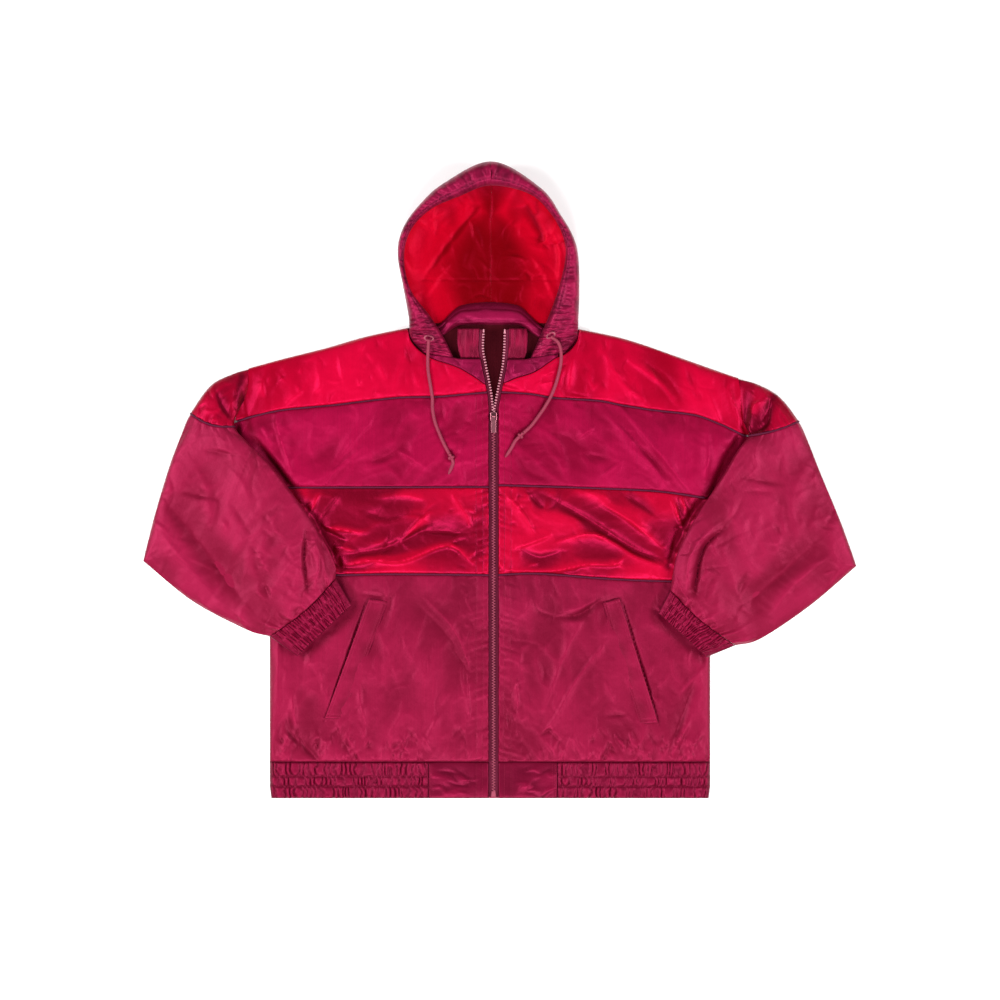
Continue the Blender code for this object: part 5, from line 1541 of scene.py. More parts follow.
        # Painted shadow under the sleeve's edge, beside the cuff, along the side edges and, on the yoke,
        # toward the shoulder's end.
        depth = self.satin_shadow if slot is Slot.SATIN else self.cloth_shadow
        below = [shadow(line, out, up, self.shadow_width) for line in (half.under_arm, half.under_cuff)]
        dark = depth * np.maximum(below[0], self.cuff_shadow * below[1])
        dark = np.maximum(dark, self.side_shadow * np.exp(-np.abs(side) / half.edge_shade))
        if key == "yoke":
            shoulder = smooth_step((out - self.shoulder_start) / self.shoulder_reach)
            dark = np.maximum(dark, self.shoulder_shadow * shoulder)
        # The large folds also lighten and darken the painted shade.
        relief += self.swell_painted_shade * swell(half.large_folds, out, up)
        cloth = Cloth("_".join((key, "cloth", half.name)), "_".join(("front", key, half.name)), finish, slot,
                      ("back_panel",), relief, self.fold_reach, dark)
        cloth.sew(half.sign, out, up, top, bottom, flat=bool(np.ptp(bottom) < self.level_step))

    def build(self) -> None:
        """Make the four panels and the piping in their seams."""
        half, edge = self.half, self.piped_edge
        seed = half.pick(10, 60)
        yoke = [*half.yoke_creases,
                *strewn(((40, 330), (550, 640), 46, (10, 30), (2.2, 4.5), (0.3, 0.9), 100, 34, seed)),
                Crease(half.under_arm[:3], 11, -3.0)]
        chest = [*half.chest_creases,
                 *strewn(((30, 330), (445, 560), 26, (18, 50), (4, 9), (0.3, 0.9), 120, 50, seed + 1),
                         ((34, 70), (445, 560), 12, (6, 16), (2, 3.5), (0.3, 0.6), 5, 18, seed + 2)),
                 Crease(half.under_arm[2:5], 10, -4.0)]
        band = [*half.band_creases,
                *strewn(((40, 300), (320, 430), 22, (16, 44), (3, 7), (0.3, 0.9), 160, 30, seed + 3),
                        ((14, 60), (320, 430), 12, (6, 16), (2, 3.5), (0.4, 0.8), 5, 20, seed + 4)),
                Crease(half.under_arm[4:], 9, -4.0)]
        skirt = [*half.skirt_creases, self.welt_hollow(),
                 *strewn(((95, 300), (53, 85), 40, (8, 24), (2.2, 4.0), (1.0, 2.2), 95, 24, seed + 8),
                         ((30, 300), (60, 300), 70, (14, 50), (2.4, 5.5), (0.3, 0.9), 98, 26, seed + 5),
                         ((30, 310), (52, 95), 36, (10, 30), (2.0, 4.0), (0.5, 1.2), 105, 24, seed + 6),
                         ((28, 44), (60, 300), 26, (6, 18), (1.8, 3.0), (0.3, 0.7), 80, 40, seed + 7))]
        self.panel("yoke", self.seam("yoke", edge), self.yoke_top, yoke, YOKE_SATIN, Slot.SATIN,
                   seed, 1.5, 112.0, 1.3)
        self.panel("chest", self.seam("chest", edge), self.seam("yoke", -edge), chest, RIB_CLOTH,
                   Slot.CLOTH, seed + 10, 1.9, 128.0)
        self.panel("band", self.seam("band", edge), self.seam("chest", -edge), band, SATIN, Slot.SATIN,
                   seed + 20, 1.75, 158.0, 1.7)
        self.panel("skirt", lambda out: np.full(np.shape(out), WAISTBAND_DEPTH + SEAM_GAP / 2),
                   self.seam("band", -edge), skirt, SKIRT_CLOTH, Slot.CLOTH, seed + 30, 1.4, 102.0)
        for key in half.seams:
            self.piping(key)

    def welt_hollow(self) -> Crease:
        """Return the hollow in the skirt along the outer edge of the welt.

        Returns:
            A trough as long as the welt.
        """
        corners = self.half.welt
        upper = np.array(max(corners[:2])) + (1.2, 3.0)
        lower = np.array(max(corners[2:])) + (1.2, -3.0)
        return Crease((upper, (upper + lower) / 2, lower), 2.4, -3.2)

    def piping(self, key: str) -> None:
        """Make the piping in one seam, which sinks away below the sleeve.

        Args:
            key: The seam's name.
        """
        half = self.half
        rows = half.seams[key]
        start = float(zip_edge(half, through(rows, np.array(8.0))))
        end = float(through(half.body_edge, rows[-1][1])) + dict(self.piping_ends)[key]
        out = np.linspace(start, end, self.piping_points)
        up = through(rows, out)
        sink_start, sink_reach = self.piping_sink
        proud = PIPING_PROUD * smooth_step((sink_start - out) / sink_reach)
        wave, girth = self.piping_wave, self.piping_girth
        wobble = wave.height * value_noise(out, up * 0.1, wave.size, 5)
        path = np.stack((out, up, front_top(half, out, up, 0.0) - PIPING_RADIUS + proud + wobble), axis=-1)
        radii = PIPING_RADIUS * (1.0 + girth.height * value_noise(out, up * 0.1, girth.size, 6))
        sew_piping(half, key, path, radii, "back_panel")


@dataclass
class Waistband:
    """The gathered front of the waistband and its plain end beside the zip."""
    half: Half
    end_width: float = 80.0
    end_fade: float = 6.0
    end_creases: float = 1.8
    end_wave: Grain = Grain(0.9, 22.0, 1.6)
    end_stitches: float = 2.4
    stitch_depth: float = 0.5
    stitch_width: float = 1.2
    seeds: tuple = (120, 130)
    gathers: int = 27
    points_in_gather: int = 10
    gather_drift: Grain = Grain(0.8, 3.0)
    gather_sway: Grain = Grain(0.25, 8.0)
    gather_spread: Grain = Grain(0.45, 2.6)
    grain: Grain = Grain(0.25, 3.2)
    row_shift: float = 0.5
    side_fade: float = 7.0
    stitch_rows: tuple = (17.0, 31.0)
    gather_height: float = 3.4
    puff_height: float = 1.6
    wall: float = 2.4
    puff: float = 3.2
    roll: float = 16.0

    def plain_height(self, out: Array, up: Array) -> Array:
        """Return the band's height without its gathers.

        Args:
            out: Distances from the zip.
            up: Distances from the hem.

        Returns:
            Heights above the surface that the jacket lies on.
        """
        edge = np.minimum(through(self.half.body_edge, up) - out, up + self.roll / 4)
        roll = rounded(edge, self.roll) * (1 + rounded(WAISTBAND_DEPTH - up, 9.0)) / 2
        return BACK_WALL + SEAM_GAP + self.wall + self.puff * roll

    def build(self) -> None:
        """Make both stretches of the band."""
        self.end()
        self.front()

    def end(self) -> None:
        """Make the plain end beside the zip."""
        half = self.half
        up, part = np.meshgrid(dense(WAISTBAND_DEPTH, 1.5) * WAISTBAND_DEPTH,
                               dense(self.end_width, 2.0), indexing="ij")
        start, end = zip_edge(half, up), half.waist_end
        out = start + (end - start) * part
        top = self.plain_height(out, up)
        fade = rounded(out - start, self.end_fade) * rounded(end - out, self.end_fade)
        seed = half.pick(*self.seeds)
        small = strewn(((30, 85), (8, 42), 12, (12, 34), (2.5, 5), (0.4, 1.0), 20, 30, seed))
        wave = self.end_wave
        top += self.end_creases * crease_relief(small, out, up) * fade
        top += wave.height * value_noise(out, up * wave.stretch, wave.size, seed) * fade
        top -= border_drop(np.minimum(out - start, end - out), *TURNED_EDGE)
        top -= border_drop(np.minimum(up, WAISTBAND_DEPTH - up), 1.6, 3.0)
        top -= grooves(out, (end - self.end_stitches, *STITCH_LINES), self.stitch_depth, self.stitch_width)
        self.finish("waist_end_cloth_" + half.name, "waistband_end_" + half.name, out, up, top, 1.0, 0.5)

    def front(self) -> None:
        """Make the gathered stretch, its gathers broken by two rows of elastic."""
        half = self.half
        seed = half.pick(*self.seeds)
        count = self.gathers * self.points_in_gather
        up, part = np.meshgrid(dense(WAISTBAND_DEPTH, 1.6) * WAISTBAND_DEPTH,
                               np.linspace(0.0, 1.0, count + 1), indexing="ij")
        start = half.waist_end + SEAM_GAP
        out = start + (through(half.body_edge, up) - start) * part
        side = through(half.body_edge, up) - out
        row = (up > self.stitch_rows[0]).astype(float) + (up > self.stitch_rows[1])
        drift, sway, spread, fine = self.gather_drift, self.gather_sway, self.gather_spread, self.grain
        turns = self.gathers * part
        turns += drift.height * value_noise(part * 60 + 7.3 * row, up * 0.02, drift.size, seed + 1)
        turns += self.row_shift * row + sway.height * value_noise(out, up, sway.size, seed + 2)
        ridge = np.abs(np.sin(np.pi * turns)) ** 0.75
        size = 0.75 + spread.height * value_noise(part * 60 + 11 * row, up * 0.02, spread.size, seed + 3)
        lines = [np.abs(up - line) for line in self.stitch_rows]
        puff = rounded(nearest_of(*lines, up + 2.0, WAISTBAND_DEPTH - up + 1.0), 5.5)
        fade = smooth_step((out - start) / self.end_fade) * smooth_step(side / self.side_fade)
        top = self.plain_height(out, up) + fade * puff * size * self.gather_height * (ridge - 0.45)
        top += self.puff_height * (puff - 0.8)
        top += fine.height * value_noise(out, up, fine.size, seed + 4) * fade
        top -= border_drop(np.minimum(up, WAISTBAND_DEPTH - up), *TURNED_EDGE)
        top -= border_drop(side, 2.4, 6.0)
        top -= border_drop(out - start, 1.2, 2.0)
        self.finish("waistband_cloth_" + half.name, "waistband_front_" + half.name, out, up, top, 1.7, 1.0)

    def finish(self, name: str, node: str, out: Array, up: Array, top: Array, fullness: float,
               level: float) -> None:
        """Close one stretch of the band, dye it round a level and state its cut.

        Args:
            name: The piece's name.
            node: The solid that it replaces.
            out: Distances from the zip.
            up: Distances from the hem.
            top: The outside's heights.
            fullness: How much wider the weave runs than the plan.
            level: The height over the plain band that is painted as the middle shade.
        """
        base = BACK_WALL + SEAM_GAP
        top = np.maximum(top, base + 0.8)
        width = float(np.ptp(out)) * (1.35 if fullness > 1 else 1.0)
        cloth = Cloth(name, node, GATHERED_CLOTH, Slot.CLOTH, ("waistband_back",),
                      top - self.plain_height(out, up) - level, 1.3)
        cloth.sew(self.half.sign, out, up, top, base, (width, WAISTBAND_DEPTH), width * WAISTBAND_DEPTH,
                  fullness, True)


@dataclass
class Back:
    """The back of the body with its waistband, the neck's lining and the collar's back."""
    edge_wall: float = 3.2
    band_wall: float = 3.6
    panel_columns: int = 101
    lining_length: float = 104.0
    panel_length: float = 600.0
    collar_middle: float = -6.0
    collar_half: float = 76.0
    collar_foot: float = 662.0
    collar_depth: float = 22.0
    collar_cut: tuple = (152.0, 50.0)
    collar_wave: Grain = Grain(0.6, 12.0)
    neck_lining: tuple = ((556, 13), (585, 28), (610, 60), (640, 76), (655, 92), (664.5, 100))

    def build(self) -> None:
        """Make the four pieces."""
        self.panel()
        self.lining()
        self.waistband()
        self.collar()

    def panel(self) -> None:
        """Make the back panel, flat below, with a thin rounded edge."""
        column, row = np.meshgrid(np.linspace(-1.0, 1.0, self.panel_columns),
                                  dense(self.panel_length, 6.0))
        out, up = np.zeros(column.shape), np.zeros(column.shape)
        bases = {}
        for half in HALVES:
            mine = half.pick(column <= 0, column > 0)
            o, u = np.zeros(column.shape), np.zeros(column.shape)
            for _ in range(7):
                rise = smooth_step((half.shoulder[0][0] - o) / 60.0)
                neck = half.shoulder[0][1] + 3.0 * rise
                upper = np.where(o < half.shoulder[0][0], neck, through(half.shoulder, o))
                base = WAISTBAND_DEPTH + SEAM_GAP
                u = base + (upper - base) * row
                o = through(half.body_edge, u) * np.abs(column)
            edge = np.minimum(through(half.body_edge, u) - o, through(half.shoulder, o) - u)
            wall = self.edge_wall + (BACK_WALL - self.edge_wall) * rounded(edge, EDGE_ROLL)
            bases[half.name] = wall - border_drop(through(half.body_edge, u) - o, 1.2, 4.0)
            out = np.where(mine, o * half.sign, out)
            up = np.where(mine, u, up)
        top = np.where(column <= 0, bases["left"], bases["right"])
        Cloth("back_cloth", "back_panel", RIB_CLOTH, Slot.CLOTH).sew(1.0, out, up, top, 0.0)

    def lining(self) -> None:
        """Make the lining of the back neck, which shows through the open zip, darkened almost to black as
        painted shade.
        """
        part, up = np.meshgrid(np.linspace(-1.0, 1.0, 41),
                               np.linspace(self.neck_lining[0][0], self.neck_lining[-1][0], 53))
        out = through(self.neck_lining, up) * part
        base = BACK_WALL + SEAM_GAP
        top = base + 1.0 + 0.25 * value_noise(out, up, 9.0, 201)
        cloth = Cloth("neck_lining_painted_shade_cloth", "back_lining", NECK_LINING_PAINTED_SHADE, Slot.DARK, ("back_panel",))
        cloth.sew(1.0, out, up, top, base, (float(np.ptp(out)), self.lining_length), flat=True)

    def waistband(self) -> None:
        """Make the back of the waistband."""
        part, up = np.meshgrid(np.linspace(0.0, 1.0, 121), dense(WAISTBAND_DEPTH, 4.0) * WAISTBAND_DEPTH)
        left, right = through(LEFT.body_edge, up), through(RIGHT.body_edge, up)
        out = -left + (left + right) * part
        edge = nearest_of(up, WAISTBAND_DEPTH - up, out + left, right - out)
        top = self.band_wall - border_drop(edge, 1.2, 3.0)
        width = float(np.ptp(out))
        cloth = Cloth("waistband_back_cloth", "waistband_back", GATHERED_CLOTH, Slot.CLOTH)
        cloth.sew(1.0, out, up, top, 0.0, (width, WAISTBAND_DEPTH), width * WAISTBAND_DEPTH, flat=True)

    def collar(self) -> None:
        """Make the back of the stand collar, a soft roll on the hood's lining, with a painted highlight
        along its middle.
        """
        column, row = np.meshgrid(np.linspace(-1.0, 1.0, 97), dense(26.0, 1.0))
        ends = 1.0 - column ** 2
        out = self.collar_middle + self.collar_half * column
        down = 19.0 * smooth_step((np.abs(column) - 0.5) / 0.5)
        up = self.collar_foot - down + (16.0 + 16.0 * ends) * row
        base = SHELL_WALL + SEAM_GAP + LINING_WALL + TAPE_GAP + 0.9 * smooth_step((668.0 - up) / 2.0)
        lobe = np.sin(math.pi * np.clip(0.06 + 0.94 * row, 0.0, 1.0) ** 0.85)
        crown = (8.5 - 6.0 * smooth_step((np.abs(column) - 0.6) / 0.4)) * lobe * (0.6 + 0.4 * ends)
        folds = 1.1 * crumple(out, up, 9.0, 2.6, 60.0, 213) * smooth_step((np.abs(column) - 0.4) / 0.4)
        wave = value_noise(out, up * 2.0, self.collar_wave.size, 211)
        top = base + 2.0 + crown + folds + self.collar_wave.height * wave
        top += 0.3 * value_noise(out, up, 5.0, 212) - 0.8 * bell(row - 0.72, 0.04)
        top = np.maximum(top, base + 1.0)
        top -= border_drop(np.minimum(row, 1 - row) * self.collar_depth, *TURNED_EDGE)
        # Painted highlight along the roll's middle, painted shade toward its top, foot and ends, and shade
        # in its crumpled folds.
        bright = 4.5 * bell(row - 0.42, 0.24) * (0.3 + 0.7 * ends) - 2.6
        cloth = Cloth("collar_back_cloth", "collar_back", HOOD_CLOTH, Slot.CLOTH, ("back_lining",),
                      bright + folds + 0.8 * wave)
        cloth.sew(1.0, out, up, top, base, self.collar_cut, 1.3 * plan_area(out, up))


@dataclass
class PocketWelt:
    """The slanted welt of a side pocket."""
    half: Half
    wall: float = 2.4
    crown: float = 0.5
    clearance: float = 0.5
    stitch_insets: tuple = (4.0, 5.0)
    stitch_depth: float = 0.5
    stitch_width: float = 1.1

    def build(self) -> None:
        """Make the welt from the skirt's own heights."""
        half = self.half
        upper_in, upper_out, lower_out, lower_in = (np.array(corner, float) for corner in half.welt)
        length = float(np.linalg.norm(lower_in - upper_in))
        width = float(np.linalg.norm(upper_out - upper_in))
        row, column = np.meshgrid(dense(length, 1.8), dense(width, 1.2), indexing="ij")
        a = upper_in + (lower_in - upper_in) * row[..., None]
        b = upper_out + (lower_out - upper_out) * row[..., None]
        spot = a + (b - a) * column[..., None]
        out, up = spot[..., 0], spot[..., 1]
        cloth = front_top(half, out, up, FrontHalf.swell_share)
        across, down = column * width, row * length
        raised = half.pick(1.0 - column, column)
        top = cloth + 0.4 + (self.wall - 0.2) * smooth_step(raised * 1.15)
        top += self.crown * np.sin(np.pi * column) + 0.3 * value_noise(out, up, 13.0, 301)
        top += 0.15 * value_noise(out, up, 5.0, 302)
        side, end = self.stitch_insets
        top -= grooves(across, (side, width - side), self.stitch_depth, self.stitch_width)
        top -= grooves(down, (end, length - end), self.stitch_depth, self.stitch_width)
        top -= border_drop(nearest_of(across, width - across, down, length - down), 1.4, 2.4)
        base = cloth + self.clearance - 0.6
        # Painted shade: lighter on the welt's raised side, darker on the other, in uneven patches.
        tone = 1.6 * (raised - 0.55) + 0.8 * value_noise(out, up, 16.0, 303)
        cloth = Cloth("welt_cloth_" + half.name, "pocket_welt_" + half.name, SKIRT_CLOTH, Slot.CLOTH,
                      ("skirt_cloth_" + half.name,), tone)
        cloth.sew(half.sign, out, up, top, base, (width, length), width * length)


# ---------------------------------------------------------------- the neck

@dataclass
class Neck:
    """The band between yoke and collar, and one front of the stand collar."""
    half: Half
    wall: float = 3.4
    rise: float = 6.0
    top_line: float = 657.0
    turned_height: float = 7.0
    band_end: float = 90.0
    stitch_lines: tuple = (3.2, 8.6)
    stitch_depth: float = 0.7
    stitch_width: float = 0.8
    least_wall: float = 0.8
    band_turned_in: float = 1.3
    collar_depth: float = 42.0

    def build(self) -> None:
        """Make both pieces."""
        self.band()
        self.collar()

    def band(self) -> None:
        """Make the neck band, which follows the front's height."""
        half = self.half
        row, column = np.meshgrid(dense(34.0, 1.5), dense(85.0, 1.5), indexing="ij")
        out, up, low, high = plan_between(half, row, column, self.band_end * column,
                                          lambda out: through(half.neck_line, out) + 1.0,
                                          lambda out: through(half.neck_seam, out) - 0.15,
                                          lambda up: self.band_end)
        seed = half.pick(220, 230)
        small = strewn(((15, 90), (580, 620), 26, (8, 24), (1.6, 3.2), (0.4, 1.1), 150, 40, seed))
        fade = rounded(np.minimum(up - low, high - up), 4.0)
        top = front_top(half, out, up, 0.0) + crease_relief(small, out, up) * fade
        top += 0.3 * value_noise(out, up, 8.0, seed) * fade
        top -= border_drop(np.minimum(up - low, high - up), 1.6, 2.6)
        top -= border_drop(out - zip_edge(half, up), 1.2, 2.4)
        bottom = front_underside(half, out, up)
        top = np.maximum(top, bottom + self.least_wall)
        cloth = Cloth("neck_band_cloth_" + half.name, "neck_band_" + half.name, HOOD_CLOTH, Slot.CLOTH,
                      ("back_panel",), top - front_top(half, out, up, 0.0), 0.8)
        cloth.sew(half.sign, out, up, top, bottom, area=self.band_turned_in * plan_area(out, up))

    def collar(self) -> None:
        """Make the turned collar front with its rows of stitching beside the zip."""
        half = self.half
        row, column = np.meshgrid(dense(self.collar_depth, 1.0), dense(34.0, 0.8), indexing="ij")
        start = np.full(row.shape, float(zip_edge(half, np.array(self.top_line))))
        out, up, _, _ = plan_between(half, row, column, start,
                                     lambda out: through(half.neck_seam, out) + SEAM_GAP,
                                     lambda out: self.top_line,
                                     lambda up: through(half.collar_side, up), 6)
        turned = smooth_step((column - 0.5) / 0.5)
        height = front_underside(half, out, up) + self.rise * row ** 0.8
        height += (self.turned_height - height) * 0.8 * turned * row
        from_zip = out - zip_edge(half, up)
        seed = half.pick(240, 250)
        top = height + self.wall + 0.7 * value_noise(out, up * 0.2, 3.2, seed)
        top += 0.5 * value_noise(out, up, 11.0, seed + 1)
        top -= grooves(from_zip, self.stitch_lines, self.stitch_depth, self.stitch_width)
        edge = nearest_of(from_zip, through(half.collar_side, up) - out,
                          np.minimum(row, 1 - row) * self.collar_depth)
        top -= border_drop(edge, 1.6, 2.4)
        cloth = Cloth("collar_cloth_" + half.name, "collar_front_" + half.name, COLLAR_CLOTH, Slot.CLOTH,
                      ("back_lining",), top - height - self.wall, 0.6)
        cloth.sew(half.sign, out, up, top, height)


# ---------------------------------------------------------------- the hood

@dataclass
class Hood:
    """One half of the hood: the gathered casing, the outer bowl and its lining."""
    half: Half
    first: float = 1.72
    roll: float = 58.0
    level_top: float = 812.0
    inset: float = 0.8
    drop: float = 1.2
    rim_edge: float = 1.5
    rim_roundness: float = 2.6
    rim_across: int = 30
    rim_stations: int = 300
    casing_line: float = -0.42
    seam_half: float = 0.13
    ruching: tuple = ((0.0, 1.0), (1.6, 0.9), (2.2, 0.5), (6.0, 0.5), (8.0, 0.7))
    ruche_height: float = 1.7
    casing_wave: Grain = Grain(0.8, 9.0)
    casing_swell: Grain = Grain(0.9, 15.0, 0.6)
    lining_wave: Grain = Grain(1.2, 30.0)
    lining_crumple: Grain = Grain(0.8, 17.0, 2.2)
    lining_lie: float = 70.0
    seam_reach: float = 7.0
    seam_depth: float = 0.5
    seam_width: float = 1.6
    neck_seam_up: float = 725.0
    neck_seam_depth: float = 0.8
    neck_seam_width: float = 1.8
    stitch_depth: float = 1.3
    stitch_width: float = 1.2
    casing_width: float = 62.0
    lining_cut: tuple = (190.0, 250.0)

    def stations(self, s: Array) -> Array:
        """Read the casing's cross-sections, round over the crown.

        Args:
            s: Places along the casing, 1 from each section to the next.

        Returns:
            A row of outer edge, inner edge, bottom and thickness for each place.
        """
        rows = [list(station) for station in self.half.rim]
        for column in (0, 2):
            rows[-1][column] -= self.seam_half
        beyond = list(rows[-2])
        for column in (0, 2):
            beyond[column] = 2 * rows[-1][column] - rows[-2][column]
        return along(rows + [beyond], s)

    def build(self) -> None:
        """Make the three pieces."""
        self.casing()
        self.bowl("hood_shell", 0.0, SHELL_WALL, HOOD_CLOTH, Slot.CLOTH, False)
        self.bowl("hood_lining", SHELL_WALL + SEAM_GAP, LINING_WALL, LINING, Slot.LINING, True)

    def casing(self) -> None:
        """Make the folded casing around the opening, ruched on its drawcord."""
        half = self.half
        last = len(half.rim) - 1
        s = np.linspace(0.0, last, self.rim_stations)
        rows = self.stations(s)
        outer, inner = rows[:, 0:2], rows[:, 2:4]
        bottom, thickness = rows[:, 4:5], rows[:, 5:6]
        upper = np.cos(np.linspace(0.0, np.pi, self.rim_across))
        lower = np.array((-0.85, -0.5, 0.0, 0.5, 0.85))
        w = np.concatenate((upper, lower))[None, :]
        spot = (outer + inner)[:, None] / 2 + (outer - inner)[:, None] / 2 * w[..., None]
        rise = np.sqrt(np.maximum(0.0, 1.0 - np.abs(w) ** self.rim_roundness))
        height = bottom + self.rim_edge + (thickness - self.rim_edge) * rise
        middle = (outer + inner) / 2
        length = travelled(middle)
        down = length[:, None]
        width = np.linalg.norm(outer - inner, axis=1)[:, None]
        across = w * width / 2
        seed = half.pick(400, 420)
        amount = through(self.ruching, s)[:, None]
        ruche = value_noise(down, across * 0.25, 3.2, seed)
        ruche = ruche + 0.7 * value_noise(down, across * 0.4, 1.9, seed + 1)
        relief = self.ruche_height * amount * ruche
        wave, large = self.casing_wave, self.casing_swell
        relief += wave.height * value_noise(across, down, wave.size, seed + 2)
        relief += large.height * value_noise(across, down * large.stretch, large.size, seed + 3)
        line = bell((w - self.casing_line) * width / 2, self.stitch_width)
        height = height + rise * relief - self.stitch_depth * line * rise
        count = len(upper)
        level = np.broadcast_to(bottom, height.shape)
        height = np.where(np.arange(w.shape[1])[None, :] < count, np.maximum(height, level + 1.0), level)
        rings = place(half.sign, spot[..., 0], spot[..., 1], height)
        cut = np.stack(np.broadcast_arrays(across + 40.0, down * 1.3), axis=-1) * MM
        piece = sew_roll("hood_casing_" + half.name, rings, cut, CASING_CLOTH)
        # Painted shade: lighter on the roll's top, darker down its sides and in the ruching's hollows and
        # stitched line, with painted shadow at its lowest edges.
        tone = relief + 0.7 * (rise - 0.6) - self.stitch_depth * line
        paint_fold_shade(piece, np.broadcast_to(tone, height.shape), 1.2, 0.9 * (1.0 - rise) ** 2)
        settle(piece, Slot.CLOTH, "hood_rim_" + half.name)
        area = float(width.mean() * length[-1]) * 1.25
        declare_sheet(piece, self.casing_width, float(length[-1]) * 1.15, area, ("hood_shell_" + half.name,))

    def rows(self, s: Array, depth: float) -> Array:
        """Return the bowl's rows of points, from the casing down to the centre seam.

        Args:
            s: Places along the casing.
            depth: How far the layer lies inside the hood's own.

        Returns:
            Out, up and height of the points of each row.
        """
        half = self.half
        last = len(half.rim) - 1
        stations = self.stations(s)
        outer = stations[:, 0:2]
        part = (s - self.first) / (last - self.first)
        first_up = float(self.stations(np.array([self.first]))[0, 1])
        centre = np.stack((np.full(s.shape, half.rim[-1].outer_out - self.seam_half),
                           first_up + (self.level_top - first_up) * part), axis=-1)
        inward = (centre - outer) / np.linalg.norm(centre - outer, axis=1)[:, None]
        start = outer + inward * self.inset
        wall_top = stations[:, 4] - self.drop
        turn = np.radians(np.linspace(0.0, 90.0, 30))[None, :]
        reach = self.roll - (self.roll - depth) * np.cos(turn)
        wall = start[:, None] + inward[:, None] * reach[..., None]
        wall_height = wall_top[:, None] - (wall_top[:, None] - depth) * np.sin(turn)
        foot = start + inward * self.roll
        steps = np.linspace(0.0, 1.0, 34)[1:][None, :, None]
        floor = foot[:, None] + (centre - foot)[:, None] * steps
        floor_height = np.full(floor.shape[:2], depth)
        spots = np.concatenate((wall, floor), axis=1)
        heights = np.concatenate((wall_height, floor_height), axis=1)
        return np.concatenate((spots, heights[..., None]), axis=-1)

    def bowl(self, node: str, depth: float, wall: float, finish: ClothFinish, slot: Slot,
             creased: bool) -> None:
        """Make one layer of the bowl.

        Args:
            node: The solid's name without its side.
            depth: How far the layer's outside lies inside the hood's own.
            wall: Its thickness.
            finish: Its finish.
            slot: The record's slot.
            creased: Whether its inside has folds that show, with their painted shade.
        """
        half = self.half
        s = np.linspace(self.first, len(half.rim) - 1, 150 if creased else 70)
        inside, outside = self.rows(s, depth + wall), self.rows(s, depth)
        if creased:
            out, up = inside[..., 0], inside[..., 1]
            seed = half.pick(440, 450)
            small = strewn(((5, 120), (690, 850), 34, (14, 44), (2.5, 6), (0.4, 1.2), 70, 50, seed))
            extra = 1.5 * crease_relief([*half.lining_creases, *small], out, up)
            wave, folds = self.lining_wave, self.lining_crumple
            net = crumple(out, up, folds.size, folds.stretch, self.lining_lie, seed + 1)
            extra += wave.height * value_noise(out, up, wave.size, seed) + folds.height * net
            centre_line = np.abs(out - half.rim[-1].outer_out)
            extra = extra * rounded(centre_line, self.seam_reach)
            extra -= self.seam_depth * bell(centre_line, self.seam_width)
            neck_seam = self.neck_seam_depth * bell(up - self.neck_seam_up, self.neck_seam_width)
            extra -= neck_seam * smooth_step((105.0 - out) / 8.0)
            fade = rounded(np.linspace(0.0, 1.0, inside.shape[1])[None, :] * 90.0, 10.0)
            inside[..., 2] += np.maximum(extra * fade, -wall + 0.6)
        length = np.linspace(0.0, 260.0, len(s))[:, None]
        across = np.linspace(0.0, 120.0, inside.shape[1])[None, :]
        cut = np.stack(np.broadcast_arrays(across, length), axis=-1) * MM
        name = "_".join((node, half.name))
        piece = sew_wall(node + "_cloth_" + half.name, to_metres(half.sign, inside),
                         to_metres(half.sign, outside), cut, finish)
        if creased:
            # Painted shade: darker toward the bowl's centre and, near the crown, across the whole lining.
            far = np.linspace(0.0, 1.0, inside.shape[1])[None, :] * np.ones((len(s), 1))
            near_crown = smooth_step(np.linspace(1.0, 0.0, len(s)) / 0.25)[:, None]
            deep = smooth_step((far - 0.25) / 0.5) * (0.8 + 0.2 * near_crown)
            crown = smooth_step((np.linspace(0.0, 1.0, len(s)) - 0.85) / 0.12)[:, None]
            deep = np.maximum(deep, 0.9 * crown)
            paint_fold_shade(piece, extra + 0.9, 2.0, deep)
        settle(piece, slot, name)
        points = to_metres(half.sign, inside)
        a = points[1:, 1:] - points[:-1, :-1]
        b = points[1:, :-1] - points[:-1, 1:]
        area = float(np.linalg.norm(np.cross(a, b), axis=-1).sum() / 2) * 1e6
        declare_sheet(piece, *self.lining_cut, area)


# ---------------------------------------------------------------- the sleeves

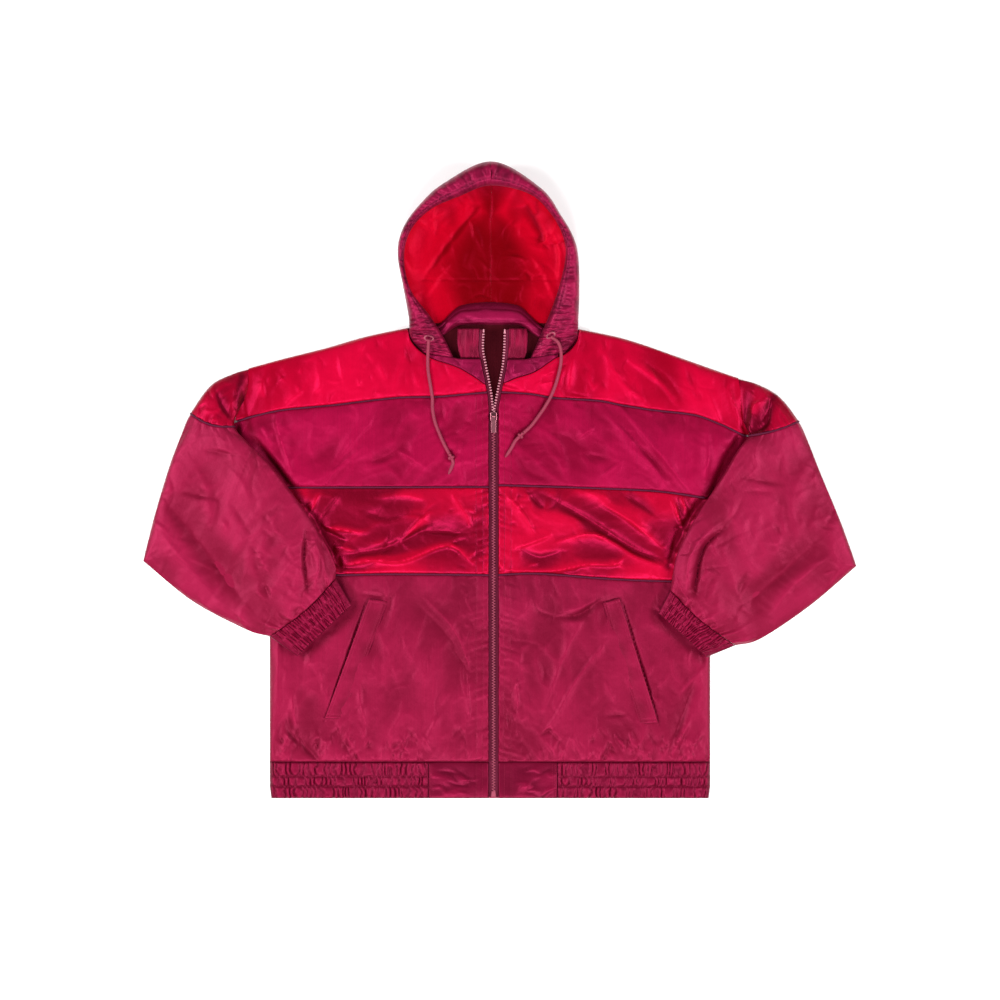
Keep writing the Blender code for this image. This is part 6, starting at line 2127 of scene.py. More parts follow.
@dataclass
class Sleeve:
    """One folded sleeve: the red cap, the piping, the sleeve and its gathered cuff."""
    half: Half
    around: int = 110
    lower: tuple = (0.96, 0.9, 0.8, 0.65, 0.5, 0.35, 0.2, 0.1, 0.04)
    roundness: float = 2.4
    edge_share: float = 0.42
    edge_start: float = 0.72
    hollow_inset: float = 6.0
    hollow_half: float = 1.6
    relief_start: float = 8.0
    soft_reach: float = 18.0
    soft_angles: tuple = (0.3, 1.35, 2.4, 3.44, 4.5, 5.5)
    least_share: float = 0.4
    hollow_drop: float = 0.6
    inner_rings: int = 6
    cap_shadow: float = 0.95
    cap_shadow_width: float = 9.0
    edge_shadow: float = 0.85
    edge_shadow_reach: float = 4.0
    swell_share: float = 0.55
    crease_share: float = 1.6
    wave: Grain = Grain(1.9, 46.0)
    large_crumple: Grain = Grain(1.0, 26.0, 2.6)
    small_crumple: Grain = Grain(0.34, 11.0, 2.0)
    small_crumple_turn: float = 30.0
    grain: Grain = Grain(0.12, 6.0)
    pucker_size: float = 4.2
    pucker_reach: float = 17.0
    seam_lap: float = 0.9
    cuff_pleats: int = 27
    pleat_drift: Grain = Grain(0.8, 2.5)
    pleat_spread: Grain = Grain(0.4, 2.0)
    cuff_grain: Grain = Grain(0.3, 3.0)
    cuff_edge: tuple = (2.2, 3.4)
    cuff_depth: float = 48.0
    cuff_rows: tuple = (15.0, 31.0)
    cuff_height: float = 11.0
    cuff_base_wave: float = 1.5
    pleat_height: float = 3.2

    def frame(self, s: Array) -> tuple:
        """Return sections' edges, heights, bows and lifts, and the way to the cuff.

        Args:
            s: Places along the sleeve, 1 from each section to the next.

        Returns:
            Outer edges, inner edges, heights, bows, lifts and ways.
        """
        rows = np.array([list(station) for station in self.half.sleeve], float)
        last = len(rows) - 1
        outer = along(rows[:, 0:2], s, corner=ELBOW_STATION)
        inner = along(rows[:, 2:4], s)
        other = along(rows[:, 4:7], s)
        middles = []
        for x in (np.maximum(s - 0.25, 0.0), np.minimum(s + 0.25, last)):
            middles.append((along(rows[:, 0:2], x, corner=ELBOW_STATION) + along(rows[:, 2:4], x)) / 2)
        return outer, inner, other[:, 0], other[:, 1], other[:, 2], unit(middles[1] - middles[0])

    def heights(self, across: Array, height: Array) -> tuple:
        """Return a flattened tube's upper and lower heights.

        Args:
            across: Fractions of the width.
            height: The sections' heights.

        Returns:
            The upper and the lower heights.
        """
        from_middle = np.abs(2 * across - 1)
        edge = self.edge_share * height
        round_part = np.sqrt(np.maximum(0.0, 1 - from_middle ** self.roundness))
        low = edge * np.maximum(0.0, (from_middle - self.edge_start) / (1 - self.edge_start)) ** 2
        return edge + (height - edge) * round_part, low

    def rings(self, frame: tuple, shift: Array, upper: Array, relief: Callable, inset: float) -> tuple:
        """Make the outer and inner rings of sections.

        Args:
            frame: The sections, as frame() gives them.
            shift: How far each section is moved towards the cuff.
            upper: Fractions of the width along the upper side.
            relief: The folds' height as a function of fraction, out and up.
            inset: How far the hollow stays from the edges.

        Returns:
            Outer rings, inner rings, the outer rings' places on the cut in millimetres, and the relief.
        """
        outer, inner, height, bow, lift, way = frame
        fractions = np.concatenate((upper, self.lower))[None, :]
        is_upper = (np.arange(fractions.shape[1]) < len(upper))[None, :]
        width = np.linalg.norm(outer - inner, axis=1)[:, None]
        height = height[:, None]

        def spots(fraction: Array) -> Array:
            """Return plan points at fractions of the sections.

            Args:
                fraction: Fractions of the width.

            Returns:
                Rows of out and up.
            """
            fraction = np.broadcast_to(fraction, (len(outer), fractions.shape[1]))
            bowed = np.asarray(shift)[:, None] - bow[:, None] * np.sin(np.pi * fraction)
            return (outer[:, None] + (inner - outer)[:, None] * fraction[..., None]
                    + way[:, None] * bowed[..., None])

        spot = spots(fractions)
        base = lift[:, None] * rest_height(self.half, spot[..., 0], spot[..., 1])
        high, low = self.heights(fractions, height)
        inside_edge = smooth_step((high - low) / self.relief_start)
        soft = sum(rest_height(self.half, spot[..., 0] + self.soft_reach * math.cos(angle),
                               spot[..., 1] + self.soft_reach * math.sin(angle))
                   for angle in self.soft_angles) / len(self.soft_angles)
        base = np.where(is_upper, base + inside_edge * (lift[:, None] * soft - base), base)
        extra = relief(fractions, spot[..., 0], spot[..., 1]) * inside_edge
        rise = np.where(is_upper, np.maximum(high + extra, low + self.least_share * (high - low)), low)
        outside = np.concatenate((spot, (base + rise)[..., None]), axis=-1)
        inner_fraction = 0.5 + (fractions - 0.5) * (1 - 2 * inset / width)
        spot = spots(inner_fraction)
        high, low = self.heights(inner_fraction, height)
        base = lift[:, None] * rest_height(self.half, spot[..., 0], spot[..., 1])
        hollow = self.hollow_half * np.sqrt(np.maximum(0.0, 1 - np.abs(2 * fractions - 1) ** 2))
        middle = base + (high + low) / 2 - self.hollow_drop
        inside = np.concatenate((spot, (middle + np.where(is_upper, hollow, -hollow))[..., None]), axis=-1)
        centre = (outer + inner) / 2
        length = travelled(centre)
        cut = np.stack(np.broadcast_arrays(fractions * width, length[:, None]), axis=-1)
        return outside, inside, cut, extra

    def part(self, name: str, node: str, frame: tuple, shift: Array, upper: Array, relief: Callable,
             finish: ClothFinish, slot: Slot, inset: float, reach: float, fullness: float = 1.0) -> None:
        """Make one stretch of sleeve and state its cut, all round.

        Args:
            name: The piece's name.
            node: The solid that it replaces.
            frame: The sections, as frame() gives them.
            shift: How far each section is moved towards the cuff.
            upper: Fractions of the width along the upper side.
            relief: The folds' height as a function of fraction, out and up.
            finish: Its finish.
            slot: The record's slot.
            inset: How far the hollow stays from the edges.
            reach: The relief from the middle painted shade to the full one.
            fullness: How much wider the cloth is than the sleeve.
        """
        outside, inside, cut, extra = self.rings(frame, shift, upper, relief, inset)
        picked = np.linspace(0, len(inside) - 1, self.inner_rings).round().astype(int)
        sign = self.half.sign
        piece = sew_tube(name, to_metres(sign, outside), to_metres(sign, inside[picked]), cut * MM, finish)
        # Painted shadow along the cap's fold line and at the sleeve's edges, over the folds' painted shade.
        edge = np.minimum(cut[..., 0], cut[..., 0].max(axis=1, keepdims=True) - cut[..., 0])
        fold = shadow(self.half.cap_shadow_line, outside[..., 0], outside[..., 1], self.cap_shadow_width)
        rim = self.edge_shadow * np.exp(-edge / self.edge_shadow_reach)
        paint_fold_shade(piece, extra, reach, np.maximum(self.cap_shadow * fold, rim))
        settle(piece, slot, node)
        outer, inner = frame[0], frame[1]
        widths = np.linalg.norm(outer - inner, axis=1)
        length = float(cut[-1, 0, 1])
        around = 2.0 * float(widths.max()) * fullness
        area = 2.0 * float(widths.mean()) * length * fullness
        declare_sheet(piece, around, length, area, ("back_panel",))

    def build(self) -> None:
        """Make the cap, the sleeve, the piping and the cuff."""
        half, tag = self.half, "_" + self.half.name
        seed, lie = half.pick(500, 540), half.pick(118.0, 112.0)
        upper = 0.5 - 0.5 * np.cos(np.linspace(0.0, np.pi, self.around))
        creases = [*half.sleeve_creases,
                   *strewn(((240, 480), (230, 520), 54, (16, 60), (3, 8), (0.3, 1.0), 60, 40, seed),
                           ((230, 330), (240, 380), 30, (14, 50), (2.2, 4.5), (0.5, 1.3),
                            half.pick(70, 80), 22, seed + 1))]
        cap_creases = [*half.sleeve_creases,
                       *strewn(((345, 430), (510, 600), 16, (10, 26), (2.2, 4.5), (0.4, 1.0), 60, 50,
                                seed + 2))]

        def folds(which: list, ends: tuple) -> Callable:
            """Return the relief of a stretch of sleeve as a function.

            Args:
                which: The creases that show there.
                ends: What end_drop() returns for the stretch.

            Returns:
                Heights as a function of fraction, out and up.
            """
            def relief(fraction: Array, out: Array, up: Array) -> Array:
                """Return the folds, the crumple and the puckers at the end seams.

                Args:
                    fraction: Fractions of the width.
                    out: Distances from the zip.
                    up: Distances from the hem.

                Returns:
                    The height that they add at each point.
                """
                large, small = self.large_crumple, self.small_crumple
                total = self.swell_share * swell(half.large_sleeve_folds, out, up)
                total += self.crease_share * crease_relief(which, out, up)
                total += self.wave.height * value_noise(out, up, self.wave.size, seed + 5)
                total += large.height * crumple(out, up, large.size, large.stretch, lie, seed + 6)
                total += small.height * crumple(out, up, small.size, small.stretch,
                                                lie + self.small_crumple_turn, seed + 7)
                total += self.grain.height * value_noise(out, up, self.grain.size, seed + 9)
                roll, size, distance, start = ends
                gathers = value_noise(90.0 * fraction, 0.12 * distance, self.pucker_size, seed + 8)
                return (total - (roll + size * gathers)) * start
            return relief

        def end_drop(distance: Array, to_cuff: Array, start: Array = 1.0) -> tuple:
            """Return the roll and the pucker beside an end seam.

            Args:
                distance: How far each section lies from the end seam.
                to_cuff: Where that seam is the cuff's.
                start: How much of the relief is there.

            Returns:
                The roll, the pucker's size, the distance and the start.
            """
            near = distance[:, None]
            size = np.where(to_cuff[:, None], 4.6, 1.1)
            return border_drop(near, 1.7, 3.0), size * np.exp(-near / self.pucker_reach), near, start

        last = len(half.sleeve) - 1
        s = np.unique(np.concatenate((np.linspace(0.0, PIPED_STATION, 60),
                                      PIPED_STATION - np.array((0.01, 0.03, 0.06)))))
        frame = self.frame(s)
        length = travelled((frame[0] + frame[1]) / 2)
        shift = -self.seam_lap * np.clip(1 - (PIPED_STATION - s) / 0.25, 0.0, 1.0)
        self.part("cap_cloth" + tag, "sleeve_cap" + tag, frame, shift, upper,
                  folds(cap_creases, end_drop(length[-1] - length, length < 0,
                                              smooth_step(length / 26.0)[:, None])),
                  CAP_SATIN, Slot.SATIN, self.hollow_inset, 2.0)
        s = np.unique(np.concatenate((np.linspace(PIPED_STATION, last, 210),
                                      PIPED_STATION + np.array((0.01, 0.03, 0.06)),
                                      last - np.array((0.01, 0.04, 0.09)), (float(ELBOW_STATION),))))
        frame = self.frame(s)
        length = travelled((frame[0] + frame[1]) / 2)
        shift = self.seam_lap * np.clip(1 - (s - PIPED_STATION) / 0.25, 0.0, 1.0) - 0.08 * (s == last)
        self.part("sleeve_cloth" + tag, "sleeve" + tag, frame, shift, upper,
                  folds(creases, end_drop(np.minimum(length, length[-1] - length), length > length[-1] / 2)),
                  SLEEVE_CLOTH, Slot.CLOTH, self.hollow_inset, 2.2)
        self.piping(upper)
        self.cuff()

    def piping(self, upper: Array) -> None:
        """Make the piping between cap and sleeve.

        Args:
            upper: Fractions of the width along the upper side.
        """
        half = self.half
        frame = self.frame(np.array([float(PIPED_STATION), PIPED_STATION + 0.001]))

        def level(fraction: Array, out: Array, up: Array) -> Array:
            """Return the piping's own small wobble."""
            folds = self.swell_share * swell(half.large_sleeve_folds, out, up)
            return folds + 0.3 * value_noise(out, up, 15.0, 561)

        outside = self.rings(frame, np.zeros(2), upper, level, self.hollow_inset)[0]
        path = outside[0, 2:self.around - 2].copy()
        path[:, 2] -= PIPING_RADIUS - PIPING_PROUD
        sew_piping(half, "sleeve", path, np.full(len(path), PIPING_RADIUS))

    def cuff(self) -> None:
        """Make the pleated cuff, smocked where it joins the sleeve."""
        half, tag = self.half, "_" + self.half.name
        seed = half.pick(580, 590)
        last = float(len(half.sleeve) - 1)
        frame = self.frame(np.array([last, last]))
        outer, inner, _, bow, lift, way = (part[0] for part in frame)
        edge_outer, edge_inner = np.array(half.cuff_edge[0:2]), np.array(half.cuff_edge[2:4])
        part = dense(self.cuff_depth, 1.7)
        many = len(part)
        frames = (outer + (edge_outer - outer) * part[:, None], inner + (edge_inner - inner) * part[:, None],
                  self.cuff_height + self.cuff_base_wave * (1 - part), bow * (1 - part),
                  np.full(many, lift), np.repeat(way[None], many, axis=0))
        count = self.cuff_pleats * 9
        turns = math.pi * (0.5 + 0.94 * (np.linspace(0.0, 1.0, count + 1) - 0.5))
        upper = 0.5 - 0.5 * np.cos(turns)
        upper[0], upper[-1] = 0.0, 1.0
        down = (part * self.cuff_depth)[:, None]

        def relief(fraction: Array, out: Array, up: Array) -> Array:
            """Return pleats of uneven height, broken by rows of elastic.

            Args:
                fraction: Fractions of the width.
                out: Distances from the zip.
                up: Distances from the hem.

            Returns:
                The height that they add at each point.
            """
            first, second = self.cuff_rows
            row = (down > first).astype(float) + (down > second)
            pleat = self.cuff_pleats * fraction + 0.5 * row
            drift, spread, fine = self.pleat_drift, self.pleat_spread, self.cuff_grain
            pleat = pleat + drift.height * value_noise(fraction * 70 + 9 * row, down * 0.1, drift.size, seed)
            shape = np.abs(np.sin(np.pi * pleat)) ** 0.7
            size = 0.8 + spread.height * value_noise(fraction * 70, down * 0.08, spread.size, seed + 1)
            rows = np.minimum(np.abs(down - first), np.abs(down - second))
            puff = 0.15 + 0.85 * rounded(rows, 6.0)
            fade = smooth_step(8 * np.minimum(fraction, 1 - fraction))
            edge = border_drop(np.minimum(down, self.cuff_depth - down), *self.cuff_edge)
            total = self.pleat_height * size * puff * (shape - 0.4) * fade
            return total + fine.height * value_noise(out, up, fine.size, seed + 2) - edge

        shift = np.zeros(many)
        shift[0] = 0.02
        self.part("cuff_cloth" + tag, "cuff" + tag, frames, shift, upper, relief, GATHERED_CLOTH,
                  Slot.CLOTH, 4.0, 1.3, 1.2)


# ---------------------------------------------------------------- the zip

def model_small(name: str, size: tuple, taper: tuple, bevel: float) -> tuple:
    """Model a small blunt solid, to be copied many times.

    Args:
        name: Its name while it is being modelled.
        size: Its length along x, y and z in millimetres.
        taper: How much its far y end is narrowed along x and z.
        bevel: How much its edges are rounded, in millimetres.

    Returns:
        Its points in millimetres and its faces.
    """
    bpy.ops.object.select_all(action="DESELECT")
    bpy.ops.mesh.primitive_cube_add(size=1.0)
    piece = bpy.context.object
    piece.name = name
    bpy.ops.object.mode_set(mode="EDIT")
    bpy.ops.mesh.select_all(action="SELECT")
    bpy.ops.transform.resize(value=size)
    bpy.ops.object.mode_set(mode="OBJECT")
    for face in piece.data.polygons:
        face.select = face.normal.y > 0.9
    for edge in piece.data.edges:
        edge.select = all(piece.data.vertices[i].co.y > 0.0 for i in edge.vertices)
    for vertex in piece.data.vertices:
        vertex.select = vertex.co.y > 0.0
    bpy.ops.object.mode_set(mode="EDIT")
    bpy.ops.transform.resize(value=(taper[0], 1.0, taper[1]))
    bpy.ops.mesh.select_all(action="SELECT")
    bpy.ops.mesh.bevel(offset=bevel, segments=1)
    bpy.ops.mesh.quads_convert_to_tris()
    bpy.ops.object.mode_set(mode="OBJECT")
    points = np.array([vertex.co[:] for vertex in piece.data.vertices])
    faces = np.array([face.vertices[:] for face in piece.data.polygons])
    bpy.data.objects.remove(piece)
    return points, faces


def copy_along(name: str, model: tuple, spots: Array, ways: Array, sign: float,
               finish: "ClothFinish | MetalFinish", scale: float = 1.0) -> bpy.types.Object:
    """Copy a small modelled solid to many places, each with its own points.

    Args:
        name: The new piece's name.
        model: The solid's points and faces; its y points along each way.
        spots: Rows of out, up and height in millimetres.
        ways: The direction of each copy.
        sign: The half's sign.
        finish: The finish.
        scale: How many times larger than the model the copies are.

    Returns:
        One object that holds all the copies.
    """
    points, faces = model
    ways = unit(ways)
    side = unit(np.cross(ways, (0.0, 0.0, 1.0)))
    over = np.cross(side, ways)
    local = (side[:, None] * points[None, :, 0:1] + ways[:, None] * points[None, :, 1:2]
             + over[:, None] * points[None, :, 2:3]) * scale
    rings = spots[:, None] + local
    numbers = faces[None] + (np.arange(len(spots)) * len(points))[:, None, None]
    cut = np.tile(points[None, :, 0:2] * MM, (len(spots), 1, 1))
    return finish_mesh(name, to_metres(sign, rings).reshape(-1, 3), numbers.reshape(-1, 3).tolist(),
                       cut.reshape(-1, 2), finish, 40.0)


@dataclass
class ZipFastener:
    """The zip: two woven tapes, their teeth, the end stops, the slider and its pull tab."""
    collar_rise: float = 6.0
    collar_top: float = 657.0
    start: float = 2.0
    top: float = 655.0
    slider_up: float = 534.0
    bend_up: float = 540.0
    pitch: float = 3.9
    tooth: tuple = (1.9, 3.2, 1.9)
    tooth_taper: tuple = (0.72, 0.8)
    tooth_bevel: float = 0.25
    tape_cut: float = 14.0
    stop: tuple = (2.2, 4.6, 2.2)
    stop_taper: tuple = (0.9, 0.9)
    stop_bevel: float = 0.35
    lower_end: tuple = (6.6, 8.0, 3.0)
    lower_end_taper: tuple = (0.86, 0.9)
    lower_end_bevel: float = 0.5
    lower_end_up: float = 6.2

    def base(self, up: Array) -> Array:
        """Return the height of the tape's underside.

        Args:
            up: Distances from the hem.

        Returns:
            Heights above the surface that the jacket lies on.
        """
        seam = float(through(LEFT.neck_seam, np.array(0.0)))
        lift = np.maximum(0.0, (up - seam) / (self.collar_top - seam)) ** 0.8
        return front_underside(LEFT, np.zeros(np.shape(up)), up) + TAPE_BASE + self.collar_rise * lift

    def build(self) -> None:
        """Make both sides and dress the slider and the pull."""
        tooth = model_small("tooth_model", self.tooth, self.tooth_taper, self.tooth_bevel)
        for half in HALVES:
            self.tape(half)
            self.teeth(half, tooth)
        self.stops()
        for name in ("zip_slider", "pull_tab"):
            node = frame["nodes"][name]
            node.data.materials.clear()
            node.data.materials.append(finish_of(SLIDER_METAL))
            LOG.info("%s keeps its own shape", name)

    def tape(self, half: Half) -> None:
        """Make one woven tape with its thicker edge.

        Args:
            half: The half of the jacket.
        """
        up = np.unique(np.concatenate((np.linspace(self.start, self.bend_up, 260),
                                       np.linspace(self.bend_up, self.top, 110))))
        part = np.array((0.0, 0.06, 0.2, 0.4, 0.6, 0.8, 0.93, 1.0))
        up, part = np.meshgrid(up, part, indexing="ij")
        inner = through(half.zip_opening, up)
        out = inner + (TAPE_WIDTH + 0.3) * part
        base = self.base(up)
        top = base + TAPE_WALL + 0.35 * bell(part - 0.15, 0.12)
        top += 0.12 * value_noise(out * 0.3, up, 7.0, 601)
        top -= border_drop(np.minimum(part, 1 - part) * TAPE_WIDTH, 0.35, 0.6)
        length = self.top - self.start
        cloth = Cloth("tape_cloth_" + half.name, "zip_tape_" + half.name, TAPE, Slot.TAPE, ("back_panel",))
        cloth.sew(half.sign, out, up, top, base, (self.tape_cut, length), self.tape_cut / 2 * length)

    def teeth(self, half: Half, tooth: tuple) -> None:
        """Make one row of teeth: plum where the zip is closed, bright where it is open.

        Args:
            half: The half of the jacket.
            tooth: The modelled tooth.
        """
        offset = half.pick(0.0, self.pitch / 2)
        up = np.arange(self.start + 3.0 + offset, self.top - 3.0, self.pitch)
        inner = through(half.zip_opening, up)
        slope = (through(half.zip_opening, up + 1.0) - through(half.zip_opening, up - 1.0)) / 2
        out = inner + 1.05 - 0.3 * (inner < 0.5)
        height = self.base(up) + TAPE_WALL + SEAM_GAP + CHAIN_HEIGHT / 2 - 0.15
        ways = np.stack((-np.ones(up.shape), slope, np.zeros(up.shape)), axis=-1)
        spots = np.stack((out, up, height), axis=-1)
        closed = up < self.slider_up
        for state, mine, finish in (("closed", closed, PLUM_METAL), ("open", ~closed, BRIGHT_METAL)):
            piece = copy_along("_".join(("teeth", state, half.name)), tooth, spots[mine], ways[mine],
                               half.sign, finish)
            settle(piece, Slot.METAL, "zip_chain_" + half.name)

    def stops(self) -> None:
        """Make the two top stops and the bottom stop, and the pin of the lower end."""
        stop = model_small("stop_model", self.stop, self.stop_taper, self.stop_bevel)
        for half in HALVES:
            up = np.array((self.top - 1.6,))
            spot = np.stack((through(half.zip_opening, up) + 1.1, up,
                             self.base(up) + TAPE_WALL + 1.3), axis=-1)
            piece = copy_along("top_stop_" + half.name, stop, spot, np.array(((0.0, 1.0, 0.0),)),
                               half.sign, BRIGHT_METAL)
            settle(piece, Slot.METAL)
        box = model_small("lower_end_model", self.lower_end, self.lower_end_taper, self.lower_end_bevel)
        up = np.array((self.lower_end_up,))
        spot = np.stack((np.zeros(1), up, self.base(up) + TAPE_WALL + 1.7), axis=-1)
        piece = copy_along("lower_end", box, spot, np.array(((0.0, 1.0, 0.0),)), 1.0, PLUM_METAL)
        settle(piece, Slot.METAL)


# ---------------------------------------------------------------- the drawcord

@dataclass
class Drawcord:
    """One free end of the hood's drawcord: cord, knot and tail."""
    half: Half
    spacing: float = 3.0
    samples: int = 400
    rest: float = 0.8
    on_rim: tuple = (612.0, 636.0)
    rim_station: float = 1.1
    knot_size: tuple = (4.6, 4.8, 3.8)
    knot_gap: float = 0.6
    knot_radius: float = 1.9
    worn_end: tuple = (0.9, 0.72, 0.42)
    around: int = 16

    def route(self) -> tuple:
        """Return the centre line of cord and tail, and the knot's centre.

        Returns:
            The points of the line, the knot's centre and the way the cord enters it.
        """
        half = self.half
        points = []
        for out, up, rise in half.cord:
            here = np.array((out, up), float)
            height = float(front_top(half, here[:1], here[1:])[0]) + rise + CORD_RADIUS
            if up > float(through(half.neck_line, here[0])):
                start, end = self.on_rim
                s = self.rim_station * smooth_step(np.array([(up - start) / (end - start)]))
                row = along([list(station) for station in half.rim], s)[0]
                height = row[4] + row[5] + CORD_RADIUS + self.rest
            points.append(np.array((out, up, height)))
        line = resampled(points, self.samples)
        way = (line[-1] - line[-4]) / np.linalg.norm(line[-1] - line[-4])
        centre = line[-1] + way * (self.knot_size[1] + self.knot_gap)
        centre[2] = float(front_top(half, centre[:1], centre[1:2])[0]) + self.knot_size[2] + self.knot_gap
        tail = []
        for out, up in half.cord_tip:
            here = np.array((out, up), float)
            height = float(front_top(half, here[:1], here[1:])[0]) + self.rest + CORD_RADIUS
            tail.append(np.array((out, up, height)))
        knots = [line[0], *line[40:-1:40], line[-1], centre - np.array((0.0, 0.0, 1.0)), *tail]
        path = evenly(resampled(knots, self.samples),
                      lambda length: np.linspace(0.0, length, int(length / self.spacing)))
        return path, centre, way

    def build(self) -> None:
        """Make the cord, its overhand knot and its worn end."""
        half = self.half
        path, centre, way = self.route()
        radii = np.full(len(path), CORD_RADIUS)
        radii[-3:] = CORD_RADIUS * np.array(self.worn_end)
        rings, cut = cord_rings(path, radii, self.around)
        cord = sew_roll("cord_" + half.name, to_metres(half.sign, rings), cut, CORD)
        settle(cord, Slot.CORD, "drawcord_" + half.name, "cord_tip_" + half.name)
        knot = self.knot(centre, way)
        line = to_metres(half.sign, path)

    def knot(self, centre: Array, way: Array) -> bpy.types.Object:
        """Make the overhand knot as one tight loop of the cord around itself.

        Args:
            centre: The knot's centre.
            way: The way the cord enters it.

        Returns:
            The knot.
        """
        t = np.linspace(0.0, 2 * np.pi, 73)[:-1]
        across = np.cross(way, (0.0, 0.0, 1.0))
        across /= np.linalg.norm(across)
        over = np.cross(across, way)
        size = np.array(self.knot_size) - self.knot_radius
        loop = (across * (size[0] * (np.sin(t) + 0.9 * np.sin(2 * t)) / 1.6)[:, None]
                + way * (size[1] * (np.cos(t) - 0.9 * np.cos(2 * t)) / 1.6)[:, None]
                + over * (size[2] * -np.sin(3 * t) * 0.7)[:, None])
        path = centre + loop
        closed = np.concatenate((path[-2:], path, path[:3]))
        rings, cut = cord_rings(closed, np.full(len(closed), self.knot_radius), 12)
        piece = sew_roll("knot_" + self.half.name, to_metres(self.half.sign, rings[2:-2]), cut[2:-2], CORD)
        settle(piece, Slot.CORD, "cord_knot_" + self.half.name)
        return piece


# ---------------------------------------------------------------- sewing

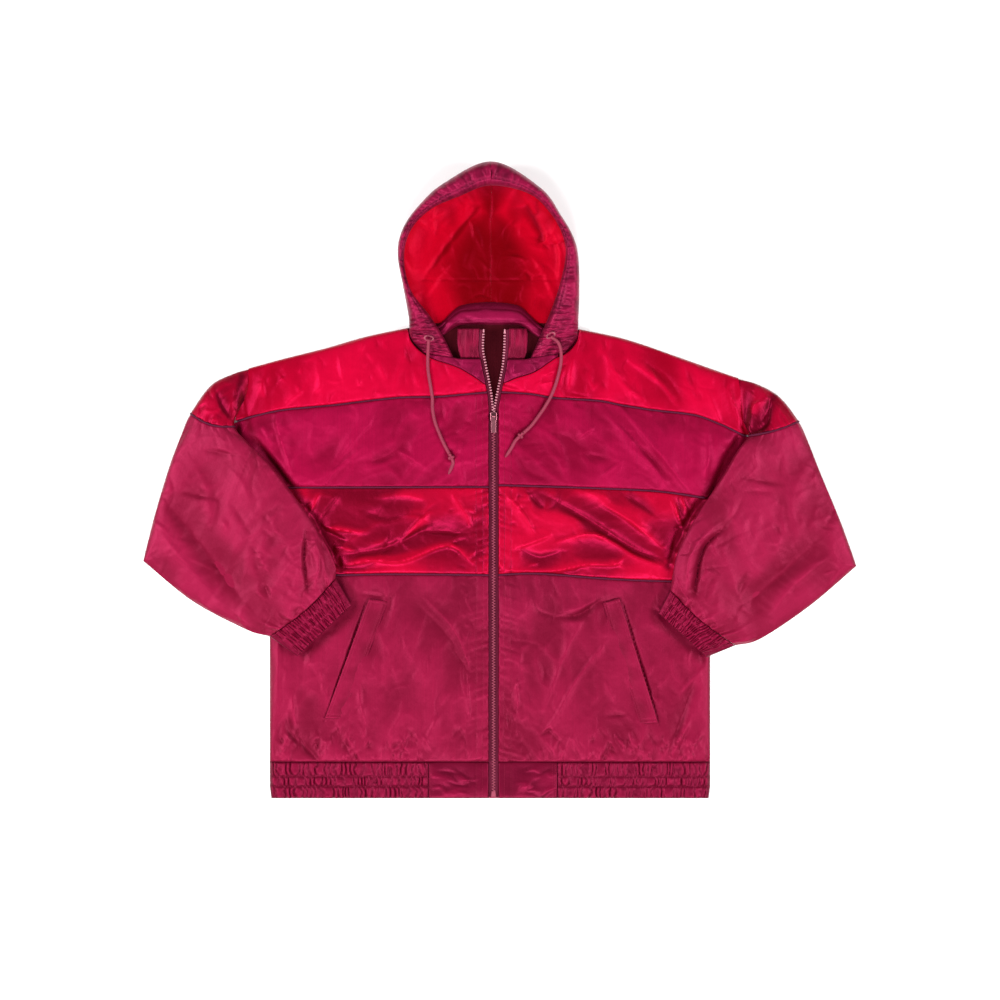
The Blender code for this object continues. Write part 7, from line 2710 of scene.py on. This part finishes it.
@dataclass
class Sewing:
    """The rows of stitches that show, each stitch a small thread of its own."""
    pitch: float = 3.2
    stitch: tuple = (0.55, 2.3, 0.42)
    stitch_taper: tuple = (0.7, 0.7)
    stitch_bevel: float = 0.12
    sink: float = 0.25
    look_down_from: float = 200.0
    buttonhole_stitches: int = 26
    buttonhole_half: tuple = (6.2, 3.4)
    buttonhole_rise: float = 2.0
    buttonhole_scale: float = 1.1

    def line(self, points: Sequence) -> Array:
        """Return evenly spaced points along a path of out and up."""
        fine = resampled(points, 40 * len(points))
        return evenly(fine, lambda length: np.arange(self.pitch / 2, length, self.pitch))

    def heights(self, carrier: bpy.types.Object, sign: float, plan: Array) -> Array:
        """Return the height of a piece's outside over plan points, and no number beside it.

        Args:
            carrier: The piece that is looked down on.
            sign: The half's sign.
            plan: Rows of out and up.

        Returns:
            One height for each point.
        """
        found = []
        for start in place(sign, plan[:, 0], plan[:, 1], np.full(len(plan), self.look_down_from)):
            hit, where, _, _ = carrier.ray_cast(Vector(start), Vector((0.0, 0.0, -1.0)))
            found.append(where.z / MM if hit else np.nan)
        return np.array(found)

    def rows(self, name: str, carrier: bpy.types.Object, lines: Sequence, sign: float, model: tuple,
             slot: Slot) -> None:
        """Lay rows of stitches on the piece that carries them.

        Args:
            name: The new piece's name.
            carrier: The cloth below the stitches.
            lines: Paths of out and up in millimetres.
            sign: The half's sign.
            model: The modelled stitch.
            slot: The record's slot.
        """
        spots, ways = [], []
        for points in lines:
            plan = self.line(points)
            heights = self.heights(carrier, sign, plan)
            good = ~np.isnan(heights)
            if good.sum() < 2:
                continue
            spot = np.concatenate((plan, (heights - self.sink + self.stitch[2] / 2)[:, None]), axis=1)[good]
            spots.append(spot)
            ways.append(np.gradient(spot, axis=0))
        piece = copy_along(name, model, np.concatenate(spots), np.concatenate(ways), sign, THREAD)
        settle(piece, slot)

    def lines_of(self, half: Half) -> dict:
        """Return the stitched lines of one half.

        Args:
            half: The half of the jacket.

        Returns:
            For each piece of cloth, the paths of its rows of stitches.
        """
        heights = {"skirt_cloth": (WAISTBAND_DEPTH + 2.5, 309.0), "band_cloth": (317.0, 431.0),
                   "chest_cloth": (440.0, 562.0), "waist_end_cloth": (3.0, 48.0)}
        lines = {name: [((line, low), (line, (low + high) / 2), (line, high)) for line in STITCH_LINES]
                 for name, (low, high) in heights.items()}
        end = half.waist_end - 2.4
        lines["waist_end_cloth"] += [((end, 3.0), (end, 25.0), (end, 48.0)),
                                     ((end - 4, 3.0), (end - 4, 48.0))]
        lines["yoke"] = [[(x, float(through(half.neck_line, np.array(x))) - 3.0)
                          for x in (17, 35, 55, 75, 90)]]
        edge = [(float(zip_edge(half, np.array(float(y)))) + 3.2, y) for y in (618, 636, 654)]
        lines["collar"] = [edge, [(x + 5.4, y) for x, y in edge]]
        upper_in, upper_out, lower_out, lower_in = (np.array(corner, float) for corner in half.welt)
        lines["welt"] = []
        for share in (0.15, 0.85):
            a = upper_in + (upper_out - upper_in) * share
            b = lower_in + (lower_out - lower_in) * share
            lines["welt"].append((a, (a + b) / 2, b))
        for share in (0.03, 0.97):
            a = upper_in + (lower_in - upper_in) * share
            b = upper_out + (lower_out - upper_out) * share
            lines["welt"].append((a, b))
        edge = float(through(half.body_edge, np.array(20.0))) - 6.0
        lines["waistband"] = [((half.waist_end + 3, y), (200.0, y), (edge, y)) for y in (17.0, 31.0)]
        return lines

    def build(self) -> None:
        """Stitch the front edges, the neck, the collar, the welts, the waistband and the hood."""
        model = model_small("stitch_model", self.stitch, self.stitch_taper, self.stitch_bevel)
        for half in HALVES:
            for name, lines in self.lines_of(half).items():
                cloth = name if name.endswith("_cloth") else name + "_cloth"
                carrier = bpy.data.objects[cloth + "_" + half.name]
                slot = Slot.SATIN if name == "yoke" else Slot.CLOTH
                self.rows("_".join(("stitches", name, half.name)), carrier, lines, half.sign, model, slot)
            self.buttonhole(half, model)

    def buttonhole(self, half: Half, model: tuple) -> None:
        """Whip the eyelet where the drawcord leaves the casing.

        Args:
            half: The half of the jacket.
            model: The modelled stitch.
        """
        out, up, _ = half.cord[0]
        turn = np.linspace(0.0, 2 * np.pi, self.buttonhole_stitches + 1)[:-1]
        lean = half.pick(0.15, 0.5)
        x, y = self.buttonhole_half[0] * np.cos(turn), self.buttonhole_half[1] * np.sin(turn)
        plan = np.stack((out + x * math.cos(lean) - y * math.sin(lean),
                         up + self.buttonhole_rise + x * math.sin(lean) + y * math.cos(lean)), axis=-1)
        carrier = bpy.data.objects["hood_casing_" + half.name]
        spots = np.column_stack((plan, self.heights(carrier, half.sign, plan) + 0.1))
        spots = spots[~np.isnan(spots[:, 2])]
        ways = (spots - (out, up + self.buttonhole_rise, 0.0)) * (1.0, 1.0, 0.0)
        piece = copy_along("buttonhole_" + half.name, model, spots, ways, half.sign, PINK_THREAD,
                           self.buttonhole_scale)
        settle(piece, Slot.CORD)


# ---------------------------------------------------------------- the studio

@dataclass
class Studio:
    """The pale surface, soft lights and the camera straight above."""
    lens: float = 200.0
    sensor: float = 36.0
    frame_width: float = 1.4
    aim: tuple = (0.0003, -0.0273)
    far_end: float = 60.0
    floor_size: float = 30.0
    floor_level: float = -0.0004
    paper_grain: float = 300.0
    paper_roughness: float = 0.9
    floor_colour: tuple = (0.93, 0.93, 0.93)
    floor_glow: float = 0.1
    world_strength: float = 0.22
    lights: tuple = (
        ("left_light", (-2.2, 0.1, 1.9), 1.3, 86.0),
        ("right_light", (2.2, -0.2, 1.9), 1.3, 79.0),
        ("low_light", (-0.2, -2.0, 2.3), 1.3, 84.0),
        ("top_light", (0.3, 2.4, 2.4), 1.6, 14.0),
    )

    def build(self) -> None:
        """Make the camera, the floor, the lights and the world."""
        self.camera()
        self.floor()
        for name, spot, size, power in self.lights:
            self.light(name, Vector(spot), size, power)
        world = bpy.data.worlds.new("studio_world")
        world.use_nodes = True
        background = world.node_tree.nodes["Background"]
        background.inputs["Color"].default_value = (1.0, 1.0, 1.0, 1.0)
        background.inputs["Strength"].default_value = self.world_strength
        bpy.context.scene.world = world
        bpy.context.scene.view_settings.view_transform = "Standard"

    def camera(self) -> None:
        """Look straight down at the photograph's scale."""
        data = bpy.data.cameras.new("studio_camera")
        data.lens = self.lens
        data.sensor_width = self.sensor
        data.clip_end = self.far_end
        camera = bpy.data.objects.new("studio_camera", data)
        camera.location = (*self.aim, self.frame_width * self.lens / self.sensor)
        bpy.context.scene.collection.objects.link(camera)
        bpy.context.scene.camera = camera

    def floor(self) -> None:
        """Make the pale surface that the jacket lies on."""
        bpy.ops.object.select_all(action="DESELECT")
        bpy.ops.mesh.primitive_plane_add(size=self.floor_size, location=(0.0, 0.0, self.floor_level))
        floor = bpy.context.object
        floor.name = "studio_floor"
        graph = Graph("pale_paper")
        grain = graph.noise(graph.coordinates["Object"], self.paper_grain)
        stops = ((0.3, scaled(self.floor_colour, 0.99)), (0.7, self.floor_colour))
        graph.feed(Base_Color=graph.colours(grain, stops))
        graph.shader.inputs["Roughness"].default_value = self.paper_roughness
        graph.shader.inputs["Specular IOR Level"].default_value = 0.0
        graph.shader.inputs["Emission Color"].default_value = (1.0, 1.0, 1.0, 1.0)
        graph.shader.inputs["Emission Strength"].default_value = self.floor_glow
        floor.data.materials.append(graph.material)

    def light(self, name: str, spot: Vector, size: float, power: float) -> None:
        """Hang one soft light that faces the jacket.

        Args:
            name: The light's name.
            spot: Where it hangs.
            size: Its width in metres.
            power: Its power in watts.
        """
        data = bpy.data.lights.new(name, "AREA")
        data.size = size
        data.energy = power
        lamp = bpy.data.objects.new(name, data)
        lamp.location = spot
        lamp.rotation_euler = (-spot).to_track_quat("-Z", "Y").to_euler()
        bpy.context.scene.collection.objects.link(lamp)


def main() -> None:
    """Build the studio and the whole jacket."""
    logging.basicConfig(level=logging.INFO, format="%(name)s: %(message)s")
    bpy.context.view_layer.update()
    Studio().build()
    for half in HALVES:
        Drawcord(half).build()
    Back().build()
    for half in HALVES:
        FrontHalf(half).build()
        Waistband(half).build()
        PocketWelt(half).build()
        Neck(half).build()
        Hood(half).build()
        Sleeve(half).build()
    ZipFastener().build()
    Sewing().build()


if __name__ == "__main__":
    main()
